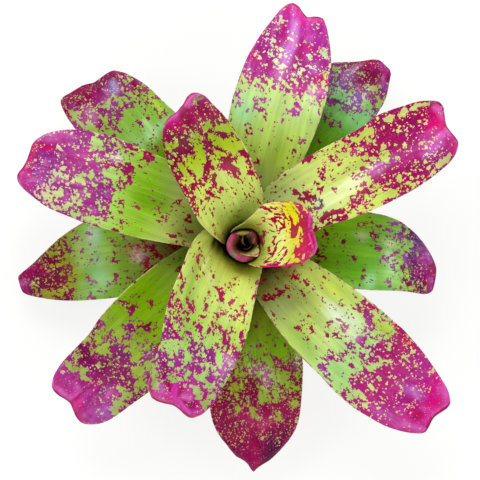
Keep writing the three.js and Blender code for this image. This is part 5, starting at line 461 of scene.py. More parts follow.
        tone=[(120.3, -38.5, 114.6, -35.4, 2.4, 0.6, (170, 184, 20)), (127.6, -36.3, 124.4, -30.6, 1.6, 0.5, (176, 170, 44)), (121, -30, 116, -26.7, 1.92, 0.6, (230, 222, 216)), (160.8, -34.4, 139.9, -34.4, 1.6, 0.35, (176, 40, 120)), (94.5, -17.5, 73.8, 3.4, 6.4, 0.35, (112, 168, 10)), (104.8, -3.8, 93.1, 5.6, 4.8, 0.3, (152, 196, 72)), (59.3, 17.9, 45.5, 17.3, 4, 0.3, (188, 196, 100)), (111.7, -36.3, 92.7, -36.5, 1.6, 0.6, (152, 0, 34)), (125.7, -18.6, 116, -18.4, 2.4, 0.5, (168, 0, 74)), (118.3, 0.6, 113.3, 5.7, 2.08, 0.5, (142, 70, 142)), (54.5, -3.4, 47.5, 1.5, 1.92, 0.6, (112, 0, 12)), (69.5, 3.5, 65.5, 5.3, 1.6, 0.6, (132, 10, 50)), (111.1, -18.4, 101.8, -14.9, 2.08, 0.4, (150, 20, 60)), (65.9, -6.6, 61.6, -11.9, 1.44, 0.5, (120, 10, 20)), (91.8, -0, 71.3, -3.5, 6.4, 0.4, (84, 128, 0)), (184.5, -20.4, 170.7, -20.8, 3.2, 0.85, (200, 0, 92)), (185, -18.6, 184.5, -12.8, 1.92, 0.75, (190, 0, 96)), (181.1, -28, 165.7, -34.2, 2.24, 0.55, (210, 130, 194)), (173.7, -26.8, 164.4, -29.4, 2.24, 0.4, (206, 110, 176)), (163.9, -33.8, 155.8, -33.8, 2.24, 0.4, (190, 110, 190)), (185.9, -11, 191.2, 0.4, 1.2, 0.85, (196, 0, 100)), (192.5, 0.8, 193.6, 7.4, 0.96, 0.85, (170, 0, 90)), (173.1, -12.9, 163.6, -12.2, 4.8, 0.65, (142, 56, 142)), (174, -5.3, 165.4, -5.3, 3.2, 0.4, (150, 66, 150)), (187.1, -8.3, 187.1, 1.6, 2.56, 0.5, (210, 50, 160)), (187.5, 6.7, 177.3, 11.7, 3.2, 0.4, (190, 66, 164)), (178.2, 0.3, 167.5, 8.3, 3.2, 0.5, (160, 90, 180)), (177, 5.1, 166.7, 11.4, 0.72, 0.35, (232, 140, 190)), (191.9, 8.9, 188.2, 13.3, 0.96, 0.5, (220, 130, 200))],
    ),
    "leaf_06": dict(
        lean=[(43.6, -14.5, 49.1, -11.5, 1.04, 1.15), (47.6, -5.5, 50.8, 1.1, 0.96, 1.15), (45.3, 2.7, 52, 4.4, 0.72, 1.15), (39.7, 11.8, 45.2, 11.3, 0.64, 1.15), (40.9, 18.7, 47.1, 17.3, 0.56, 1.15), (46.2, 25.6, 50.6, 24.5, 0.48, 1.15), (50.9, 13.1, 54, 14.3, 0.72, 1.15), (59, 11, 63.8, 9.4, 0.64, 1.15), (64.6, 19.2, 66.6, 20.2, 0.56, 1.15), (67.1, 25.1, 70.9, 23.8, 0.48, 1.15), (71.9, -2.8, 75, -0.9, 0.64, 1.15), (77.4, -13.9, 81.1, -11.4, 1.52, 1.15), (84.9, -2.6, 90.8, -5.4, 0.72, 1.15), (89.5, -12.6, 91.5, -12.8, 0.64, 1.15), (99.4, -12.4, 101.3, -12.6, 0.72, 1.15), (99.3, -5, 100.8, -4.2, 0.64, 1.15), (80.8, 3.5, 83.6, 3.1, 0.48, 1.15), (92.3, 9.3, 94.6, 10.1, 0.72, 1.15), (101.5, 6.4, 107.5, 7.1, 0.8, 1.15), (101.8, 17.3, 106.4, 17.3, 1.12, 1.15), (115.2, 6.7, 119.5, 7.4, 1.28, 1.15), (115, 11, 113.9, 14.4, 0.72, 1.15), (117.8, 16.9, 123, 15, 0.88, 1.15), (87.7, 26.8, 91.1, 27.4, 0.72, 1.15), (88.4, 31.6, 88.9, 33.7, 0.56, 1.15), (76.2, 29.7, 79.4, 28.7, 0.48, 1.15), (77.2, 38.9, 79.9, 39.4, 0.48, 1.15), (59.4, 35.6, 62.3, 36.5, 0.48, 1.15), (113.4, -9.3, 119.1, 0.9, 1.68, 1.15), (115.3, -3.2, 119.1, -3.9, 1.44, 1.15), (110.7, -20.8, 114.9, -14.5, 1.68, 1.15), (114.2, -20.6, 120, -22.5, 1.44, 1.15), (112.8, -13.3, 112.8, -9.9, 0.96, 1.15), (99.4, 41.5, 116, 44.1, 1.28, 1.15), (104.9, 38.7, 114.1, 35.7, 1.36, 1.15), (113.5, 37.4, 122, 36.1, 1.04, 1.15), (100.6, 32.7, 105, 33.1, 0.72, 1.15), (88.1, 39.4, 93.5, 39.2, 0.64, 1.15), (116.2, 24.2, 118.6, 30.2, 0.64, 1.15), (133.8, -22, 137, -21.7, 1.04, 1.15), (132.6, -10.8, 138.1, -12.4, 1.12, 1.15), (126.7, -7.6, 129.9, -5.2, 0.64, 1.15), (133.6, 22, 150.4, 28.5, 2.72, 1.15), (129.8, 9.4, 138.7, 9.1, 1.92, 1.15), (140.9, -5.8, 155.9, -4.1, 3.68, 1.15), (140.8, 33.9, 158.9, 34.4, 2.72, 1.15), (136.6, 45.5, 156.3, 42.7, 2.4, 1.15), (38.4, -4.9, 40.5, -0.6, 0.64, 1.15), (53.3, -0.1, 56.1, -0.4, 0.56, 1.15), (53.8, -11.6, 57.4, -10.7, 0.48, 1.15), (56, -19, 61.1, -19.6, 0.48, 1.15), (67.1, -15.1, 69.1, -15, 0.56, 1.15), (118.6, -11.5, 126.6, -6.2, 2.07, -1), (123.5, -17, 133.9, -16, 2.42, -1), (140.2, -23.7, 144.4, -21.5, 0.86, -1), (131.6, -6.4, 136.2, -7.7, 1.56, -1), (145.9, -22.3, 150.2, -22.8, 1.61, -1), (150, -14.8, 152.8, -14.6, 1.09, -1), (154.8, -21.1, 157, -21.5, 0.98, -1), (140.8, 16.6, 147.8, 17.4, 1.21, -1), (150.3, 18.2, 156.6, 18.6, 0.98, -1), (134.7, 13.6, 136.7, 13.8, 1.04, -1), (137.6, 5.5, 141.3, 4.9, 1.09, -1), (126.6, 10.5, 130.1, 11.5, 1.15, -1), (117.7, 36.8, 125.1, 35.4, 1.38, -1), (124.7, 40.5, 132.2, 37.9, 1.61, -1), (134.6, 39.7, 139.2, 40.5, 0.92, -1), (156.8, 28.9, 163.8, 28.5, 1.27, -1), (152.5, 39.5, 153.8, 39.4, 0.81, -1), (169.7, 8.6, 175, 7.1, 0.86, -1), (168.8, 30.7, 173.2, 29.4, 0.75, -1), (100.4, 27.5, 106.3, 28.6, 1.96, -1), (103, -4.1, 113.1, -0.9, 2.88, -1)],
        # the dark strokes at its base, s 25 to 43, are painted shade under the leaves above
        tone=[(42.3, -13.5, 46.2, 25.6, 12.8, 0.5, (150, 0, 40)), (25.1, -2.1, 32.5, 4.4, 4.4, 0.85, (46, 38, 8)), (30.5, -6.3, 38.6, -6, 3.6, 0.7, (76, 64, 18)), (33.1, 5.1, 42.5, 11.7, 3.2, 0.5, (104, 92, 34)), (25.1, -2.1, 35.8, 3.6, 4.8, 0.7, (62, 0, 16)), (74.9, -14, 83.3, -11.3, 3.2, 0.5, (160, 0, 60)), (113.4, -9.3, 119.1, 0.9, 2.4, 0.6, (164, 52, 130)), (110.4, -21.1, 120, -22.5, 2.4, 0.6, (150, 80, 160)), (104.8, 43.1, 132.5, 42.3, 4, 0.5, (196, 30, 76)), (135.2, 44.4, 160, 41.1, 4, 0.6, (176, 0, 74)), (134.8, 20.8, 152.6, 26, 4, 0.4, (150, 40, 110)), (115.9, 35.1, 131, 39, 4, 0.5, (196, 208, 40)), (119.3, -12.3, 133.3, -16.5, 5.6, 0.45, (160, 216, 130)), (56.9, 21.3, 77.8, 24.7, 8, 0.4, (212, 224, 84)), (86.7, 22.7, 112.3, 20.6, 7.2, 0.3, (206, 232, 170)), (40.5, -0.6, 63.7, 4.7, 8, 0.35, (150, 160, 84)), (78, -12.7, 99.7, -16.6, 6.4, 0.45, (118, 180, 46)), (196.1, 8.6, 205.5, 11.3, 2.88, 0.8, (220, 0, 118)), (201.3, 8.4, 205.8, 4.6, 2.24, 0.6, (232, 20, 150)), (195.5, -6.1, 198.4, -2.7, 3.36, 0.8, (156, 0, 72)), (187.1, -3.2, 191.7, -4.4, 2.4, 0.4, (180, 20, 110)), (179.3, 12.6, 188.8, 7.6, 0.96, 0.45, (244, 196, 230)), (186.8, 12.2, 194, 10.4, 3.2, 0.5, (176, 80, 180)), (197.3, 2.4, 207.2, -0.6, 2.56, 0.65, (226, 50, 172)), (206.3, 0.9, 207.3, 5.3, 1.44, 0.7, (240, 40, 160)), (208.1, 22.6, 215.4, 14.3, 2.32, 0.65, (226, 84, 192)), (197.8, 31.5, 208.1, 24.4, 1.2, 0.5, (204, 112, 202)), (206.4, 27.2, 217.2, 17, 0.72, 0.6, (176, 40, 150)), (217.1, 14.9, 212.2, 7.4, 1.12, 0.9, (150, 0, 70)), (210.8, 4.8, 209.6, -1.5, 1.04, 0.9, (140, 0, 80)), (191.1, -16.1, 204, -12.9, 2.56, 0.8, (224, 112, 192)), (207.8, -9.4, 207.8, -5.7, 1.76, 0.7, (210, 10, 110)), (208, -2.1, 209.5, -12.4, 0.88, 0.9, (130, 0, 66)), (191.5, -22.6, 202.3, -19, 0.88, 0.85, (180, 20, 110)), (202.4, 16.4, 203.9, 20.8, 2.88, 0.4, (194, 50, 150))],
    ),
    "leaf_07": dict(
        lean=[(114.3, 19.7, 107.3, 15.2, 1.2, 1.15), (108.9, 15.6, 106.9, 10.9, 0.96, 1.15), (108.2, 12.1, 104.7, 7, 1.28, 1.15), (104.4, 7.8, 100.1, 5.7, 0.64, 1.15), (115.8, 8.4, 109.6, 6.7, 0.4, 1.15), (92, 21.1, 93.7, 17.4, 0.88, 1.15), (90.7, 19.9, 85.6, 17.8, 1.36, 1.15), (85.3, 16, 87.5, 13.3, 0.56, 1.15), (90.5, 8.2, 94.3, 5.9, 0.72, 1.15), (114.8, 34.8, 109.7, 30, 0.64, 1.15), (109, 29.8, 107.6, 26.1, 0.64, 1.15), (97.4, 34.1, 92.7, 33.7, 0.64, 1.15), (111.2, -11.2, 116.1, -16.5, 1.84, 1.15), (118.8, -14.1, 116.3, -17.3, 1.76, 1.15), (127.3, -5.1, 132.2, -10.3, 1.44, 1.15), (131, -9, 135, -13.7, 1.92, 1.15), (130.3, -12.5, 133.1, -15.9, 1.6, 1.15), (126.7, -11.9, 129.2, -14.5, 1.04, 1.15), (99.4, -1.1, 102.5, -6.9, 0.48, 1.15), (106.5, -5.9, 102, -7.9, 0.4, 1.15), (93.4, -23.4, 89.3, -26.9, 0.56, 1.15), (89.1, -26.1, 89.8, -29.2, 0.64, 1.15), (68.4, 5.2, 64.9, 2.7, 1.36, 1.15), (65, -15.8, 62.7, -18.1, 1.04, 1.15), (76.6, 20.4, 76.1, 18.6, 1.04, 1.15), (72.1, 20.1, 71.4, 15, 0.96, 1.15), (83, -1.2, 80.8, -2.5, 0.4, 1.15), (80.4, -7.6, 77.6, -9.2, 0.4, 1.15), (115.3, -4.3, 118, -5.2, 0.64, 1.15), (113.3, -6.5, 112.8, -7.5, 0.56, 1.15), (112.8, -1.6, 109.9, -3.3, 0.4, 1.15), (128.6, -29.8, 122.5, -33.1, 0.72, 1.15), (119.1, -33.2, 115, -34.3, 0.48, 1.15), (130.7, -19.2, 128.8, -24.7, 1.2, 1.15), (141.3, 34.6, 134.4, 18.9, 3.2, 1.15), (156, 26, 152.3, 6, 2.88, 1.15), (150.5, -20.1, 142.8, -29.2, 2.4, 1.15), (192, 16.8, 182.1, 4.2, 5.2, 2.1), (181.1, 2.1, 173.5, -7.5, 4, 2.1), (187.5, -9.5, 177.1, -16.7, 4, 2.1), (159.1, 27.1, 167.5, 23.2, 3.2, 2.1), (174.6, 13.7, 161, 6.3, 2.72, 2.1), (166.9, -4.6, 156, -9.9, 2.72, 2.1), (143.8, 32.1, 138, 23.4, 3.2, 2.1), (160.9, -18.5, 155.3, -23.7, 2.4, 2.1), (139.4, 18.8, 135.8, 14.3, 2.4, 2.1), (181.8, 19, 180, 16.5, 0.86, -1), (178.1, 21.9, 178.1, 19.3, 0.75, -1), (162.8, 18.9, 161.7, 16.8, 1.15, -1), (151.8, 17.7, 150.7, 15.7, 1.15, -1), (158.3, 11.4, 157.2, 9.3, 0.98, -1), (146.6, 12.6, 145.8, 9.8, 1.27, -1), (145, 7, 145, 4.5, 1.15, -1), (130.6, 11.9, 129.8, 9.1, 1.38, -1), (134.1, 17.1, 132.8, 15.9, 0.81, -1), (128.4, 22.1, 126.7, 16.6, 1.27, -1), (126.5, 28.3, 122.5, 25.4, 0.86, -1), (129.3, 35.5, 125.6, 31.4, 0.86, -1), (136.8, -5.6, 135.1, -11.1, 1.38, -1), (133.4, 0.1, 130.1, -5.9, 1.15, -1), (139.3, -13.3, 137.9, -14.5, 0.86, -1), (170.8, -22.2, 169.8, -24.3, 1.27, -1), (165.2, -24.9, 165.1, -26.7, 1.04, -1), (159.8, -12.9, 159.8, -15.5, 1.15, -1), (152.4, -15.2, 151.3, -17.3, 0.98, -1), (171, -5.8, 170.5, -6.8, 0.75, -1), (172.4, -9.6, 171, -10.9, 0.63, -1), (160.9, -8.3, 160.7, -10.1, 0.63, -1), (151.8, -29, 150.4, -30.3, 1.04, -1), (138.6, -21.9, 136.3, -25.9, 1.27, -1), (149, -10.4, 147.9, -12.4, 0.86, -1), (155.6, -3.2, 155, -4.2, 0.63, -1), (167.2, -2.8, 166.7, -3.8, 0.52, -1), (169.3, 8.3, 168.9, 4.7, 0.81, -1), (174.8, 5.9, 173.4, 2.8, 0.63, -1), (121.2, 35, 119.1, 31.1, 1.15, -1), (113.6, 27.8, 118.4, 22.5, 2.19, -1), (122.4, 8.6, 122.5, -3.1, 2.65, -1), (123.4, -21.2, 119.1, -27.4, 2.19, -1), (112.5, 14.2, 111.1, 10.4, 0.92, -1)],
        tone=[(105.9, 32.3, 99.4, 20.5, 4, 0.4, (166, 226, 152)), (124.2, -21, 116.8, -31.3, 3.2, 0.35, (222, 240, 182)), (91.4, 20.1, 85.8, 17, 1.92, 0.6, (152, 0, 52)), (107.6, 11.1, 101.6, 6.1, 1.92, 0.6, (172, 10, 62)), (114.3, 19.7, 108.3, 14.6, 1.76, 0.6, (192, 72, 152)), (112, -11, 116.1, -16.5, 2.4, 0.6, (208, 90, 180)), (128.5, -6.4, 132.9, -15.2, 2.72, 0.55, (202, 60, 150)), (67.7, 5, 65.1, 1.9, 1.92, 0.6, (132, 0, 32)), (146.2, -23.1, 144.2, -33, 2.72, 0.6, (222, 20, 92)), (151.8, -29, 150.4, -30.3, 1.6, 0.7, (212, 202, 30)), (150.1, 33.5, 143.6, 26.9, 3.2, 0.45, (208, 30, 92)), (166.9, -4.6, 166.4, -13.3, 2.8, 0.45, (212, 20, 102)), (134.8, -23.9, 133.5, -34.2, 2.56, 0.55, (242, 162, 202)), (138, 34.4, 131.6, 28.1, 1.92, 0.4, (160, 72, 172)), (151.6, -18, 147.8, -22.6, 2.4, 0.4, (198, 112, 202)), (132.5, 16.7, 132.1, 9.8, 2.56, 0.45, (142, 32, 112)), (159.1, 31.5, 137.3, 35, 1.28, 0.35, (212, 112, 192)), (91.6, -19.7, 70.5, -18.5, 6.4, 0.5, (214, 238, 98)), (74.7, 2.6, 102.8, 1.5, 6.4, 0.3, (216, 242, 116)), (196.5, 11.4, 186.4, 3.1, 3.6, 0.6, (232, 50, 160)), (192.8, 4.6, 185.5, 1, 2.4, 0.7, (230, 30, 146)), (191.9, 12.3, 183, 6.3, 2.4, 0.5, (206, 110, 190)), (182.7, 7.1, 164.4, 2.3, 3.2, 0.75, (228, 164, 224)), (163.5, 4.6, 151.5, 3.2, 3.2, 0.75, (212, 150, 224)), (188.1, 17, 193.7, 17.4, 2.4, 0.4, (180, 40, 130)), (181.1, 16.1, 166.8, 10, 2.4, 0.55, (186, 20, 104)), (173.7, 21.1, 161.7, 11.7, 4, 0.4, (160, 50, 120)), (168.6, -4, 155, -6.8, 2.56, 0.65, (170, 16, 104)), (184.1, -0.4, 171.6, -2.2, 1.76, 0.45, (190, 40, 140)), (187.9, -10.3, 180.2, -10.4, 3.6, 0.55, (160, 60, 152)), (189.3, -3.7, 174.6, -10.6, 2.08, 0.35, (204, 70, 176)), (199.1, 11.1, 193.9, 2.3, 0.72, 0.8, (150, 0, 90)), (193, -0.3, 196.5, -8.2, 0.64, 0.7, (150, 0, 100)), (192.7, 21, 176.2, 24.6, 0.96, 0.5, (200, 110, 196))],
    ),
    "leaf_08": dict(
        lean=[(107, -31.7, 101.8, -23.6, 1.04, 1.15), (104.1, -23.5, 100.5, -17.9, 0.96, 1.15), (90.9, -17.8, 89, -13.9, 0.56, 1.15), (130.5, -33.6, 131.8, -29.2, 1.84, 1.15), (136, -30.8, 140, -27.8, 1.28, 1.15), (117.4, -16, 113.7, -8.2, 1.36, 1.15), (112.6, -9.4, 102.1, -1.8, 0.88, 1.15), (124.7, -10.6, 120, -6.2, 1.28, 1.15), (118.2, -35.3, 118.2, -34.3, 0.64, 1.15), (124.7, -24.9, 126.3, -21.9, 0.56, 1.15), (142, -18.5, 130.6, -11.5, 0.8, 1.15), (154.6, -25.6, 157.3, -16.9, 3.2, 1.15), (156.7, -29.9, 154.5, -24.4, 1.76, 1.15), (152.8, -14.4, 141.8, -4.4, 2.4, 1.15), (152.2, -7.8, 128.9, 3.3, 3.04, 1.15), (134.3, -6.4, 131.9, -0.5, 2.24, 1.15), (136.1, 11.1, 147.7, 16.2, 2.88, 1.15), (119.2, 0.1, 119.1, 2.4, 0.8, 1.15), (119.8, 12.7, 116.1, 16, 1.36, 1.15), (127, 13.3, 125.3, 18.7, 1.04, 1.15), (151.2, 4.2, 148.7, 19.6, 3.52, 1.15), (91.8, -12.1, 91.7, -9.8, 0.64, 1.15), (101.3, -9.9, 100, -6.5, 0.64, 1.15), (160.3, -28.3, 161.8, -23.1, 1.38, -1), (173.5, -24.5, 170.7, -17.6, 2.3, -1), (169.3, -14.2, 170.4, -10.7, 0.86, -1), (147.6, -22.6, 152.5, -17, 1.38, -1), (145.4, -15, 140.1, -6.2, 1.61, -1), (128.7, -8.7, 121.5, 0.2, 1.96, -1), (127.1, 3.8, 125.7, 9.5, 1.73, -1), (130.7, 14.9, 130.9, 22.3, 1.67, -1), (124.2, 17.5, 128.5, 24.5, 1.38, -1), (153.4, 22.1, 155.9, 28.9, 1.44, -1), (146.8, 29.1, 146.5, 30.5, 1.09, -1), (163, 27.1, 159.3, 34.9, 1.04, -1), (170.4, 25.1, 171.6, 28.7, 0.75, -1), (152.3, -10.1, 152.8, -7.2, 0.63, -1), (162.8, 2.9, 163.3, 4.7, 0.69, -1), (169.1, -5, 169, -0.4, 0.63, -1), (140.2, -1.4, 139.5, 1.5, 0.69, -1), (140.3, 22.7, 137.6, 29.5, 0.81, -1), (124.8, -27.1, 126.7, -15.6, 2.53, -1), (103.8, -16.6, 101.2, -7.6, 2.53, -1), (122.8, -34.8, 110.3, -36, 2.88, -1)],
        tone=[(154, -26.2, 158.4, -14.5, 3.6, 0.55, (106, 8, 66)), (134.5, -6.2, 133, 1.8, 2.88, 0.5, (126, 54, 124)), (145, -3.5, 124, 7.7, 3.2, 0.35, (124, 30, 104)), (130.3, -33.7, 140, -27.8, 2.4, 0.6, (100, 0, 40)), (118.5, -14.8, 102.1, -1.8, 2.4, 0.5, (124, 0, 50)), (106.6, -31.3, 100.5, -17.9, 2.4, 0.6, (114, 0, 42)), (186.4, 17, 176.7, 28.9, 4, 0.4, (182, 130, 204)), (119.8, 12.7, 116.1, 16, 2.08, 0.5, (164, 84, 174)), (120.2, -27.3, 133.9, -22.2, 4.8, 0.3, (92, 142, 0)), (173.7, -26.9, 170.7, -17.6, 4, 0.4, (142, 176, 60)), (192.3, -24.5, 197.5, -18.3, 1.12, 0.6, (200, 124, 204)), (198.2, -13.9, 196.7, -1.7, 1.04, 0.85, (150, 0, 80)), (194.7, -17.2, 191.9, -5.2, 1.76, 0.85, (236, 116, 202)), (191.7, -3.2, 186.5, -2.2, 1.92, 0.85, (240, 110, 204)), (188.3, -19.6, 186.5, -11.5, 4, 0.5, (150, 56, 110)), (180.2, -8.1, 181.4, -2.3, 2.24, 0.6, (208, 100, 178)), (187.7, -3.3, 180.8, -4.1, 1.84, 0.6, (222, 90, 182)), (194.6, 0.4, 183.9, 0.1, 0.72, 0.75, (170, 0, 90)), (183.9, 0.1, 171.4, 2, 0.64, 0.65, (150, 10, 80)), (177.7, -3.6, 166.6, -2.7, 1.6, 0.5, (204, 50, 120)), (191.5, 2.6, 192.2, 13.2, 2.88, 0.5, (210, 50, 156)), (180.9, 7, 179.4, 15, 4, 0.45, (156, 60, 140)), (193.5, 14.4, 192.1, 22.5, 2.4, 0.55, (164, 112, 194)), (179.3, 24.3, 174.2, 24.1, 2.56, 0.6, (200, 122, 204)), (196.8, 1.1, 201.4, 14.9, 0.88, 0.85, (160, 0, 100)), (201.4, 17.2, 197.1, 23.6, 0.96, 0.7, (196, 122, 212)), (195.1, 25, 183.8, 31, 0.8, 0.5, (204, 90, 190)), (167.6, 3.1, 161.6, 1.7, 2.4, 0.4, (200, 40, 110))],
    ),
    "leaf_09": dict(
        lean=[(61.1, -1.1, 62.5, -5.9, 1.06, 1.15), (61.7, -6, 65.7, -6.4, 0.69, 1.15), (59.8, -9.5, 63.3, -11.6, 0.75, 1.15), (67.4, -17, 70.6, -17.5, 0.56, 1.15), (66.7, 14.3, 68.3, 12.8, 0.75, 1.15), (63.7, 9.1, 64.5, 8.3, 0.75, 1.15), (67.6, 8.6, 68.5, 7.9, 0.5, 1.15), (80.4, 15.7, 81.5, 12.5, 0.56, 1.15), (80.3, 9.1, 82.6, 9.4, 0.5, 1.15), (72, 14.8, 72.9, 13.3, 0.44, 1.15), (72.8, 4.2, 73.9, 1, 0.44, 1.15), (92.3, -4.3, 93.2, -5, 1.06, 1.15), (98.2, -18.4, 100.7, -18.1, 0.62, 1.15), (89.9, 22.6, 92.4, 22, 0.69, 1.15), (94.4, 24.8, 96, 25, 0.56, 1.15), (100.1, 18.1, 104.2, 12.1, 1, 1.15), (101.9, 16.7, 106.7, 17.4, 0.69, 1.15), (96.1, 29.9, 103.2, 30.8, 0.44, 1.15), (99.8, 26.3, 112.6, 21.5, 0.5, 1.15), (112.3, 23.1, 115.2, 20.3, 0.69, 1.15), (118.2, 27.3, 120.7, 27.8, 0.87, 1.15), (125.2, 25.2, 127.1, 23.9, 1.28, 1.15), (122.8, 19, 126.4, 17.9, 1.36, 1.15), (119.3, 15.1, 122.2, 13.1, 0.56, 1.15), (125.4, 13.6, 127.6, 10.7, 0.72, 1.15), (105.8, 5.7, 109.9, 6.3, 1, 1.15), (116.6, 11.4, 118.5, 10, 0.94, 1.15), (118.9, 2.6, 120.8, 1.3, 0.56, 1.15), (112.7, -1.6, 117.7, -0.9, 1.06, 1.15), (113.1, -4.8, 114.8, -4.6, 0.81, 1.15), (118.4, -5.7, 126.1, -11.2, 0.75, 1.15), (128.8, -5.8, 133.6, -13.3, 1.12, 1.15), (132.4, -16.8, 138.6, -20.8, 1.36, 1.15), (118, -19.8, 122.5, -20.8, 0.87, 1.15), (110, -12.7, 111, -13.4, 0.44, 1.15), (130.5, 4.5, 135.1, -1.4, 1.92, 1.15), (136.1, 15.5, 144.2, 5.3, 2.88, 1.15), (140.5, -12.1, 153.2, -19.1, 2.88, 1.15), (138.8, -2.4, 150.1, -5.4, 4, 1.15), (128.4, 15.8, 134.2, 11.8, 1.16, -1), (133.9, -4.9, 137.7, -16, 1.09, -1), (135.6, -23.8, 143.3, -20.9, 1.29, -1), (125.2, 0.3, 127.5, -3.5, 1.02, -1), (126.6, -14.4, 128.9, -22.3, 2.04, -1), (79, -9.1, 88, -16.3, 4.76, -1), (95.2, -7.2, 107.2, -10.6, 3.4, -1), (85.6, 4.8, 97.2, 2.9, 2.72, -1), (79.1, 23.7, 85.4, 21.2, 2.04, -1)],
        tone=[(95, 13.3, 96.1, 11, 1.76, 0.5, (172, 152, 142)), (116.6, 11.4, 118.6, 9.2, 1.6, 0.55, (182, 112, 132)), (103.3, 18.5, 105.8, 12.3, 2.4, 0.6, (112, 0, 32)), (61.1, -1.1, 64.3, -7.4, 2.4, 0.6, (112, 0, 22)), (112.7, -1.6, 119.8, -3.9, 2.4, 0.6, (142, 82, 152)), (130.1, 6.1, 135.1, -1.4, 2.4, 0.5, (142, 72, 142)), (128.8, -5.8, 138.3, -19.2, 2.4, 0.45, (132, 22, 62)), (95.9, 25.8, 114.4, 20.1, 1.6, 0.5, (112, 10, 12)), (118.6, 4.2, 127.7, 0.7, 1.6, 0.5, (142, 142, 32)), (132.4, -6.8, 140.8, -22.1, 1.92, 0.35, (172, 212, 62)), (103, -22.7, 107.4, -23.8, 2.08, 0.5, (152, 212, 152)), (89, -26, 101.1, -27.9, 1.6, 0.35, (122, 192, 112)), (76, 3.7, 97.6, -0.3, 6.4, 0.35, (142, 198, 56)), (117.2, 2.4, 122, -6.8, 4, 0.5, (204, 216, 196)), (134.7, 13.6, 139.1, 4.4, 4, 0.75, (92, 60, 110)), (136.8, -1.1, 140.2, -10.5, 2.8, 0.6, (100, 44, 96)), (129.6, 4.3, 131.7, -2, 1.76, 0.8, (152, 88, 162)), (144.7, -14.8, 150.2, -22.2, 3.2, 0.6, (84, 30, 74)), (147.8, 9.4, 154.3, 2.2, 1.84, 0.6, (152, 86, 162)), (150.1, 7.3, 152.7, 4.4, 1.28, 0.5, (180, 122, 192)), (142.9, 3.4, 150.1, -5.4, 3.2, 0.5, (162, 56, 130)), (149.2, -0.5, 151.6, -3.4, 1.76, 0.3, (192, 110, 170)), (156.9, -0.7, 160.4, -8.4, 2.24, 0.8, (160, 0, 86)), (154.9, -6.1, 155.5, -12.8, 2.4, 0.5, (142, 20, 90)), (156, -11, 160.2, -18.7, 1.76, 0.6, (180, 66, 142)), (161.6, -13.3, 162.1, -19.9, 0.88, 0.6, (172, 0, 90)), (156.2, -22.9, 150.6, -23.8, 1.6, 0.5, (110, 50, 110)), (142.5, 13.4, 146.9, 9.2, 2.4, 0.5, (110, 40, 90))],
    ),
    "leaf_10": dict(
        lean=[(189.7, 28.3, 179.5, 13.8, 2.88, 1.15), (168.8, 15.5, 157.1, 9.6, 3.52, 1.15), (176.8, 15.8, 166.5, 2.3, 2.24, 1.15), (157.3, 7.3, 147.5, 2.4, 2.72, 1.15), (157.1, 18.5, 150.5, 17.3, 1.92, 1.15), (148.6, 10.1, 141.5, 9.6, 1.6, 1.15), (140.3, 10.7, 135.7, 8.1, 0.72, 1.15), (144.4, 20.3, 138.7, 16.4, 0.72, 1.15), (158, -13.8, 152.4, -14.8, 1.36, 1.15), (149.8, -12.6, 146.7, -12.2, 1.44, 1.15), (150.7, -9, 147.7, -8.7, 1.04, 1.15), (162.9, -25.1, 156.4, -24.5, 2.16, 1.15), (171, -22.7, 164, -23.9, 1.04, 1.15), (158.4, -30.2, 154.4, -29.3, 0.54, 1.15), (146.8, -29.8, 145.9, -33.3, 0.54, 1.15), (127.3, -25.5, 123, -24, 0.96, 1.15), (125.7, -29.7, 123.2, -29.8, 0.66, 1.15), (120.3, -17.1, 119.1, -17.2, 0.48, 1.15), (133.7, -8.2, 128.8, -6.9, 1.32, 1.15), (130.7, -20.7, 128.8, -19.1, 0.48, 1.15), (129.3, -16.2, 128, -15.1, 0.54, 1.15), (112.8, -4.6, 105.8, -3.7, 0.9, 1.15), (106.9, -3.7, 103.4, -2.6, 0.66, 1.15), (111.4, 2.3, 109.1, 1, 0.66, 1.15), (121.1, 6.7, 118.8, 6.6, 0.88, 1.15), (119, 2, 117.9, 0.8, 0.54, 1.15), (135.9, -33.8, 135.7, -31.6, 0.54, 1.15), (151.4, -17.2, 146.4, -16.4, 0.72, 1.15), (163.3, -10.4, 158.4, -12, 0.8, 1.15), (178.2, -17.3, 171.3, -19.7, 1.6, 1.15), (175.9, -2.7, 163.3, -10.4, 2.4, 1.15), (178, 22.5, 168.2, 22.5, 1.36, 1.15), (166.9, 23.6, 159.8, 21.7, 1.36, 1.15), (186.3, 28.4, 182.5, 26.7, 1.28, 1.15), (158.1, -8.5, 153, -6.5, 1.84, -1), (163.7, -0.9, 161.8, -0.5, 1.16, -1), (167, 8.2, 163.9, 8.5, 1.02, -1), (162.1, 2.5, 160.2, 2.9, 0.95, -1), (168.2, -20.6, 165.1, -21.4, 1.29, -1), (153.1, -22.9, 151.2, -22.5, 1.16, -1), (176.7, 30.1, 171.2, 30, 1.16, -1), (182.1, 31.4, 177.9, 30.2, 0.88, -1), (165.7, 29.9, 161, 29.4, 1.36, -1), (156.6, 24.3, 150.8, 22.6, 1.36, -1), (147.6, 16.5, 142.8, 17.3, 1.77, -1), (152.7, 12.2, 149.6, 13.7, 1.16, -1), (157.5, 12.6, 155.6, 13, 0.82, -1), (150.8, 6.2, 148.9, 6.6, 0.68, -1), (146.2, -5.3, 139.4, -12.7, 2.99, -1), (142.7, 2.1, 133.9, 1, 3.13, -1), (142.5, -30.6, 133.6, -28.7, 2.45, -1), (146.7, -21, 136.6, -18.1, 2.58, -1), (172.7, 26.6, 170.4, 25.1, 0.82, -1), (153.4, -11.7, 151, -12.5, 0.82, -1)],
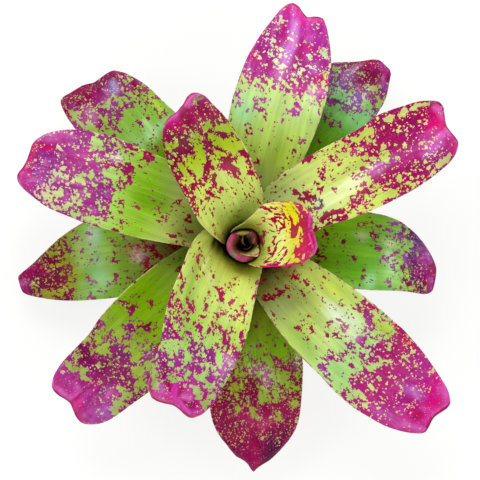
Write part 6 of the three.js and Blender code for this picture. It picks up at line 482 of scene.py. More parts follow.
        tone=[(164.3, -26.2, 155, -23.4, 2.56, 0.6, (126, 0, 22)), (153.1, -22.9, 151.2, -22.5, 1.6, 0.5, (162, 182, 12)), (141.3, -30.7, 132.3, -27.6, 3.2, 0.45, (162, 192, 22)), (158, -13.8, 147.8, -11, 2.4, 0.5, (114, 72, 142)), (158.6, 6.3, 148.2, 1.9, 2.4, 0.4, (118, 42, 112)), (112.8, -4.6, 104.6, -3.7, 1.76, 0.6, (98, 0, 32)), (134.3, -8.3, 128.8, -6.9, 1.92, 0.5, (142, 22, 86)), (142.7, -26.5, 125.5, -27.4, 2.4, 0.3, (206, 222, 110)), (128.4, -11, 115.3, -8, 4, 0.55, (204, 242, 166)), (188.2, 18.5, 186.1, 9.2, 2.4, 0.8, (164, 0, 76)), (186.9, 23.7, 174.2, 11.4, 2.4, 0.5, (150, 14, 70)), (174.8, 17.4, 174.4, 9, 2.4, 0.4, (150, 10, 70)), (172.2, -11.9, 166.3, -9.5, 3.2, 0.9, (148, 178, 216)), (172.2, -4.2, 168.5, -5.8, 2.4, 0.5, (182, 142, 198)), (182.7, 5.2, 180, -3.4, 2.4, 0.5, (130, 50, 90)), (167.5, 16.5, 159, 16.9, 2.64, 0.65, (208, 142, 182)), (162.7, 23.7, 158, 22.1, 2.4, 0.4, (198, 142, 172)), (180.1, 26.3, 175, 28.1, 2.4, 0.5, (150, 90, 140)), (190.8, 30.4, 188.7, 17.1, 0.72, 0.7, (150, 0, 80))],
    ),
    "leaf_11": dict(
        lean=[(113.1, -2.3, 119.8, 7.4, 2.64, 1.15), (101.4, -6.8, 106.6, -0.4, 1.12, 1.15), (99.6, -11.7, 115.8, -15.6, 1.6, 1.15), (101.7, 3.1, 108.4, 4.5, 1.44, 1.15), (102.8, 13.8, 118.8, 16.5, 2.08, 1.15), (103.3, 33.2, 105.9, 39.1, 2.64, 1.15), (97.7, 6.5, 98, 8.1, 0.72, 1.15), (91.8, 0.9, 94.3, 2.5, 1.04, 1.15), (83.6, 3.6, 85.3, 4.4, 0.56, 1.15), (76.9, 17.8, 77.8, 18.9, 1.04, 1.15), (66, 9.7, 66.5, 10.9, 0.72, 1.15), (95.9, 23, 96.7, 24.7, 0.64, 1.15), (115, 31.5, 113.7, 43.8, 1.04, 1.15), (132.7, 23.3, 136.3, 26.4, 1.6, 1.15), (128.9, 35, 132.1, 43.2, 1.28, 1.15), (123.3, 2.2, 130.3, 7.7, 2.4, 1.15), (139.8, 11.3, 141.1, 34.4, 1.6, 1.15), (140.6, 39.4, 153.2, 40.1, 1.76, 1.15), (132.4, -28, 153.9, -19.5, 2.88, 1.15), (150.8, -16, 168.9, -5.7, 4.8, 1.15), (155.9, 7, 167.7, 21.1, 4.8, 1.15), (97.3, 27.9, 99.9, 31.2, 0.96, 1.15), (117.4, 26.4, 122.6, 27.9, 0.96, 1.15), (106.8, -7, 108.2, -2.1, 1.61, -1), (95.6, -0, 101.7, 3.1, 1.15, -1), (111, 8.5, 106.9, 12.8, 1.04, -1), (107.3, 23.5, 131.9, 23.8, 1.73, -1), (136.9, 3.7, 142, 4.6, 1.5, -1), (142.8, 23.3, 144.1, 24.7, 1.38, -1), (133.3, 35.6, 134.4, 38.4, 1.73, -1), (127.4, 0.1, 131.6, 1, 1.27, -1), (123.8, 13.8, 129.1, 18.5, 1.38, -1), (117.7, 36.3, 121.4, 41.9, 1.61, -1), (119.2, -13.3, 126, -7.8, 1.5, -1), (109.1, -17, 112.6, -13.8, 1.15, -1), (118.5, 9.1, 123, 16.3, 1.27, -1), (109.3, 40.7, 114.5, 42.1, 1.04, -1), (85.6, 16.7, 90.7, 28.1, 4.03, -1), (90.3, 8.4, 98.8, 19.7, 2.3, -1)],
        tone=[(111.2, -8.8, 124.2, -12.7, 4, 0.45, (158, 140, 30)), (121.5, -1, 129.1, 1.1, 1.76, 0.5, (186, 170, 150)), (103.6, 13.7, 118.8, 16.2, 2.08, 0.55, (184, 132, 146)), (173.3, 1.4, 192.7, 0.4, 4, 0.75, (176, 0, 98)), (155.5, -1.3, 169.9, 4.2, 6.4, 0.4, (166, 0, 86)), (156.1, 31.9, 172.4, 22.4, 1.92, 0.65, (72, 22, 62)), (157.6, -16.5, 168.2, -12.4, 2.4, 0.4, (150, 0, 70)), (113.2, -0.6, 120.1, 7.3, 3.2, 0.5, (118, 8, 44)), (101.7, 3.1, 108.4, 4.5, 1.92, 0.5, (150, 110, 120)), (141.4, -5.4, 147.5, 10.9, 4.8, 0.35, (180, 40, 110)), (80.9, 20.2, 90.7, 29.8, 4.8, 0.4, (96, 150, 0)), (94.1, 41.9, 102.5, 43.3, 1.28, 0.6, (206, 222, 190)), (85.3, 6, 93.4, 0, 3.2, 0.35, (150, 180, 100)), (61.6, 13.1, 82.3, 13.5, 6.4, 0.55, (152, 172, 44)), (75.5, 29.4, 94, 28.9, 5.6, 0.35, (142, 184, 20)), (162.9, 6.5, 170, 7.6, 4.8, 0.5, (142, 0, 70)), (167.9, 1.1, 188.2, 2.5, 3.68, 0.7, (172, 0, 88)), (165.6, 17.9, 179.6, 13.4, 3.68, 0.8, (100, 20, 68)), (179.2, 10.1, 186.7, 7.7, 2.88, 0.6, (100, 10, 60)), (162.4, -20.2, 171.5, -16, 3.2, 0.5, (130, 30, 70)), (162.8, -15.2, 159.6, -13.3, 1.6, 0.4, (172, 0, 70)), (147, 0.9, 154.4, 10.4, 4, 0.4, (178, 60, 100)), (173.7, -9.5, 181.6, -5.2, 3.2, 0.4, (150, 20, 76)), (151.1, 12.3, 148.1, 19.1, 3.2, 0.4, (192, 82, 112))],
    ),
    "leaf_12": dict(
        lean=[(162.1, 30.1, 167.1, 23.4, 1.6, 1.15), (158.8, 24.9, 162.2, 21.2, 1.92, 1.15), (169.4, 21, 173.5, 17.9, 1.44, 1.15), (139, 11.9, 141, 7, 1.44, 1.15), (132.7, 15.4, 135.9, 10.4, 1.12, 1.15), (153.9, 12.7, 147.2, 10.1, 1.12, 1.15), (147.2, 1.3, 143.5, -6.2, 2.16, 1.15), (152.7, 2.7, 157.5, -6.4, 2.56, 1.15), (148.5, -4.1, 146.7, -11.1, 1.84, 1.15), (142.5, 2.8, 141.6, -1.3, 1.44, 1.15), (136.5, 3.3, 138.1, 0.2, 0.96, 1.15), (160.4, 21.8, 179.6, -4.2, 3.36, 1.15), (176.1, 13.6, 191.6, -0.6, 2.72, 1.15), (161.3, 15.9, 163.2, 8.7, 2.56, 1.15), (184.6, -6.6, 180.6, -12.5, 1.44, 1.15), (172.8, -14.8, 172.3, -18.4, 1.28, 1.15), (158.3, -13.6, 155.4, -20.5, 1.12, 1.15), (149.6, -13.1, 149.9, -19.6, 1.36, 1.15), (154.8, -21.1, 153.5, -23.1, 0.8, 1.15), (121.2, -0.6, 122.2, -3.1, 1.12, 1.15), (125.4, -5.8, 125.2, -8.1, 1.2, 1.15), (122.1, 8.7, 123.7, 6.8, 0.8, 1.15), (105.3, 0.5, 105, -1.8, 0.96, 1.15), (107.4, 3.3, 106.7, 2.7, 0.48, 1.15), (137.3, -6.9, 136.9, -11.5, 0.56, 1.15), (145.1, 15, 143.7, 11.6, 2.52, -1), (144.8, 7, 145, 5, 1.97, -1), (155.5, 18.5, 155.3, 16.2, 0.88, -1), (157.9, 10.7, 157.8, 8.3, 1.02, -1), (154.7, 5.5, 155.2, 3.7, 1.22, -1), (167.3, 0.8, 168.4, -2.8, 0.61, -1), (167.7, -3.3, 169.2, -8.7, 0.82, -1), (166.6, -11, 163.9, -15.6, 1.63, -1), (154.2, -10.4, 155.8, -14.6, 1.63, -1), (151.7, -19.1, 151.9, -21.3, 1.29, -1), (133.7, -1.2, 132.7, -10.6, 3.67, -1), (139.3, -11.7, 142.7, -15.5, 2.04, -1), (150, -8.4, 150.4, -11.4, 0.82, -1), (157.7, -4.1, 155.6, -6.9, 0.75, -1), (168.9, -18.4, 165.1, -19.3, 0.88, -1), (170.5, 10.8, 171, 9, 0.54, -1)],
        tone=[(145, 12.6, 144.5, 5.6, 2.4, 0.2, (112, 172, 112)), (151.5, 2.8, 157, -5.8, 2.88, 0.45, (126, 92, 172)), (145.9, 0.2, 143.5, -6.2, 2.24, 0.45, (112, 52, 132)), (167.3, 5.6, 173.2, -5.3, 3.68, 0.5, (114, 22, 62)), (139, 11.9, 140.4, 6.5, 1.76, 0.5, (82, 22, 72)), (158.3, -13.6, 154.8, -21.1, 1.76, 0.4, (132, 42, 82)), (135.2, -4.3, 133.8, -11.9, 3.2, 0.25, (126, 190, 112)), (133.9, 7.6, 136.8, -0.9, 3.2, 0.3, (74, 122, 40)), (175.6, -7.7, 175.4, -13.6, 1.92, 0.45, (162, 102, 162)), (159.1, 19.5, 167.3, 16.8, 2.56, 0.7, (150, 118, 178)), (167.9, 17.4, 176.8, 14.2, 1.44, 0.6, (180, 132, 192)), (178.7, 13.6, 187.8, 8, 1.6, 0.8, (168, 0, 76)), (180.9, 6.5, 189.1, 1.7, 3.2, 0.5, (162, 30, 110)), (189.4, 5.9, 185.8, -0.1, 1.28, 0.6, (194, 62, 152)), (191, 2.4, 190.1, -4.2, 1.12, 0.5, (180, 62, 152)), (167.4, 7.9, 181.1, -0.6, 4, 0.55, (120, 30, 66)), (160.3, 10.6, 170.9, -2.8, 2.4, 0.4, (116, 26, 60)), (180, -7.2, 176, -15.5, 1.92, 0.65, (152, 92, 152)), (185.3, -7.2, 183.8, -9.8, 1.12, 0.7, (100, 0, 30)), (150.6, -1.3, 148.3, -6.5, 3.2, 0.5, (130, 70, 150)), (156.2, 0.1, 157, -5.8, 3.2, 0.5, (158, 112, 178)), (174, -16.1, 180.6, -12.5, 0.96, 0.4, (150, 60, 140))],
    ),
    "leaf_13": dict(
        lean=[(155.8, -24.8, 153.9, -16.7, 2.56, 1.15), (168.2, -16.3, 164.1, -8.1, 2.64, 1.15), (181.4, -7.8, 158.5, -0.4, 4, 1.15), (186, 4.6, 160.2, 11.2, 4, 1.15), (160.2, -0.7, 156.8, 11.7, 2.88, 1.15), (150.8, -24.7, 147.8, -21.7, 0.6, 1.15), (143.5, -26.9, 139.5, -31.3, 0.45, 1.15), (137.8, -25.2, 136.3, -24.1, 0.69, 1.15), (151.1, -12.9, 140.4, -14.6, 0.4, 1.15), (150.5, -6, 148, -0.5, 0.6, 1.15), (143.7, -4.9, 140.9, -1.1, 0.5, 1.15), (148.5, 2.8, 140.5, 7.4, 0.6, 1.15), (152.6, 7.3, 148.1, 11.3, 0.55, 1.15), (154.5, 18.8, 148.5, 24.8, 0.89, 1.15), (156.9, 12.5, 153.3, 17.3, 0.79, 1.15), (134.5, -13.7, 134.2, -10.2, 0.6, 1.15), (135.4, -2.8, 132.5, 0.2, 0.35, 1.15), (127.2, -27.7, 126.2, -23.4, 0.74, 1.15), (134.5, 7.5, 134.3, 11.8, 0.4, 1.15), (132, 13, 128, 15.2, 0.55, 1.15), (137.1, 18.9, 135.6, 20, 0.6, 1.15), (137.4, 26.5, 132.3, 27.2, 0.69, 1.15), (124.6, 21.6, 124.9, 23.3, 0.5, 1.15), (123.1, -5.1, 122, -1.6, 0.55, 1.15), (125.5, -5.5, 123.2, -4.3, 0.35, 1.15), (114.2, -29.1, 112.3, -20.4, 0.6, 1.15), (116.8, -2.5, 116.1, -1.5, 0.64, 1.15), (109.7, -9.9, 108.6, -6.3, 0.55, 1.15), (108.7, -0.4, 105.4, 0.1, 0.55, 1.15), (111.8, 10.1, 109.7, 12.9, 0.6, 1.15), (119.9, 18.1, 116.3, 17, 0.5, 1.15), (112.7, 15.8, 108.2, 19.9, 0.4, 1.15), (100.2, -21.9, 99.1, -18.4, 0.45, 1.15), (122, -11.7, 119.7, -10.5, 0.35, 1.15), (117.9, 27.7, 118, 28.5, 0.35, 1.15), (162.6, -16.4, 163.2, -13.1, 0.67, -1), (156.4, -22.2, 156, -19.6, 0.58, -1), (170.3, -12.6, 169.2, -9, 0.82, -1), (166.1, -6.8, 163, -4.6, 0.82, -1), (159, -7.3, 154.5, -3.2, 0.67, -1), (156.5, -1.8, 155.4, 1.8, 0.67, -1), (175, 14.8, 172.2, 18.7, 1.01, -1), (170.3, 18.1, 168.2, 21.1, 0.82, -1), (165.9, 13.7, 163.3, 19.2, 0.91, -1), (161.6, 19.4, 158.5, 21.6, 0.82, -1), (182.3, 15.4, 180.7, 16.5, 0.48, -1), (163.6, 10.6, 160.5, 12.8, 0.48, -1), (142.2, 7.2, 138.7, 17.8, 2.04, -1), (127.4, -21, 123.9, -10.3, 3.4, -1), (119.4, 3.9, 106.4, 7.5, 3.4, -1), (126, 24.8, 132.4, 22.1, 1.63, -1)],
        tone=[(152.2, -6.3, 143.4, 3.6, 3.2, 0.6, (172, 178, 26)), (128, -27.9, 127.8, -7.5, 3.2, 0.45, (180, 200, 154)), (135.9, -0.3, 120.4, 10.5, 3.2, 0.35, (132, 202, 132)), (139.9, 14.3, 125.7, 23.2, 3.2, 0.35, (152, 212, 142)), (158.4, -20.8, 159.7, 7.8, 3.2, 0.4, (112, 0, 50)), (181.4, -7.8, 168.8, -2.1, 3.2, 0.5, (178, 0, 82)), (127.2, -27.7, 126.2, -23.4, 1.44, 0.6, (176, 130, 180)), (132, 13, 128, 15.2, 1.28, 0.6, (150, 100, 150)), (111.8, 10.1, 109.7, 12.9, 1.44, 0.5, (130, 40, 90)), (137.4, -22.6, 137, -3.9, 6.4, 0.5, (194, 214, 134)), (115.4, -10.7, 113, 6.5, 6.4, 0.45, (178, 206, 104)), (191.2, 0.4, 175.7, -3.2, 3.04, 0.8, (170, 0, 88)), (190.1, 6.5, 187.3, 12.1, 2.88, 0.5, (162, 70, 120)), (189.5, 2.4, 187.1, 6.1, 1.76, 0.5, (194, 92, 152)), (178.3, 1.5, 173.9, 9, 4, 0.5, (110, 14, 60)), (172.2, 9.3, 161.4, 7.6, 3.2, 0.4, (112, 0, 50)), (166.9, -12, 161.2, -14.5, 2.4, 0.5, (90, 10, 50)), (193.6, 4.3, 192.5, 9.6, 1.04, 0.5, (174, 112, 152)), (180.3, -7.4, 192.7, -1.6, 0.72, 0.6, (150, 0, 80))],
    ),
}




def linear(rgb):
    c = np.asarray(rgb, float) / 255.0
    return np.where(c <= 0.04045, c / 12.92, ((c + 0.055) / 1.055) ** 2.4)


def stops(table, s):
    at = [t[0] for t in table]
    col = np.array([linear(t[1]) for t in table])
    return np.stack([np.interp(s, at, col[:, k]) for k in range(3)], -1)


def paint_fold_light_and_shade(f, number, green, pink):
    """Painted light and shade for the folded end: painted shade in a faint deep crease from the notch and in shallow
    troughs, and painted highlights on the light ridges beside it.
    """
    across = f["B"] - f["B"][:, f["B"].shape[1] // 2][:, None]
    left_side = across > 0
    away, back = np.abs(across), f["tip"]
    crease = np.exp(-((away / 1.5) ** 2)) * smooth(17, 3, back) * 0.30
    ridge = np.exp(-(((away - np.where(left_side, 5.6, 6.4)) / 2.3) ** 2)) * smooth(25, 9, back) * smooth(2, 5, back)
    ridge = ridge * np.where(left_side, 0.20 + 0.08 * math.sin(2.1 * number), 0.20 - 0.08 * math.sin(2.1 * number))
    trough = np.exp(-(((away - 12.5) / 3.2) ** 2)) * smooth(24, 8, back) * smooth(1.5, 4, back) * 0.18
    dark, light = (linear((144, 0, 78)), linear((240, 92, 184))) if number < 8 else (linear((112, 0, 66)), linear((190, 50, 136)))
    for weight, tone in ((crease, dark), (trough, dark), (ridge, light)):
        if number:
            pink = pink * (1 - weight[..., None]) + tone * weight[..., None]
    return green, pink


def away_from(S, B, s0, b0, s1, b1):
    """How far each point is from a short straight stroke."""
    ds, db = s1 - s0, b1 - b0
    t = np.clip(((S - s0) * ds + (B - b0) * db) / max(ds * ds + db * db, 1e-6), 0, 1)
    return np.hypot(S - s0 - t * ds, B - b0 - t * db)


def paint_leaf(f, marks, painted_light_along, index, strokes):
    """The leaf's marking fields on its grid: lean to magenta, and the two pigments' colours, with painted light and
    shade laid into them.
    """
    S, B, W = f["S"], f["B"], f["W"]
    lanes = np.array(marks["lean"], float)
    lane = [np.interp(S, lanes[:, 0], lanes[:, k]) for k in (1, 2, 3)]
    side = np.clip(B / np.maximum(W, 1) / 0.75, -1.25, 1.25)
    lean = np.where(side < 0, lane[1] + (lane[0] - lane[1]) * -side, lane[1] + (lane[2] - lane[1]) * side)
    # blotches have ragged outlines
    s = S + 1.0 * np.sin(B * 1.15 + index) + 0.8 * np.sin(S * 1.7 + B * 0.9 + 2 * index)
    b = B + 0.9 * np.sin(S * 1.05 + 3 * index) + 0.7 * np.sin(B * 1.9 - S * 0.8 + index)
    for sign, key in ((1, "m"), (-1, "g")):
        for s0, b0, rs, rb, *more in marks[key]:
            d = np.hypot((s - s0) / rs, (b - b0) / rb)
            w = np.clip(1.5 - d, 0, 1)
            lean = lean * (1 - w) + sign * (1.25 + 0.7 / min(rs, rb) + sum(more)) * w
    green, pink = stops(marks["green"], S), stops(marks["pink"], S)
    # soft patches: pale ones are painted highlights and sheen, deep ones in gaps and at bases are painted shade, the
    # rest the leaf's own colour
    for s0, b0, rs, rb, strength, rgb in marks["patches_and_painted_light"]:
        d = np.hypot((S - s0) / rs, (B - b0) / rb)
        w = (strength * np.exp(-0.9 * d**2.2))[..., None]
        c = linear(rgb)
        warm = rgb[0] > rgb[1] + 12
        painted_highlight = warm and min(rgb) > 105
        cg = linear((250, 245, 212)) if painted_highlight else c
        # a pale or green area colours the green pigment fully and the magenta one in part, and the other way round; a
        # pale warm patch is a painted highlight and turns the green pigment creamy white
        wg = w * (0.7 if painted_highlight else 0.45 if warm else 1.0)
        wp = w * (1.0 if warm else 0.25)
        green = green * (1 - wg) + cg * wg
        pink = pink * (1 - wp) + c * wp
    green, pink = paint_fold_light_and_shade(f, index, green, pink)
    # tone strokes: the leaf's own colour, and also painted highlights, sheen and painted shade; a pale pink stroke is a
    # painted highlight that also turns the green pigment creamy white
    for s0, b0, s1, b1, half, strength, rgb in strokes.get("tone", []):
        w = strength * np.exp(-0.9 * (away_from(S, B, s0, b0, s1, b1) / half) ** 2.2)
        if rgb[1] > 0.75 * rgb[0] and rgb[1] > rgb[2]:
            green = blend_to(green, w, rgb)
        else:
            pink = blend_to(pink, w, rgb)
            if min(rgb) > 105:
                green = blend_to(green, w * 0.5, (250, 245, 212))
    # painted light: the colour is raised or lowered along the leaf by its factor for shade
    factor = np.interp(S, [v[0] for v in painted_light_along], [v[1] for v in painted_light_along])[..., None]
    pink = pink * np.array([1.04, 0.80, 1.0])
    green, pink = (np.clip(c * factor - 0.007, 0.0006, 0.92) for c in (green, pink))
    return lean, green, pink


def tint(shape, rgb):
    return np.broadcast_to(linear(rgb), shape + (3,)).copy()


def blend_to(field, weight, rgb):
    w = np.clip(weight, 0, 1)[..., None]
    return field * (1 - w) + linear(rgb) * w


def with_alpha(c):
    return np.concatenate([c, np.ones(c.shape[:-1] + (1,))], -1)


# ---------------------------------------------------------------- materials
class Graph:
    """Short ways to write a shader's nodes."""

    def __init__(self, material):
        material.use_nodes = True
        self.tree = material.node_tree
        self.tree.nodes.clear()
        self.out = self.tree.nodes.new("ShaderNodeOutputMaterial")

    def node(self, kind, **settings):
        n = self.tree.nodes.new(kind)
        for key, value in settings.items():
            setattr(n, key, value)
        return n

    def put(self, socket, value):
        if isinstance(value, bpy.types.NodeSocket):
            self.tree.links.new(value, socket)
        elif value is not None:
            socket.default_value = value

    def math(self, op, a, b=None, c=None, clamp=False):
        n = self.node("ShaderNodeMath", operation=op, use_clamp=clamp)
        for socket, value in zip(n.inputs, (a, b, c)):
            self.put(socket, value)
        return n.outputs[0]

    def add(self, *terms):
        total = terms[0]
        for t in terms[1:]:
            total = self.math("ADD", total, t)
        return total

    def mul(self, a, b):
        return self.math("MULTIPLY", a, b)

    def sub(self, a, b):
        return self.math("SUBTRACT", a, b)

    def ramp(self, x, lo, hi, a=0.0, b=1.0):
        n = self.node("ShaderNodeMapRange", interpolation_type="SMOOTHSTEP", clamp=True)
        for name, value in zip(("Value", "From Min", "From Max", "To Min", "To Max"), (x, lo, hi, a, b)):
            self.put(n.inputs[name], value)
        return n.outputs[0]

    def vec(self, op, a, b=None, scale=None):
        n = self.node("ShaderNodeVectorMath", operation=op)
        self.put(n.inputs[0], a)
        if b is not None:
            self.put(n.inputs[1], b)
        if scale is not None:
            self.put(n.inputs["Scale"], scale)
        return n.outputs["Value"] if op in ("DISTANCE", "LENGTH", "DOT_PRODUCT") else n.outputs[0]

    def mix(self, factor, a, b, kind="MIX"):
        n = self.node("ShaderNodeMix", data_type="RGBA", blend_type=kind, clamp_factor=True)
        self.put(n.inputs[0], factor)
        self.put(n.inputs[6], a)
        self.put(n.inputs[7], b)
        return n.outputs[2]

    def mixv(self, factor, a, b):
        n = self.node("ShaderNodeMix", data_type="VECTOR", clamp_factor=True)
        self.put(n.inputs[0], factor)
        self.put(n.inputs[4], a)
        self.put(n.inputs[5], b)
        return n.outputs[1]

    def attribute(self, name, output="Vector"):
        return self.node("ShaderNodeAttribute", attribute_name=name).outputs[output]

    def noise(self, v, size, detail=1.0, rough=0.5, out=0):
        n = self.node("ShaderNodeTexNoise", noise_dimensions="3D")
        self.put(n.inputs["Vector"], v)
        self.put(n.inputs["Scale"], 1.0 / size)
        self.put(n.inputs["Detail"], detail)
        self.put(n.inputs["Roughness"], rough)
        return n.outputs[out]

    def cells(self, v, size, jitter=1.0, metric="EUCLIDEAN"):
        n = self.node("ShaderNodeTexVoronoi", voronoi_dimensions="2D", feature="F1", distance=metric)
        self.put(n.inputs["Vector"], v)
        self.put(n.inputs["Scale"], 1.0 / size)
        self.put(n.inputs["Randomness"], jitter)
        return n

    def split(self, v):
        n = self.node("ShaderNodeSeparateXYZ")
        self.put(n.inputs[0], v)
        return n.outputs

    def join(self, x, y, z=0.0):
        n = self.node("ShaderNodeCombineXYZ")
        for socket, value in zip(n.inputs, (x, y, z)):
            self.put(socket, value)
        return n.outputs[0]

    def grey(self, x):
        return self.join(x, x, x)


def rgba(rgb):
    return (*map(float, linear(rgb)), 1.0)


def leaf_material(name, roughness=0.36, streak=0.075, fleck=1.0, island=1.0, grain=0.88, drift=1.0, gloss=0.28):
    """A waxy leaf whose two pigments break up into each other in small ragged cells."""
    material = bpy.data.materials.new(name)
    g = Graph(material)
    flat = g.attribute("flat")
    lean = g.attribute("lean", "Fac")
    green, pink = g.attribute("green", "Color"), g.attribute("pink", "Color")
    edge, tip, upper = g.split(g.attribute("rim"))
    x, y, seed = g.split(flat)

    # ragged cells, a little longer along the leaf than across it
    cell_in = g.join(g.mul(x, 0.8), y)
    cell = g.cells(cell_in, grain, 0.8, "CHEBYCHEV")
    cx, cy, _ = g.split(cell.outputs["Position"])
    snapped = g.join(g.mul(cx, 1.25), cy, seed)
    q = g.mixv(0.86, g.join(x, y, seed), snapped)
    cell_random = g.split(cell.outputs["Color"])[0]

    calm = g.ramp(lean, 0.2, 1.3, 1.0, 0.48)
    coarse = g.mul(g.mul(g.sub(g.noise(q, 10.0, 1.0), 0.5), 2.6), calm)
    medium = g.mul(g.mul(g.sub(g.noise(q, 3.1, 1.0), 0.5), 2.9), calm)
    speck = g.mul(g.sub(cell_random, 0.5), 0.55)

    wobble = g.noise(q, 2.2, 1.0, out=1)
    warped = g.vec("ADD", q, g.vec("SCALE", g.vec("SUBTRACT", wobble, (0.5, 0.5, 0.5)), scale=1.8))

    def spikes(v, size, radius, rarity, strength, out=2):
        """Round features of random strength, one in each cell of a loose net."""
        n = g.cells(v, size, 0.95)
        d = g.mul(n.outputs["Distance"], size / radius)
        amount = g.mul(g.ramp(g.split(n.outputs["Color"])[out], rarity, 1.0), strength)
        return g.mul(amount, g.math("MAXIMUM", g.sub(1.0, g.mul(d, d)), 0.0))

    islands = g.add(
        spikes(warped, 9.5, 3.2, 0.35, 2.6, 0),
        spikes(warped, 5.0, 2.0, 0.45, 3.4, 1),
        spikes(q, 2.4, 0.92, 0.42, 4.2, 2),
        spikes(g.vec("ADD", q, (77.0, 13.0, 0.0)), 1.7, 0.58, 0.58, 4.2, 1),
    )
    crowd = g.ramp(g.noise(g.join(x, y, seed), 12.0, 1.0), 0.36, 0.64, 0.55, 1.15)
    islands = g.mul(g.mul(islands, crowd), g.mul(g.ramp(lean, -0.5, 0.3), island))
    fx = g.join(g.mul(g.split(warped)[0], 0.62), g.split(warped)[1], seed)
    flecks = g.add(
        spikes(fx, 6.5, 2.1, 0.52, 2.4, 0),
        spikes(fx, 3.6, 1.2, 0.55, 2.5, 1),
        spikes(fx, 2.2, 0.78, 0.58, 2.9, 2),
        spikes(g.vec("ADD", fx, (31.0, 57.0, 0.0)), 1.6, 0.60, 0.70, 2.9, 1),
    )
    gather = g.ramp(g.noise(g.join(x, y, seed), 15.0, 1.0), 0.40, 0.68, 0.30, 1.20)
    flecks = g.mul(g.mul(flecks, gather), g.mul(g.ramp(lean, 0.9, 0.0), fleck))
    push = g.sub(g.mul(lean, g.ramp(lean, -0.2, 0.6, 1.0, 1.4)), g.ramp(lean, -0.3, -1.1, 0.0, 0.22))
    value = g.add(push, coarse, medium, speck, flecks, g.mul(islands, -1.0))
    magenta = g.ramp(value, -0.10, 0.10)

    # pigments
    along = g.join(g.mul(x, 1 / 30.0), g.mul(y, 1.0), seed)
    fine = g.noise(along, 0.9, 2.0, 0.6)
    broad = g.noise(g.join(g.mul(x, 0.35), y, seed), 7.0, 2.0)
    band = g.noise(g.join(g.mul(x, 1 / 45.0), y, seed), 3.4, 1.0)
    shade = g.add(1.0, g.mul(g.mul(g.sub(fine, 0.5), 3 * streak), g.add(1.0, g.mul(magenta, 0.7))), g.mul(g.sub(broad, 0.5), 0.40), g.mul(g.sub(band, 0.5), 0.42))
    gleam = g.ramp(g.noise(g.join(g.mul(x, 1 / 14.0), y, seed), 2.4, 2.0, 0.6), 0.50, 0.78, 0.0, 0.34)
    hair = g.ramp(g.noise(g.join(g.mul(x, 1 / 50.0), y, seed), 0.75, 0.0), 0.66, 0.82, 0.0, 0.15)
    tone = g.noise(g.join(x, y, seed), 9.0, 2.0, 0.55)
    green_here = g.mix(g.ramp(tone, 0.35, 0.75, 0.0, 0.28), green, g.mix(1.0, green, (0.80, 0.95, 0.62, 1.0), "MULTIPLY"))
    pale = g.mix(g.ramp(cell_random, 0.30, 1.0, 0.05, 0.65), green_here, rgba((230, 226, 160)))
    green_here = g.mix(g.ramp(lean, 0.3, 1.4), green_here, pale)
    # purple parts are dusty, crimson parts are clear
    red_of, green_of, blue_of = g.split(pink)
    dusty = g.ramp(g.math("DIVIDE", blue_of, g.add(red_of, 0.01)), 0.30, 0.72, 0.10, 1.0)
    pink_tone = g.noise(g.join(x, y, seed), 13.0, 2.0, 0.5)
    pink_here = g.mix(g.ramp(pink_tone, 0.42, 0.70, 0.0, 0.45 * drift), pink, g.mix(1.0, pink, (0.82, 1.12, 1.14, 1.0), "MULTIPLY"))
    pink_here = g.mix(g.ramp(pink_tone, 0.44, 0.26, 0.0, 0.40 * drift), pink_here, g.mix(1.0, pink, (1.08, 0.50, 0.78, 1.0), "MULTIPLY"))
    mottle = g.noise(g.join(g.mul(x, 0.45), y, seed), 4.6, 2.0, 0.6)
    pink_here = g.mix(g.ramp(mottle, 0.50, 0.72, 0.0, 0.62 * drift), pink_here, g.mix(1.0, pink_here, (0.80, 0.42, 0.72, 1.0), "MULTIPLY"))
    pink_here = g.mix(g.ramp(mottle, 0.50, 0.30, 0.0, g.mul(dusty, 0.45 * drift)), pink_here, rgba((206, 122, 178)))
    # fine creamy dots
    dots = g.cells(g.vec("ADD", g.join(x, y, seed), (5.0, 91.0, 0.0)), 1.9, 0.95)
    dot = g.mul(g.ramp(dots.outputs["Distance"], 0.24, 0.14), g.ramp(g.split(dots.outputs["Color"])[0], 0.74, 0.86))
    dot = g.mul(dot, g.ramp(g.noise(g.join(x, y, seed), 9.0, 1.0), 0.40, 0.60, 0.1, 0.75))
    pink_here = g.mix(dot, pink_here, rgba((238, 186, 158)))
    # magenta cells are darkest where they meet green ones
    pink_here = g.mix(g.ramp(value, 0.9, 0.0, 0.0, 0.28), pink_here, g.mix(1.0, pink_here, (0.80, 0.45, 0.62, 1.0), "MULTIPLY"))
    colour = g.mix(magenta, green_here, pink_here)
    colour = g.mix(1.0, colour, g.grey(shade), "MULTIPLY")
    # painted sheen: pale lilac streaks over the dusty magenta towards the end
    colour = g.mix(g.mul(g.mul(gleam, dusty), g.ramp(lean, 0.4, 1.6)), colour, g.mix(0.5, colour, rgba((232, 150, 212))))
    colour = g.mix(hair, colour, g.mix(magenta, rgba((232, 238, 176)), rgba((216, 104, 170))))

    # thin rim: pale on green parts, deep crimson on magenta parts, and a dark line round the curled end
    broken = g.noise(g.join(g.mul(x, 0.5), y, seed), 2.6, 1.0)
    rim_pale = g.mul(g.ramp(edge, 0.75, 0.35), g.sub(1.0, magenta))
    colour = g.mix(g.mul(rim_pale, 0.55), colour, rgba((228, 226, 170)))
    rim_red = g.mul(g.mul(g.ramp(edge, 1.1, 0.5), g.ramp(broken, 0.50, 0.60)), g.ramp(lean, -1.9, -1.0))
    colour = g.mix(g.mul(rim_red, 0.75), colour, rgba((166, 12, 96)))
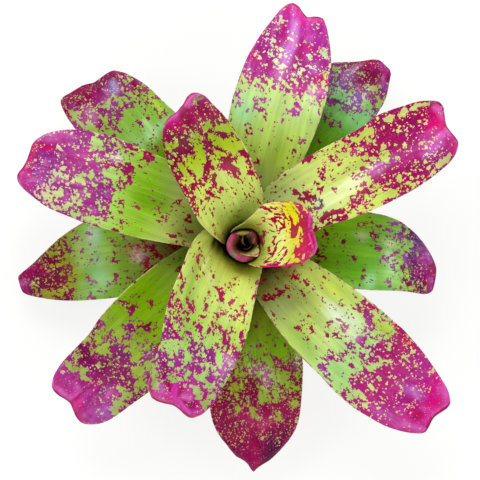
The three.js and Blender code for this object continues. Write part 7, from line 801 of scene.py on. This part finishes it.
    # the curled end: a deep line outside, and a painted highlight on the swollen edge
    lit = g.mul(g.mul(g.ramp(tip, 4.6, 3.0), g.ramp(tip, 1.3, 2.2)), g.ramp(g.noise(g.join(g.mul(x, 0.3), y, seed), 6.0, 1.0), 0.36, 0.62))
    colour = g.mix(g.mul(g.mul(lit, g.mul(magenta, g.ramp(green_of, 0.003, 0.022))), 0.42), colour, rgba((240, 120, 204)))
    colour = g.mix(g.mul(g.ramp(tip, 1.8, 0.8), g.mul(magenta, 0.85)), colour, rgba((142, 0, 86)))

    # the underside is duller and greyed by fine scales
    scurf = g.noise(g.join(g.mul(x, 1.0), g.mul(y, 0.25), seed), 1.6, 3.0, 0.7)
    under = g.mix(0.38, colour, rgba((138, 150, 104)))
    under = g.mix(g.ramp(scurf, 0.45, 0.7, 0.0, 0.35), under, rgba((186, 188, 160)))
    colour = g.mix(upper, under, colour)

    shine = g.node("ShaderNodeBsdfPrincipled")
    g.put(shine.inputs["Base Color"], colour)
    rough = g.add(roughness, g.mul(g.sub(broad, 0.5), 0.16), g.mul(g.sub(1.0, upper), 0.16), g.ramp(tip, 4.0, 0.5, 0.0, 0.22))
    g.put(shine.inputs["Roughness"], rough)
    shine.inputs["Specular IOR Level"].default_value = gloss
    shine.inputs["Coat Weight"].default_value = 0.0
    bump = g.node("ShaderNodeBump")
    bump.inputs["Strength"].default_value = 0.6
    bump.inputs["Distance"].default_value = 0.0005
    ribs = g.noise(g.join(g.mul(x, 0.07), y, seed), 6.5, 1.0)
    height_in = g.add(g.mul(fine, 1.0), g.mul(g.noise(g.join(g.mul(x, 0.4), y, seed), 2.0, 2.0), 0.5), g.mul(ribs, 2.6))
    g.put(bump.inputs["Height"], height_in)
    g.put(shine.inputs["Normal"], bump.outputs[0])
    g.put(g.out.inputs["Surface"], shine.outputs[0])
    return material


def stem_material():
    material = bpy.data.materials.new("stem_fibre")
    g = Graph(material)
    where = g.node("ShaderNodeTexCoord").outputs["Object"]
    x, y, z = g.split(where)
    radius = g.math("SQRT", g.add(g.mul(x, x), g.mul(y, y)))
    cut = g.ramp(z, 0.0006, 0.0002)
    spots = g.noise(g.vec("SCALE", where, scale=1000.0), 1.3, 3.0, 0.6)
    bundles = g.cells(g.vec("SCALE", where, scale=1000.0), 1.7, 1.0)
    rings = g.noise(g.join(g.mul(radius, 1000.0), 0.0, 0.0), 2.2, 1.0)
    face = g.mix(g.ramp(spots, 0.35, 0.7), rgba((206, 190, 140)), rgba((168, 142, 92)))
    face = g.mix(g.ramp(bundles.outputs["Distance"], 0.32, 0.12, 0.0, 0.6), face, rgba((116, 84, 50)))
    face = g.mix(g.ramp(rings, 0.45, 0.65, 0.0, 0.35), face, rgba((140, 112, 70)))
    face = g.mix(g.ramp(radius, 0.0270, 0.0305), face, rgba((112, 84, 52)))
    fibre = g.noise(g.join(g.mul(g.math("ARCTAN2", y, x), 26.0), g.mul(z, 60.0), 0.0), 0.5, 4.0, 0.65)
    bark = g.mix(g.ramp(fibre, 0.3, 0.7), rgba((112, 84, 48)), rgba((158, 138, 84)))
    colour = g.mix(cut, bark, face)
    shine = g.node("ShaderNodeBsdfPrincipled")
    g.put(shine.inputs["Base Color"], colour)
    g.put(shine.inputs["Roughness"], g.add(0.72, g.mul(fibre, 0.15)))
    bump = g.node("ShaderNodeBump")
    bump.inputs["Strength"].default_value = 0.7
    bump.inputs["Distance"].default_value = 0.0006
    g.put(bump.inputs["Height"], g.add(fibre, g.mul(spots, 0.5)))
    g.put(shine.inputs["Normal"], bump.outputs[0])
    g.put(g.out.inputs["Surface"], shine.outputs[0])
    return material


YOUNG = leaf_material("leaf_young", 0.34, drift=0.35, gloss=0.11)
MIDDLE = leaf_material("leaf_middle", 0.34, gloss=0.10)
OLD = leaf_material("leaf_old", 0.36, gloss=0.08)
CUP = leaf_material("cup_leaf", 0.42, streak=0.12, gloss=0.25)

# ---------------------------------------------------------------- open leaves
CUP_CENTRE = (-1.5, -2.3)
# the rolled leaves' outline from above: (azimuth, radius); and that of the wall round them
CUP_OUTLINE = [(-120, 12.2), (-102, 12.4), (-83, 12.7), (-68, 12.8), (-50, 13.9), (-38, 14.5), (-28, 14.6), (-16, 13.8), (0, 11.8), (20, 12.2), (30, 12.9), (36, 13.9), (45, 14.6), (57, 14.6), (67, 13.8), (78, 12.9), (90, 12.6), (103, 12.8), (123, 13.3), (151, 13.3), (173, 13.5), (194, 13.1), (210, 12.8), (235, 12.0), (258, 12.4), (277, 12.7), (292, 12.8), (310, 13.9), (322, 14.5), (332, 14.6)]
WALL_ROUND_CUP = [(-125, 14.4), (-70, 14.6), (-45, 14.9), (-30, 14.8), (-16, 14.2), (0, 13.5), (15, 13.8), (28, 14.3), (42, 15.3), (58, 15.3), (72, 14.6), (90, 13.7), (106, 13.9), (125, 14.4)]
# painted light: how much each leaf's colour is raised where it is steep and in shade, or lowered where the factor is
# below 1, along the leaf: (s, factor)
PAINTED_LIGHT_ALONG = {
    "leaf_01": [(13, 0.9), (16, 1.0), (24, 1.0), (36, 0.93), (50, 0.90)],
    "leaf_02": [(17, 1.7), (24, 1.35), (40, 1.15), (60, 1.0), (80, 0.85), (100, 0.78), (125, 0.72)],
    "leaf_03": [(18, 1.7), (24, 1.3), (34, 1.03), (60, 0.93), (100, 0.95), (140, 1.05)],
    "leaf_04": [(30, 1.3), (60, 1.1), (130, 1.0), (190, 0.98)],
    "leaf_05": [(40, 1.35), (70, 1.2), (100, 1.0), (150, 0.93), (190, 0.95)],
    "leaf_06": [(40, 1.35), (60, 1.2), (90, 0.97), (150, 1.0), (200, 1.1)],
    "leaf_07": [(45, 1.35), (70, 1.18), (110, 1.0), (190, 0.95)],
    "leaf_08": [(60, 1.2), (110, 1.05), (150, 0.85), (190, 0.95)],
    "leaf_09": [(80, 1.5), (110, 1.4), (135, 1.3), (160, 1.0)],
    "leaf_10": [(110, 1.05), (150, 0.95), (175, 0.84), (190, 0.74)],
    "leaf_11": [(85, 1.5), (110, 1.4), (140, 1.3), (165, 1.0), (190, 0.85)],
    "leaf_12": [(105, 1.5), (140, 1.35), (160, 1.15), (185, 0.95)],
    "leaf_13": [(70, 1.4), (110, 1.65), (130, 1.35), (150, 0.95), (180, 0.84)],
}
STRETCH = {"leaf_01": 0.75, "leaf_02": 0.95, "leaf_09": 1.25, "leaf_11": 1.35, "leaf_12": 1.25, "leaf_13": 1.1}
FINE = {"leaf_01": 1.55, "leaf_02": 1.05, "leaf_09": 1.25, "leaf_11": 1.35, "leaf_12": 1.25, "leaf_13": 1.1}
for number, leaf in enumerate(LEAVES):
    if number == 0:
        leaf = dict(leaf, wall=7.5)
    f = leaf_fields(leaf, number, 110, 260) if number == 0 else leaf_fields(leaf, number, 61, 190)
    if number == 0:
        # the youngest open leaf closes round the rolled ones
        near = (1 - smooth(17, 30, f["S"]))[..., None]
        f["P"][..., :2] += np.array(CUP_CENTRE) * near
        dx, dy = f["P"][..., 0] - CUP_CENTRE[0], f["P"][..., 1] - CUP_CENTRE[1]
        push = np.interp(np.degrees(np.arctan2(dy, dx)), *np.array(WALL_ROUND_CUP).T) - leaf["base_r"]
        away = np.hypot(dx, dy)
        f["P"][..., 0] += dx / away * push * near[..., 0]
        f["P"][..., 1] += dy / away * push * near[..., 0]
    strokes = STROKES[leaf["name"]]
    lean, green, pink = paint_leaf(f, MARKS[leaf["name"]], PAINTED_LIGHT_ALONG[leaf["name"]], number, strokes)
    lean = lean + smooth(1.5, 2.0, lean) * 1.4 + 0.12 + 0.14 * smooth(0.1, 0.6, lean)
    ragged = 0.14 * np.sin(f["B"] * 2.3 + f["S"] * 1.1) + 0.12 * np.sin(f["S"] * 3.1 - f["B"] * 1.7)
    for s0, b0, s1, b1, half, value in strokes.get("lean", []):
        soft = 0.5 if abs(value) >= 2 else 1.5
        w = np.clip((half + ragged - away_from(f["S"], f["B"], s0, b0, s1, b1)) / soft + 0.5, 0, 1)
        lean = lean * (1 - w) + value * w
    if number == 0:
        # its lower margin is hot pink from halfway
        margin = smooth(2.3, 1.2, f["edge"]) * smooth(18, 22, f["S"]) * (f["B"] < 0)
        lean = lean + 4 * margin
        pink = blend_to(pink, margin, (226, 6, 116))
    if number == 1:
        margin = smooth(1.9, 1.0, f["edge"]) * smooth(44, 30, f["S"]) * (f["B"] > 0)
        lean = lean - 3 * margin
        green = blend_to(green, margin * 0.8, (236, 216, 110))
    if number == 2:
        # painted shade: the deep gap that its right shoulder closes is painted near black
        along = (f["P"][..., 0] + 25.9) * 0.629 - (f["P"][..., 1] - 4.1) * 0.777
        inward = (f["P"][..., 0] + 25.9) * 0.777 + (f["P"][..., 1] - 4.1) * 0.629
        gap = smooth(-0.7, 0.7, inward) * smooth(-2.5, 0.5, along) * smooth(23, 20, along) * (f["B"] < 0)
        green, pink = blend_to(green, gap, (8, 6, 2)), blend_to(pink, gap, (8, 6, 2))
    end_s, end_b = leaf["end"][6]
    mucro = np.exp(-((f["B"] / 0.9) ** 2)) * smooth(2.2, 0.6, f["tip"])
    grey = linear((112, 92, 98))
    pink = pink * (1 - mucro[..., None]) + grey * mucro[..., None]
    k = STRETCH.get(leaf["name"], 1.0)
    shift = 400.0 * (number + 1)
    lane = f["B"]
    if number == 0:
        # the hooded youngest leaf: its veins close in towards the tip
        lane = lane * np.exp(0.040 * np.clip(f["S"] - 45, -20, 20))
    fine = FINE.get(leaf["name"], 1.0)
    flat = np.stack([f["arc"] * k + shift, lane * fine, np.full_like(f["B"], number * 17.0)], -1)
    rim = np.stack([f["edge"], f["tip"], np.ones_like(f["B"])], -1)
    if number == 0:
        rim[..., 1] += 2.0
    rim_low = rim * np.array([1, 1, 0])
    piece = sheet_mesh(
        leaf["name"] + "_blade",
        f["P"],
        f["half"],
        {
            "flat": ("FLOAT_VECTOR", flat, flat),
            "lean": ("FLOAT", lean[..., None], lean[..., None]),
            "green": ("FLOAT_COLOR", with_alpha(green), with_alpha(green)),
            "pink": ("FLOAT_COLOR", with_alpha(pink), with_alpha(pink)),
            "rim": ("FLOAT_VECTOR", rim, rim_low),
        },
    )
    material, slot = (YOUNG, "leaf_young") if number < 3 else (MIDDLE, "leaf_middle") if number < 8 else (OLD, "leaf_old")
    piece.data.materials.append(material)
    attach(piece, "root")
    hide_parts(leaf["name"])

# ---------------------------------------------------------------- the cup
INNER = [
    dict(name="inner_leaf_1", start=113, stop=328, fall=(4.5, 5.5),
         profile=[(10.8, 44.5), (11.4, 70), (12.7, 94), (13.05, 107), (12.9, 113.5), (12.2, 116.8), (11.0, 118.2), (9.6, 117.4), (8.4, 114.8), (7.3, 110.5), (6.2, 105), (5.2, 99), (4.6, 93)]),
    dict(name="inner_leaf_2", start=6, stop=122, fall=(5, 0),
         profile=[(9.8, 44.5), (10.2, 70), (10.9, 94), (11.6, 108), (12.1, 115), (11.7, 118.8), (10.9, 120.2), (10.0, 119.4), (9.2, 116), (8.5, 111), (8.0, 104)]),
    dict(name="inner_leaf_3", start=-112, stop=4, fall=(0, 0),
         profile=[(5.4, 44.5), (5.6, 70), (6.0, 94), (7.0, 110), (7.5, 112), (8.5, 113.7), (10.0, 115.6), (12.0, 117.4), (14.0, 118.6)]),
    dict(name="inner_leaf_4", start=-140, stop=62, centre=(0.7, -0.5), fall=(7, 5),
         profile=[(3.5, 44.5), (3.8, 65), (4.1, 88), (4.4, 106)]),
]
# the striped fold's lip: (azimuth, inner radius, outer radius, height of its outer edge)
LIP = np.array([(-112, 5.7, 6.6, 113), (-80, 6.2, 7.6, 115.5), (-56, 7.0, 9.6, 118.2), (-38, 7.6, 14.0, 119.8), (-28, 8.2, 14.2, 119.8), (-16, 9.2, 13.4, 119.2), (-4, 11.0, 12.0, 117), (4, 11.3, 11.7, 116)])
SPEAR = dict(name="inner_leaf_5", line=[(-1.2, 5.4), (-2.0, 3.7), (-2.1, 2.0), (-1.3, -0.1), (0.6, -2.3)], bottom=44.5, top=[111.5, 112.2, 111.6, 109, 102])


def closing_rows(n, length, cap, both=False):
    """Shares 0..1 with extra rows close to the end (or both ends) so that an edge can be rounded."""
    inner = np.linspace(0, 1, n)
    extra = np.array([0.05, 0.15, 0.3, 0.45, 0.8]) * cap / length
    values = np.r_[inner, 1 - extra]
    if both:
        values = np.r_[values, extra]
    keep = values[(values <= 1 - extra[-1]) | np.isin(values, 1 - extra) | (values == 1)]
    if both:
        keep = keep[(keep >= extra[-1]) | np.isin(keep, extra) | (keep == 0)]
    return np.unique(keep)


def cup_piece(name, P, edge, top_edge, thick, lean, green, pink, number, upper=1.0):
    half = np.full(P.shape[:2], thick / 2)
    for d in (edge, top_edge):
        half = half * np.sqrt(np.clip(1 - (1 - np.clip(d / (thick / 2), 0, 1)) ** 2, 0, 1))
    nv, nu, _ = P.shape
    du = np.linalg.norm(np.diff(P, axis=1), axis=-1)
    dv = np.linalg.norm(np.diff(P, axis=0), axis=-1)
    across = np.concatenate([np.zeros((nv, 1)), np.cumsum(du, 1)], 1)
    across = across - across[:, nu // 2 : nu // 2 + 1]
    up = np.concatenate([np.zeros((1, nu)), np.cumsum(dv, 0)], 0)
    flat = np.stack([up * 0.5 + 400.0 * (20 + number), across, np.full_like(up, 300.0 + number * 17.0)], -1)
    rim = np.stack([edge + 5, top_edge + 5, np.ones_like(up)], -1)
    piece = sheet_mesh(
        name + "_fold",
        P,
        half,
        {
            "flat": ("FLOAT_VECTOR", flat, flat),
            "lean": ("FLOAT", lean[..., None], lean[..., None]),
            "green": ("FLOAT_COLOR", with_alpha(green), with_alpha(green)),
            "pink": ("FLOAT_COLOR", with_alpha(pink), with_alpha(pink)),
            "rim": ("FLOAT_VECTOR", rim, rim * np.array([1, 1, upper])),
        },
    )
    piece.data.materials.append(CUP)
    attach(piece, "root")
    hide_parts(name)
    return piece


for number, leaf in enumerate(INNER):
    prof = np.array(leaf["profile"], float)
    run = np.r_[0, np.cumsum(np.hypot(*np.diff(prof, axis=0).T))]
    share = closing_rows(80, run[-1], 0.9)
    dist = share * run[-1]
    r, z0 = through(run, prof[:, 0], dist), through(run, prof[:, 1], dist)
    arc = math.radians(leaf["stop"] - leaf["start"]) * prof[:, 0].mean()
    t = closing_rows(96 if leaf["stop"] - leaf["start"] > 60 else 50, arc, 0.9, both=True)
    T, R = np.meshgrid(t, r)
    Z0 = np.repeat(z0[:, None], len(t), 1)
    D = np.repeat(dist[:, None], len(t), 1)
    deg = leaf["start"] + (leaf["stop"] - leaf["start"]) * T
    az = np.radians(deg)
    R0 = R
    side = np.abs(2 * T - 1) ** 4
    Z = Z0 - side * np.where(T < 0.5, *leaf["fall"]) * smooth(60, 112, Z0)
    drift = np.ones_like(Z) if "centre" in leaf else smooth(45, 108, Z0)
    cx, cy = leaf.get("centre", CUP_CENTRE)
    outline = np.interp(deg, *np.array(CUP_OUTLINE).T) - 0.45
    over = smooth(run[5] - 1, run[6] + 2, D) if len(run) > 6 else 0 * D
    if number == 0:
        R = R * (1 + (outline / 13.05 - 1) * smooth(86, 107, Z0 + 60 * over))
    elif number == 1:
        # outside it follows the cup's outline; inside it slopes down like a funnel; its end is a folded point
        R = R * (1 + (outline / 12.1 - 1) * smooth(86, 107, Z0 + 60 * over))
        funnel = smooth(10, 24, deg) * smooth(80, 62, deg)
        R = R - 0.95 * funnel * np.clip(11.2 - R0, 0, 9) * over
        taper = smooth(98, 122, deg) * smooth(104, 112, Z0 + 60 * over)
        R = R + (11.4 - R) * 0.9 * taper
        Z = Z + (119.2 - Z) * 0.8 * taper
    elif number == 2:
        inner_r, outer_r, top_z = (np.interp(deg, LIP[:, 0], LIP[:, k]) for k in (1, 2, 3))
        part = np.clip((D - run[3]) / (run[-1] - run[3]), 0, 1)
        wall = smooth(94, 110, Z0)
        R = np.where(part > 0, inner_r + (outer_r - inner_r) * part, R0 + (inner_r - 7.0) * wall)
        Z = np.where(part > 0, 110 + (top_z - 110) * (1 - (1 - part) ** 1.8), Z0)
    X = cx * drift + R * np.cos(az)
    Y = cy * drift + R * np.sin(az)
    P = np.stack([X, Y, Z], -1)
    wob = waves(50 + number, (az * 12, 14.0), (Z0, 30.0)) * 0.18 * smooth(80, 110, Z0)
    P[..., 2] += wob
    edge = np.minimum(T, 1 - T) * arc
    top_edge = run[-1] - D
    shape = Z.shape
    if number == 0:
        inner = smooth(9.5, 8.0, R0) * over
        green = tint(shape, (150, 130, 80))
        pink = tint(shape, (172, 62, 98))
        # painted highlight along the crown of the ring, then painted shade down its outer side
        pink = blend_to(pink, smooth(11.6, 12.7, R0) * smooth(104, 110, Z0) * 0.6, (204, 100, 138))
        pink = blend_to(pink, smooth(12.6, 13.1, R0) * smooth(116, 108, Z0) * 0.7, (150, 50, 84))
        pink = blend_to(pink, 0.45 * smooth(0.1, 0.9, np.sin(deg / 3.1) * np.sin(deg / 7.7 + R0)), (146, 36, 76))
        pink = blend_to(pink, 0.4 * smooth(0.3, 0.9, np.sin(deg / 5.3 + 1.0) * np.sin(R0 * 4.2)), (204, 104, 136))
        pink = blend_to(pink, inner, (170, 96, 52))
        pink = blend_to(pink, inner * 0.6 * smooth(-0.2, 0.8, np.sin(deg / 6.0) * np.sin(R0 * 2.4 + deg / 20)), (110, 50, 22))
        # painted shade: deepest inside the cup the wall goes dark
        pink = blend_to(pink, inner * smooth(5.6, 4.8, R0), (60, 26, 12))
        damaged = np.exp(-(((deg - 218 - (R0 - 11) * 5) / 15) ** 4)) * smooth(104, 111, Z0)
        pink = blend_to(pink, damaged * 0.9, (128, 116, 96))
        pink = blend_to(pink, damaged * smooth(0.2, 0.9, np.sin(deg * 0.7) * np.sin(R0 * 3.1)) * 0.8, (78, 60, 48))
        curl = np.exp(-(((deg - 226) / 16) ** 2)) * smooth(9.6, 8.4, R0) * over
        pink = blend_to(pink, curl * 0.8, (176, 108, 70))
        pink = blend_to(pink, smooth(100, 84, Z0) * (D < run[6]), (120, 110, 60))
        lean = np.full(shape, 2.6) - 1.6 * smooth(104, 90, Z0) * (D < run[6])
    elif number == 1:
        green = tint(shape, (190, 180, 70))
        green = blend_to(green, smooth(0.2, 0.9, np.sin(deg * 0.55 + R0 * 2.0)) * 0.5, (150, 134, 46))
        pink = tint(shape, (176, 84, 92))
        olive = smooth(11.4, 10.6, R0) * over
        pink = blend_to(pink, olive, (122, 74, 36))
        pink = blend_to(pink, olive * 0.6 * smooth(0.0, 0.8, np.sin(deg / 4.0 + R0)), (92, 38, 26))
        # painted shade: further in and down the funnel it goes dark brown, then near black
        pink = blend_to(pink, smooth(10.2, 9.0, R0) * over, (76, 44, 18))
        pink = blend_to(pink, smooth(9.0, 8.2, R0) * over, (40, 22, 8))
        middle_r = np.interp(deg, [66, 95, 121], [11.9, 10.3, 11.2])
        half_r = np.interp(deg, [66, 76, 95, 112, 122], [0.0, 1.5, 2.7, 1.6, 1.0])
        lozenge = smooth(0.35, -0.35, np.abs(R - middle_r) - half_r) * over
        green = blend_to(green, smooth(0.8, 2.2, middle_r - R) * 0.8, (136, 118, 36))
        lean = 2.2 - 5.0 * lozenge
    elif number == 2:
        green = tint(shape, (214, 204, 122))
        green = blend_to(green, smooth(0.3, 0.0, part), (176, 140, 52))
        green = blend_to(green, smooth(-50, -90, deg) * 0.8, (170, 130, 60))
        pink = tint(shape, (196, 54, 76))
        stripe = part - 0.016 * (deg + 44)
        lean = -2.0 + 4.6 * (np.exp(-(((stripe - 0.60) / 0.085) ** 2)) + np.exp(-(((stripe - 0.97) / 0.08) ** 2))) * smooth(-62, -50, deg)
        lean = lean + 2.6 * smooth(0.92, 1.0, part) * smooth(-30, -50, deg)
        # painted shade: darker lower down, inside the cup
        green = blend_to(green, smooth(112, 100, Z0), (96, 70, 26))
    else:
        # the innermost rolled leaf is painted dark as the shade deep in the cup, with a painted bluish reflection along
        # its top
        green = tint(shape, (70, 78, 40))
        pink = tint(shape, (60, 46, 34))
        top = smooth(101, 105.5, Z0)
        pink = blend_to(pink, top * 0.7, (74, 84, 96))
        lean = np.full(shape, 2.6)
    cup_piece(leaf["name"], P, edge, top_edge, 0.9, lean, green, pink, number)

line = np.array(SPEAR["line"], float)
run = np.r_[0, np.cumsum(np.hypot(*np.diff(line, axis=0).T))]
t = closing_rows(24, run[-1], 0.9, both=True)
tops = through(np.linspace(0, 1, 5), SPEAR["top"], t)
px, py = through(run, line[:, 0], t * run[-1]), through(run, line[:, 1], t * run[-1])
h = closing_rows(50, 60.0, 0.9)
Zs = SPEAR["bottom"] + (tops[None] - SPEAR["bottom"]) * h[:, None]
# it leans, so that a little of its face shows
aside = 2.1 * (1 - 0.9 * t[None]) * np.clip((tops[None] - Zs) / 13, 0, 1)
P = np.stack([np.repeat(px[None], len(h), 0) - aside, np.repeat(py[None], len(h), 0) - 0.3 * aside, Zs], -1)
shape = Zs.shape
# painted shade: the sheet is darker below its lighter top, inside the cup
pink = blend_to(tint(shape, (124, 96, 50)), smooth(98, 110, Zs), (168, 134, 76))
cup_piece(SPEAR["name"], P, np.minimum(t, 1 - t)[None] * run[-1] * np.ones(shape), (tops[None] - Zs), 0.9, np.full(shape, 2.4), tint(shape, (150, 140, 80)), pink, 5)

# ---------------------------------------------------------------- the stem
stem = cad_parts["stem"]
stem.data.materials.clear()
stem.data.materials.append(stem_material())

# ---------------------------------------------------------------- floor, light, camera
floor_mesh = bpy.data.meshes.new("floor")
floor_mesh.from_pydata([(-6, -6, 0), (6, -6, 0), (6, 6, 0), (-6, 6, 0)], [], [(0, 1, 2, 3)])
floor = bpy.data.objects.new("floor", floor_mesh)
bpy.context.scene.collection.objects.link(floor)
floor_material = bpy.data.materials.new("floor_paper")
g = Graph(floor_material)
paper = g.noise(g.node("ShaderNodeTexCoord").outputs["Object"], 0.4, 2.0)
shine = g.node("ShaderNodeBsdfPrincipled")
g.put(shine.inputs["Base Color"], g.mix(paper, (0.20, 0.20, 0.20, 1), (0.22, 0.22, 0.22, 1)))
shine.inputs["Emission Color"].default_value = (1, 1, 1, 1)
shine.inputs["Emission Strength"].default_value = 0.80
shine.inputs["Roughness"].default_value = 0.8
shine.inputs["Specular IOR Level"].default_value = 0.0
g.put(g.out.inputs["Surface"], shine.outputs[0])
floor_mesh.materials.append(floor_material)

world = bpy.data.worlds.new("studio")
bpy.context.scene.world = world
world.use_nodes = True
world.node_tree.nodes["Background"].inputs[0].default_value = (1.0, 1.0, 1.0, 1.0)
world.node_tree.nodes["Background"].inputs[1].default_value = 0.32


def lamp(name, place_at, size, share, target=(0, 0, 0.08)):
    """A softbox that gives an upward-facing white card the given share of full white."""
    data = bpy.data.lights.new(name, "AREA")
    aim = np.array(target) - np.array(place_at)
    distance = float(np.linalg.norm(aim))
    aim = aim / distance
    data.shape, data.size, data.size_y = "RECTANGLE", size[0], size[1]
    data.energy = float(share * math.pi**2 * distance**2 / -aim[2])
    ob = bpy.data.objects.new(name, data)
    bpy.context.scene.collection.objects.link(ob)
    ob.location = place_at
    ob.rotation_euler = (math.acos(-aim[2]), 0, math.atan2(aim[1], aim[0]) - math.pi / 2)
    ob.visible_camera = False
    return ob


lamp("key", (-0.20, 1.10, 1.30), (1.1, 0.8), 0.44)
lamp("left", (-1.30, 0.10, 1.20), (0.8, 1.0), 0.15)
lamp("right", (1.30, -0.10, 1.20), (0.8, 1.0), 0.15)
lamp("front", (0.20, -1.30, 1.20), (1.1, 0.8), 0.14)

camera_data = bpy.data.cameras.new("camera")
camera_data.sensor_width = 36.0
camera_data.lens = 36.0 * 1430.0 / 393.6
camera_data.clip_end = 50
camera = bpy.data.objects.new("camera", camera_data)
bpy.context.scene.collection.objects.link(camera)
camera.location = (-0.0041, 0.00246, 1.5)
camera.rotation_euler = (0, 0, 0)
bpy.context.scene.camera = camera
bpy.context.scene.view_settings.view_transform = "Standard"
bpy.context.scene.view_settings.look = "None"
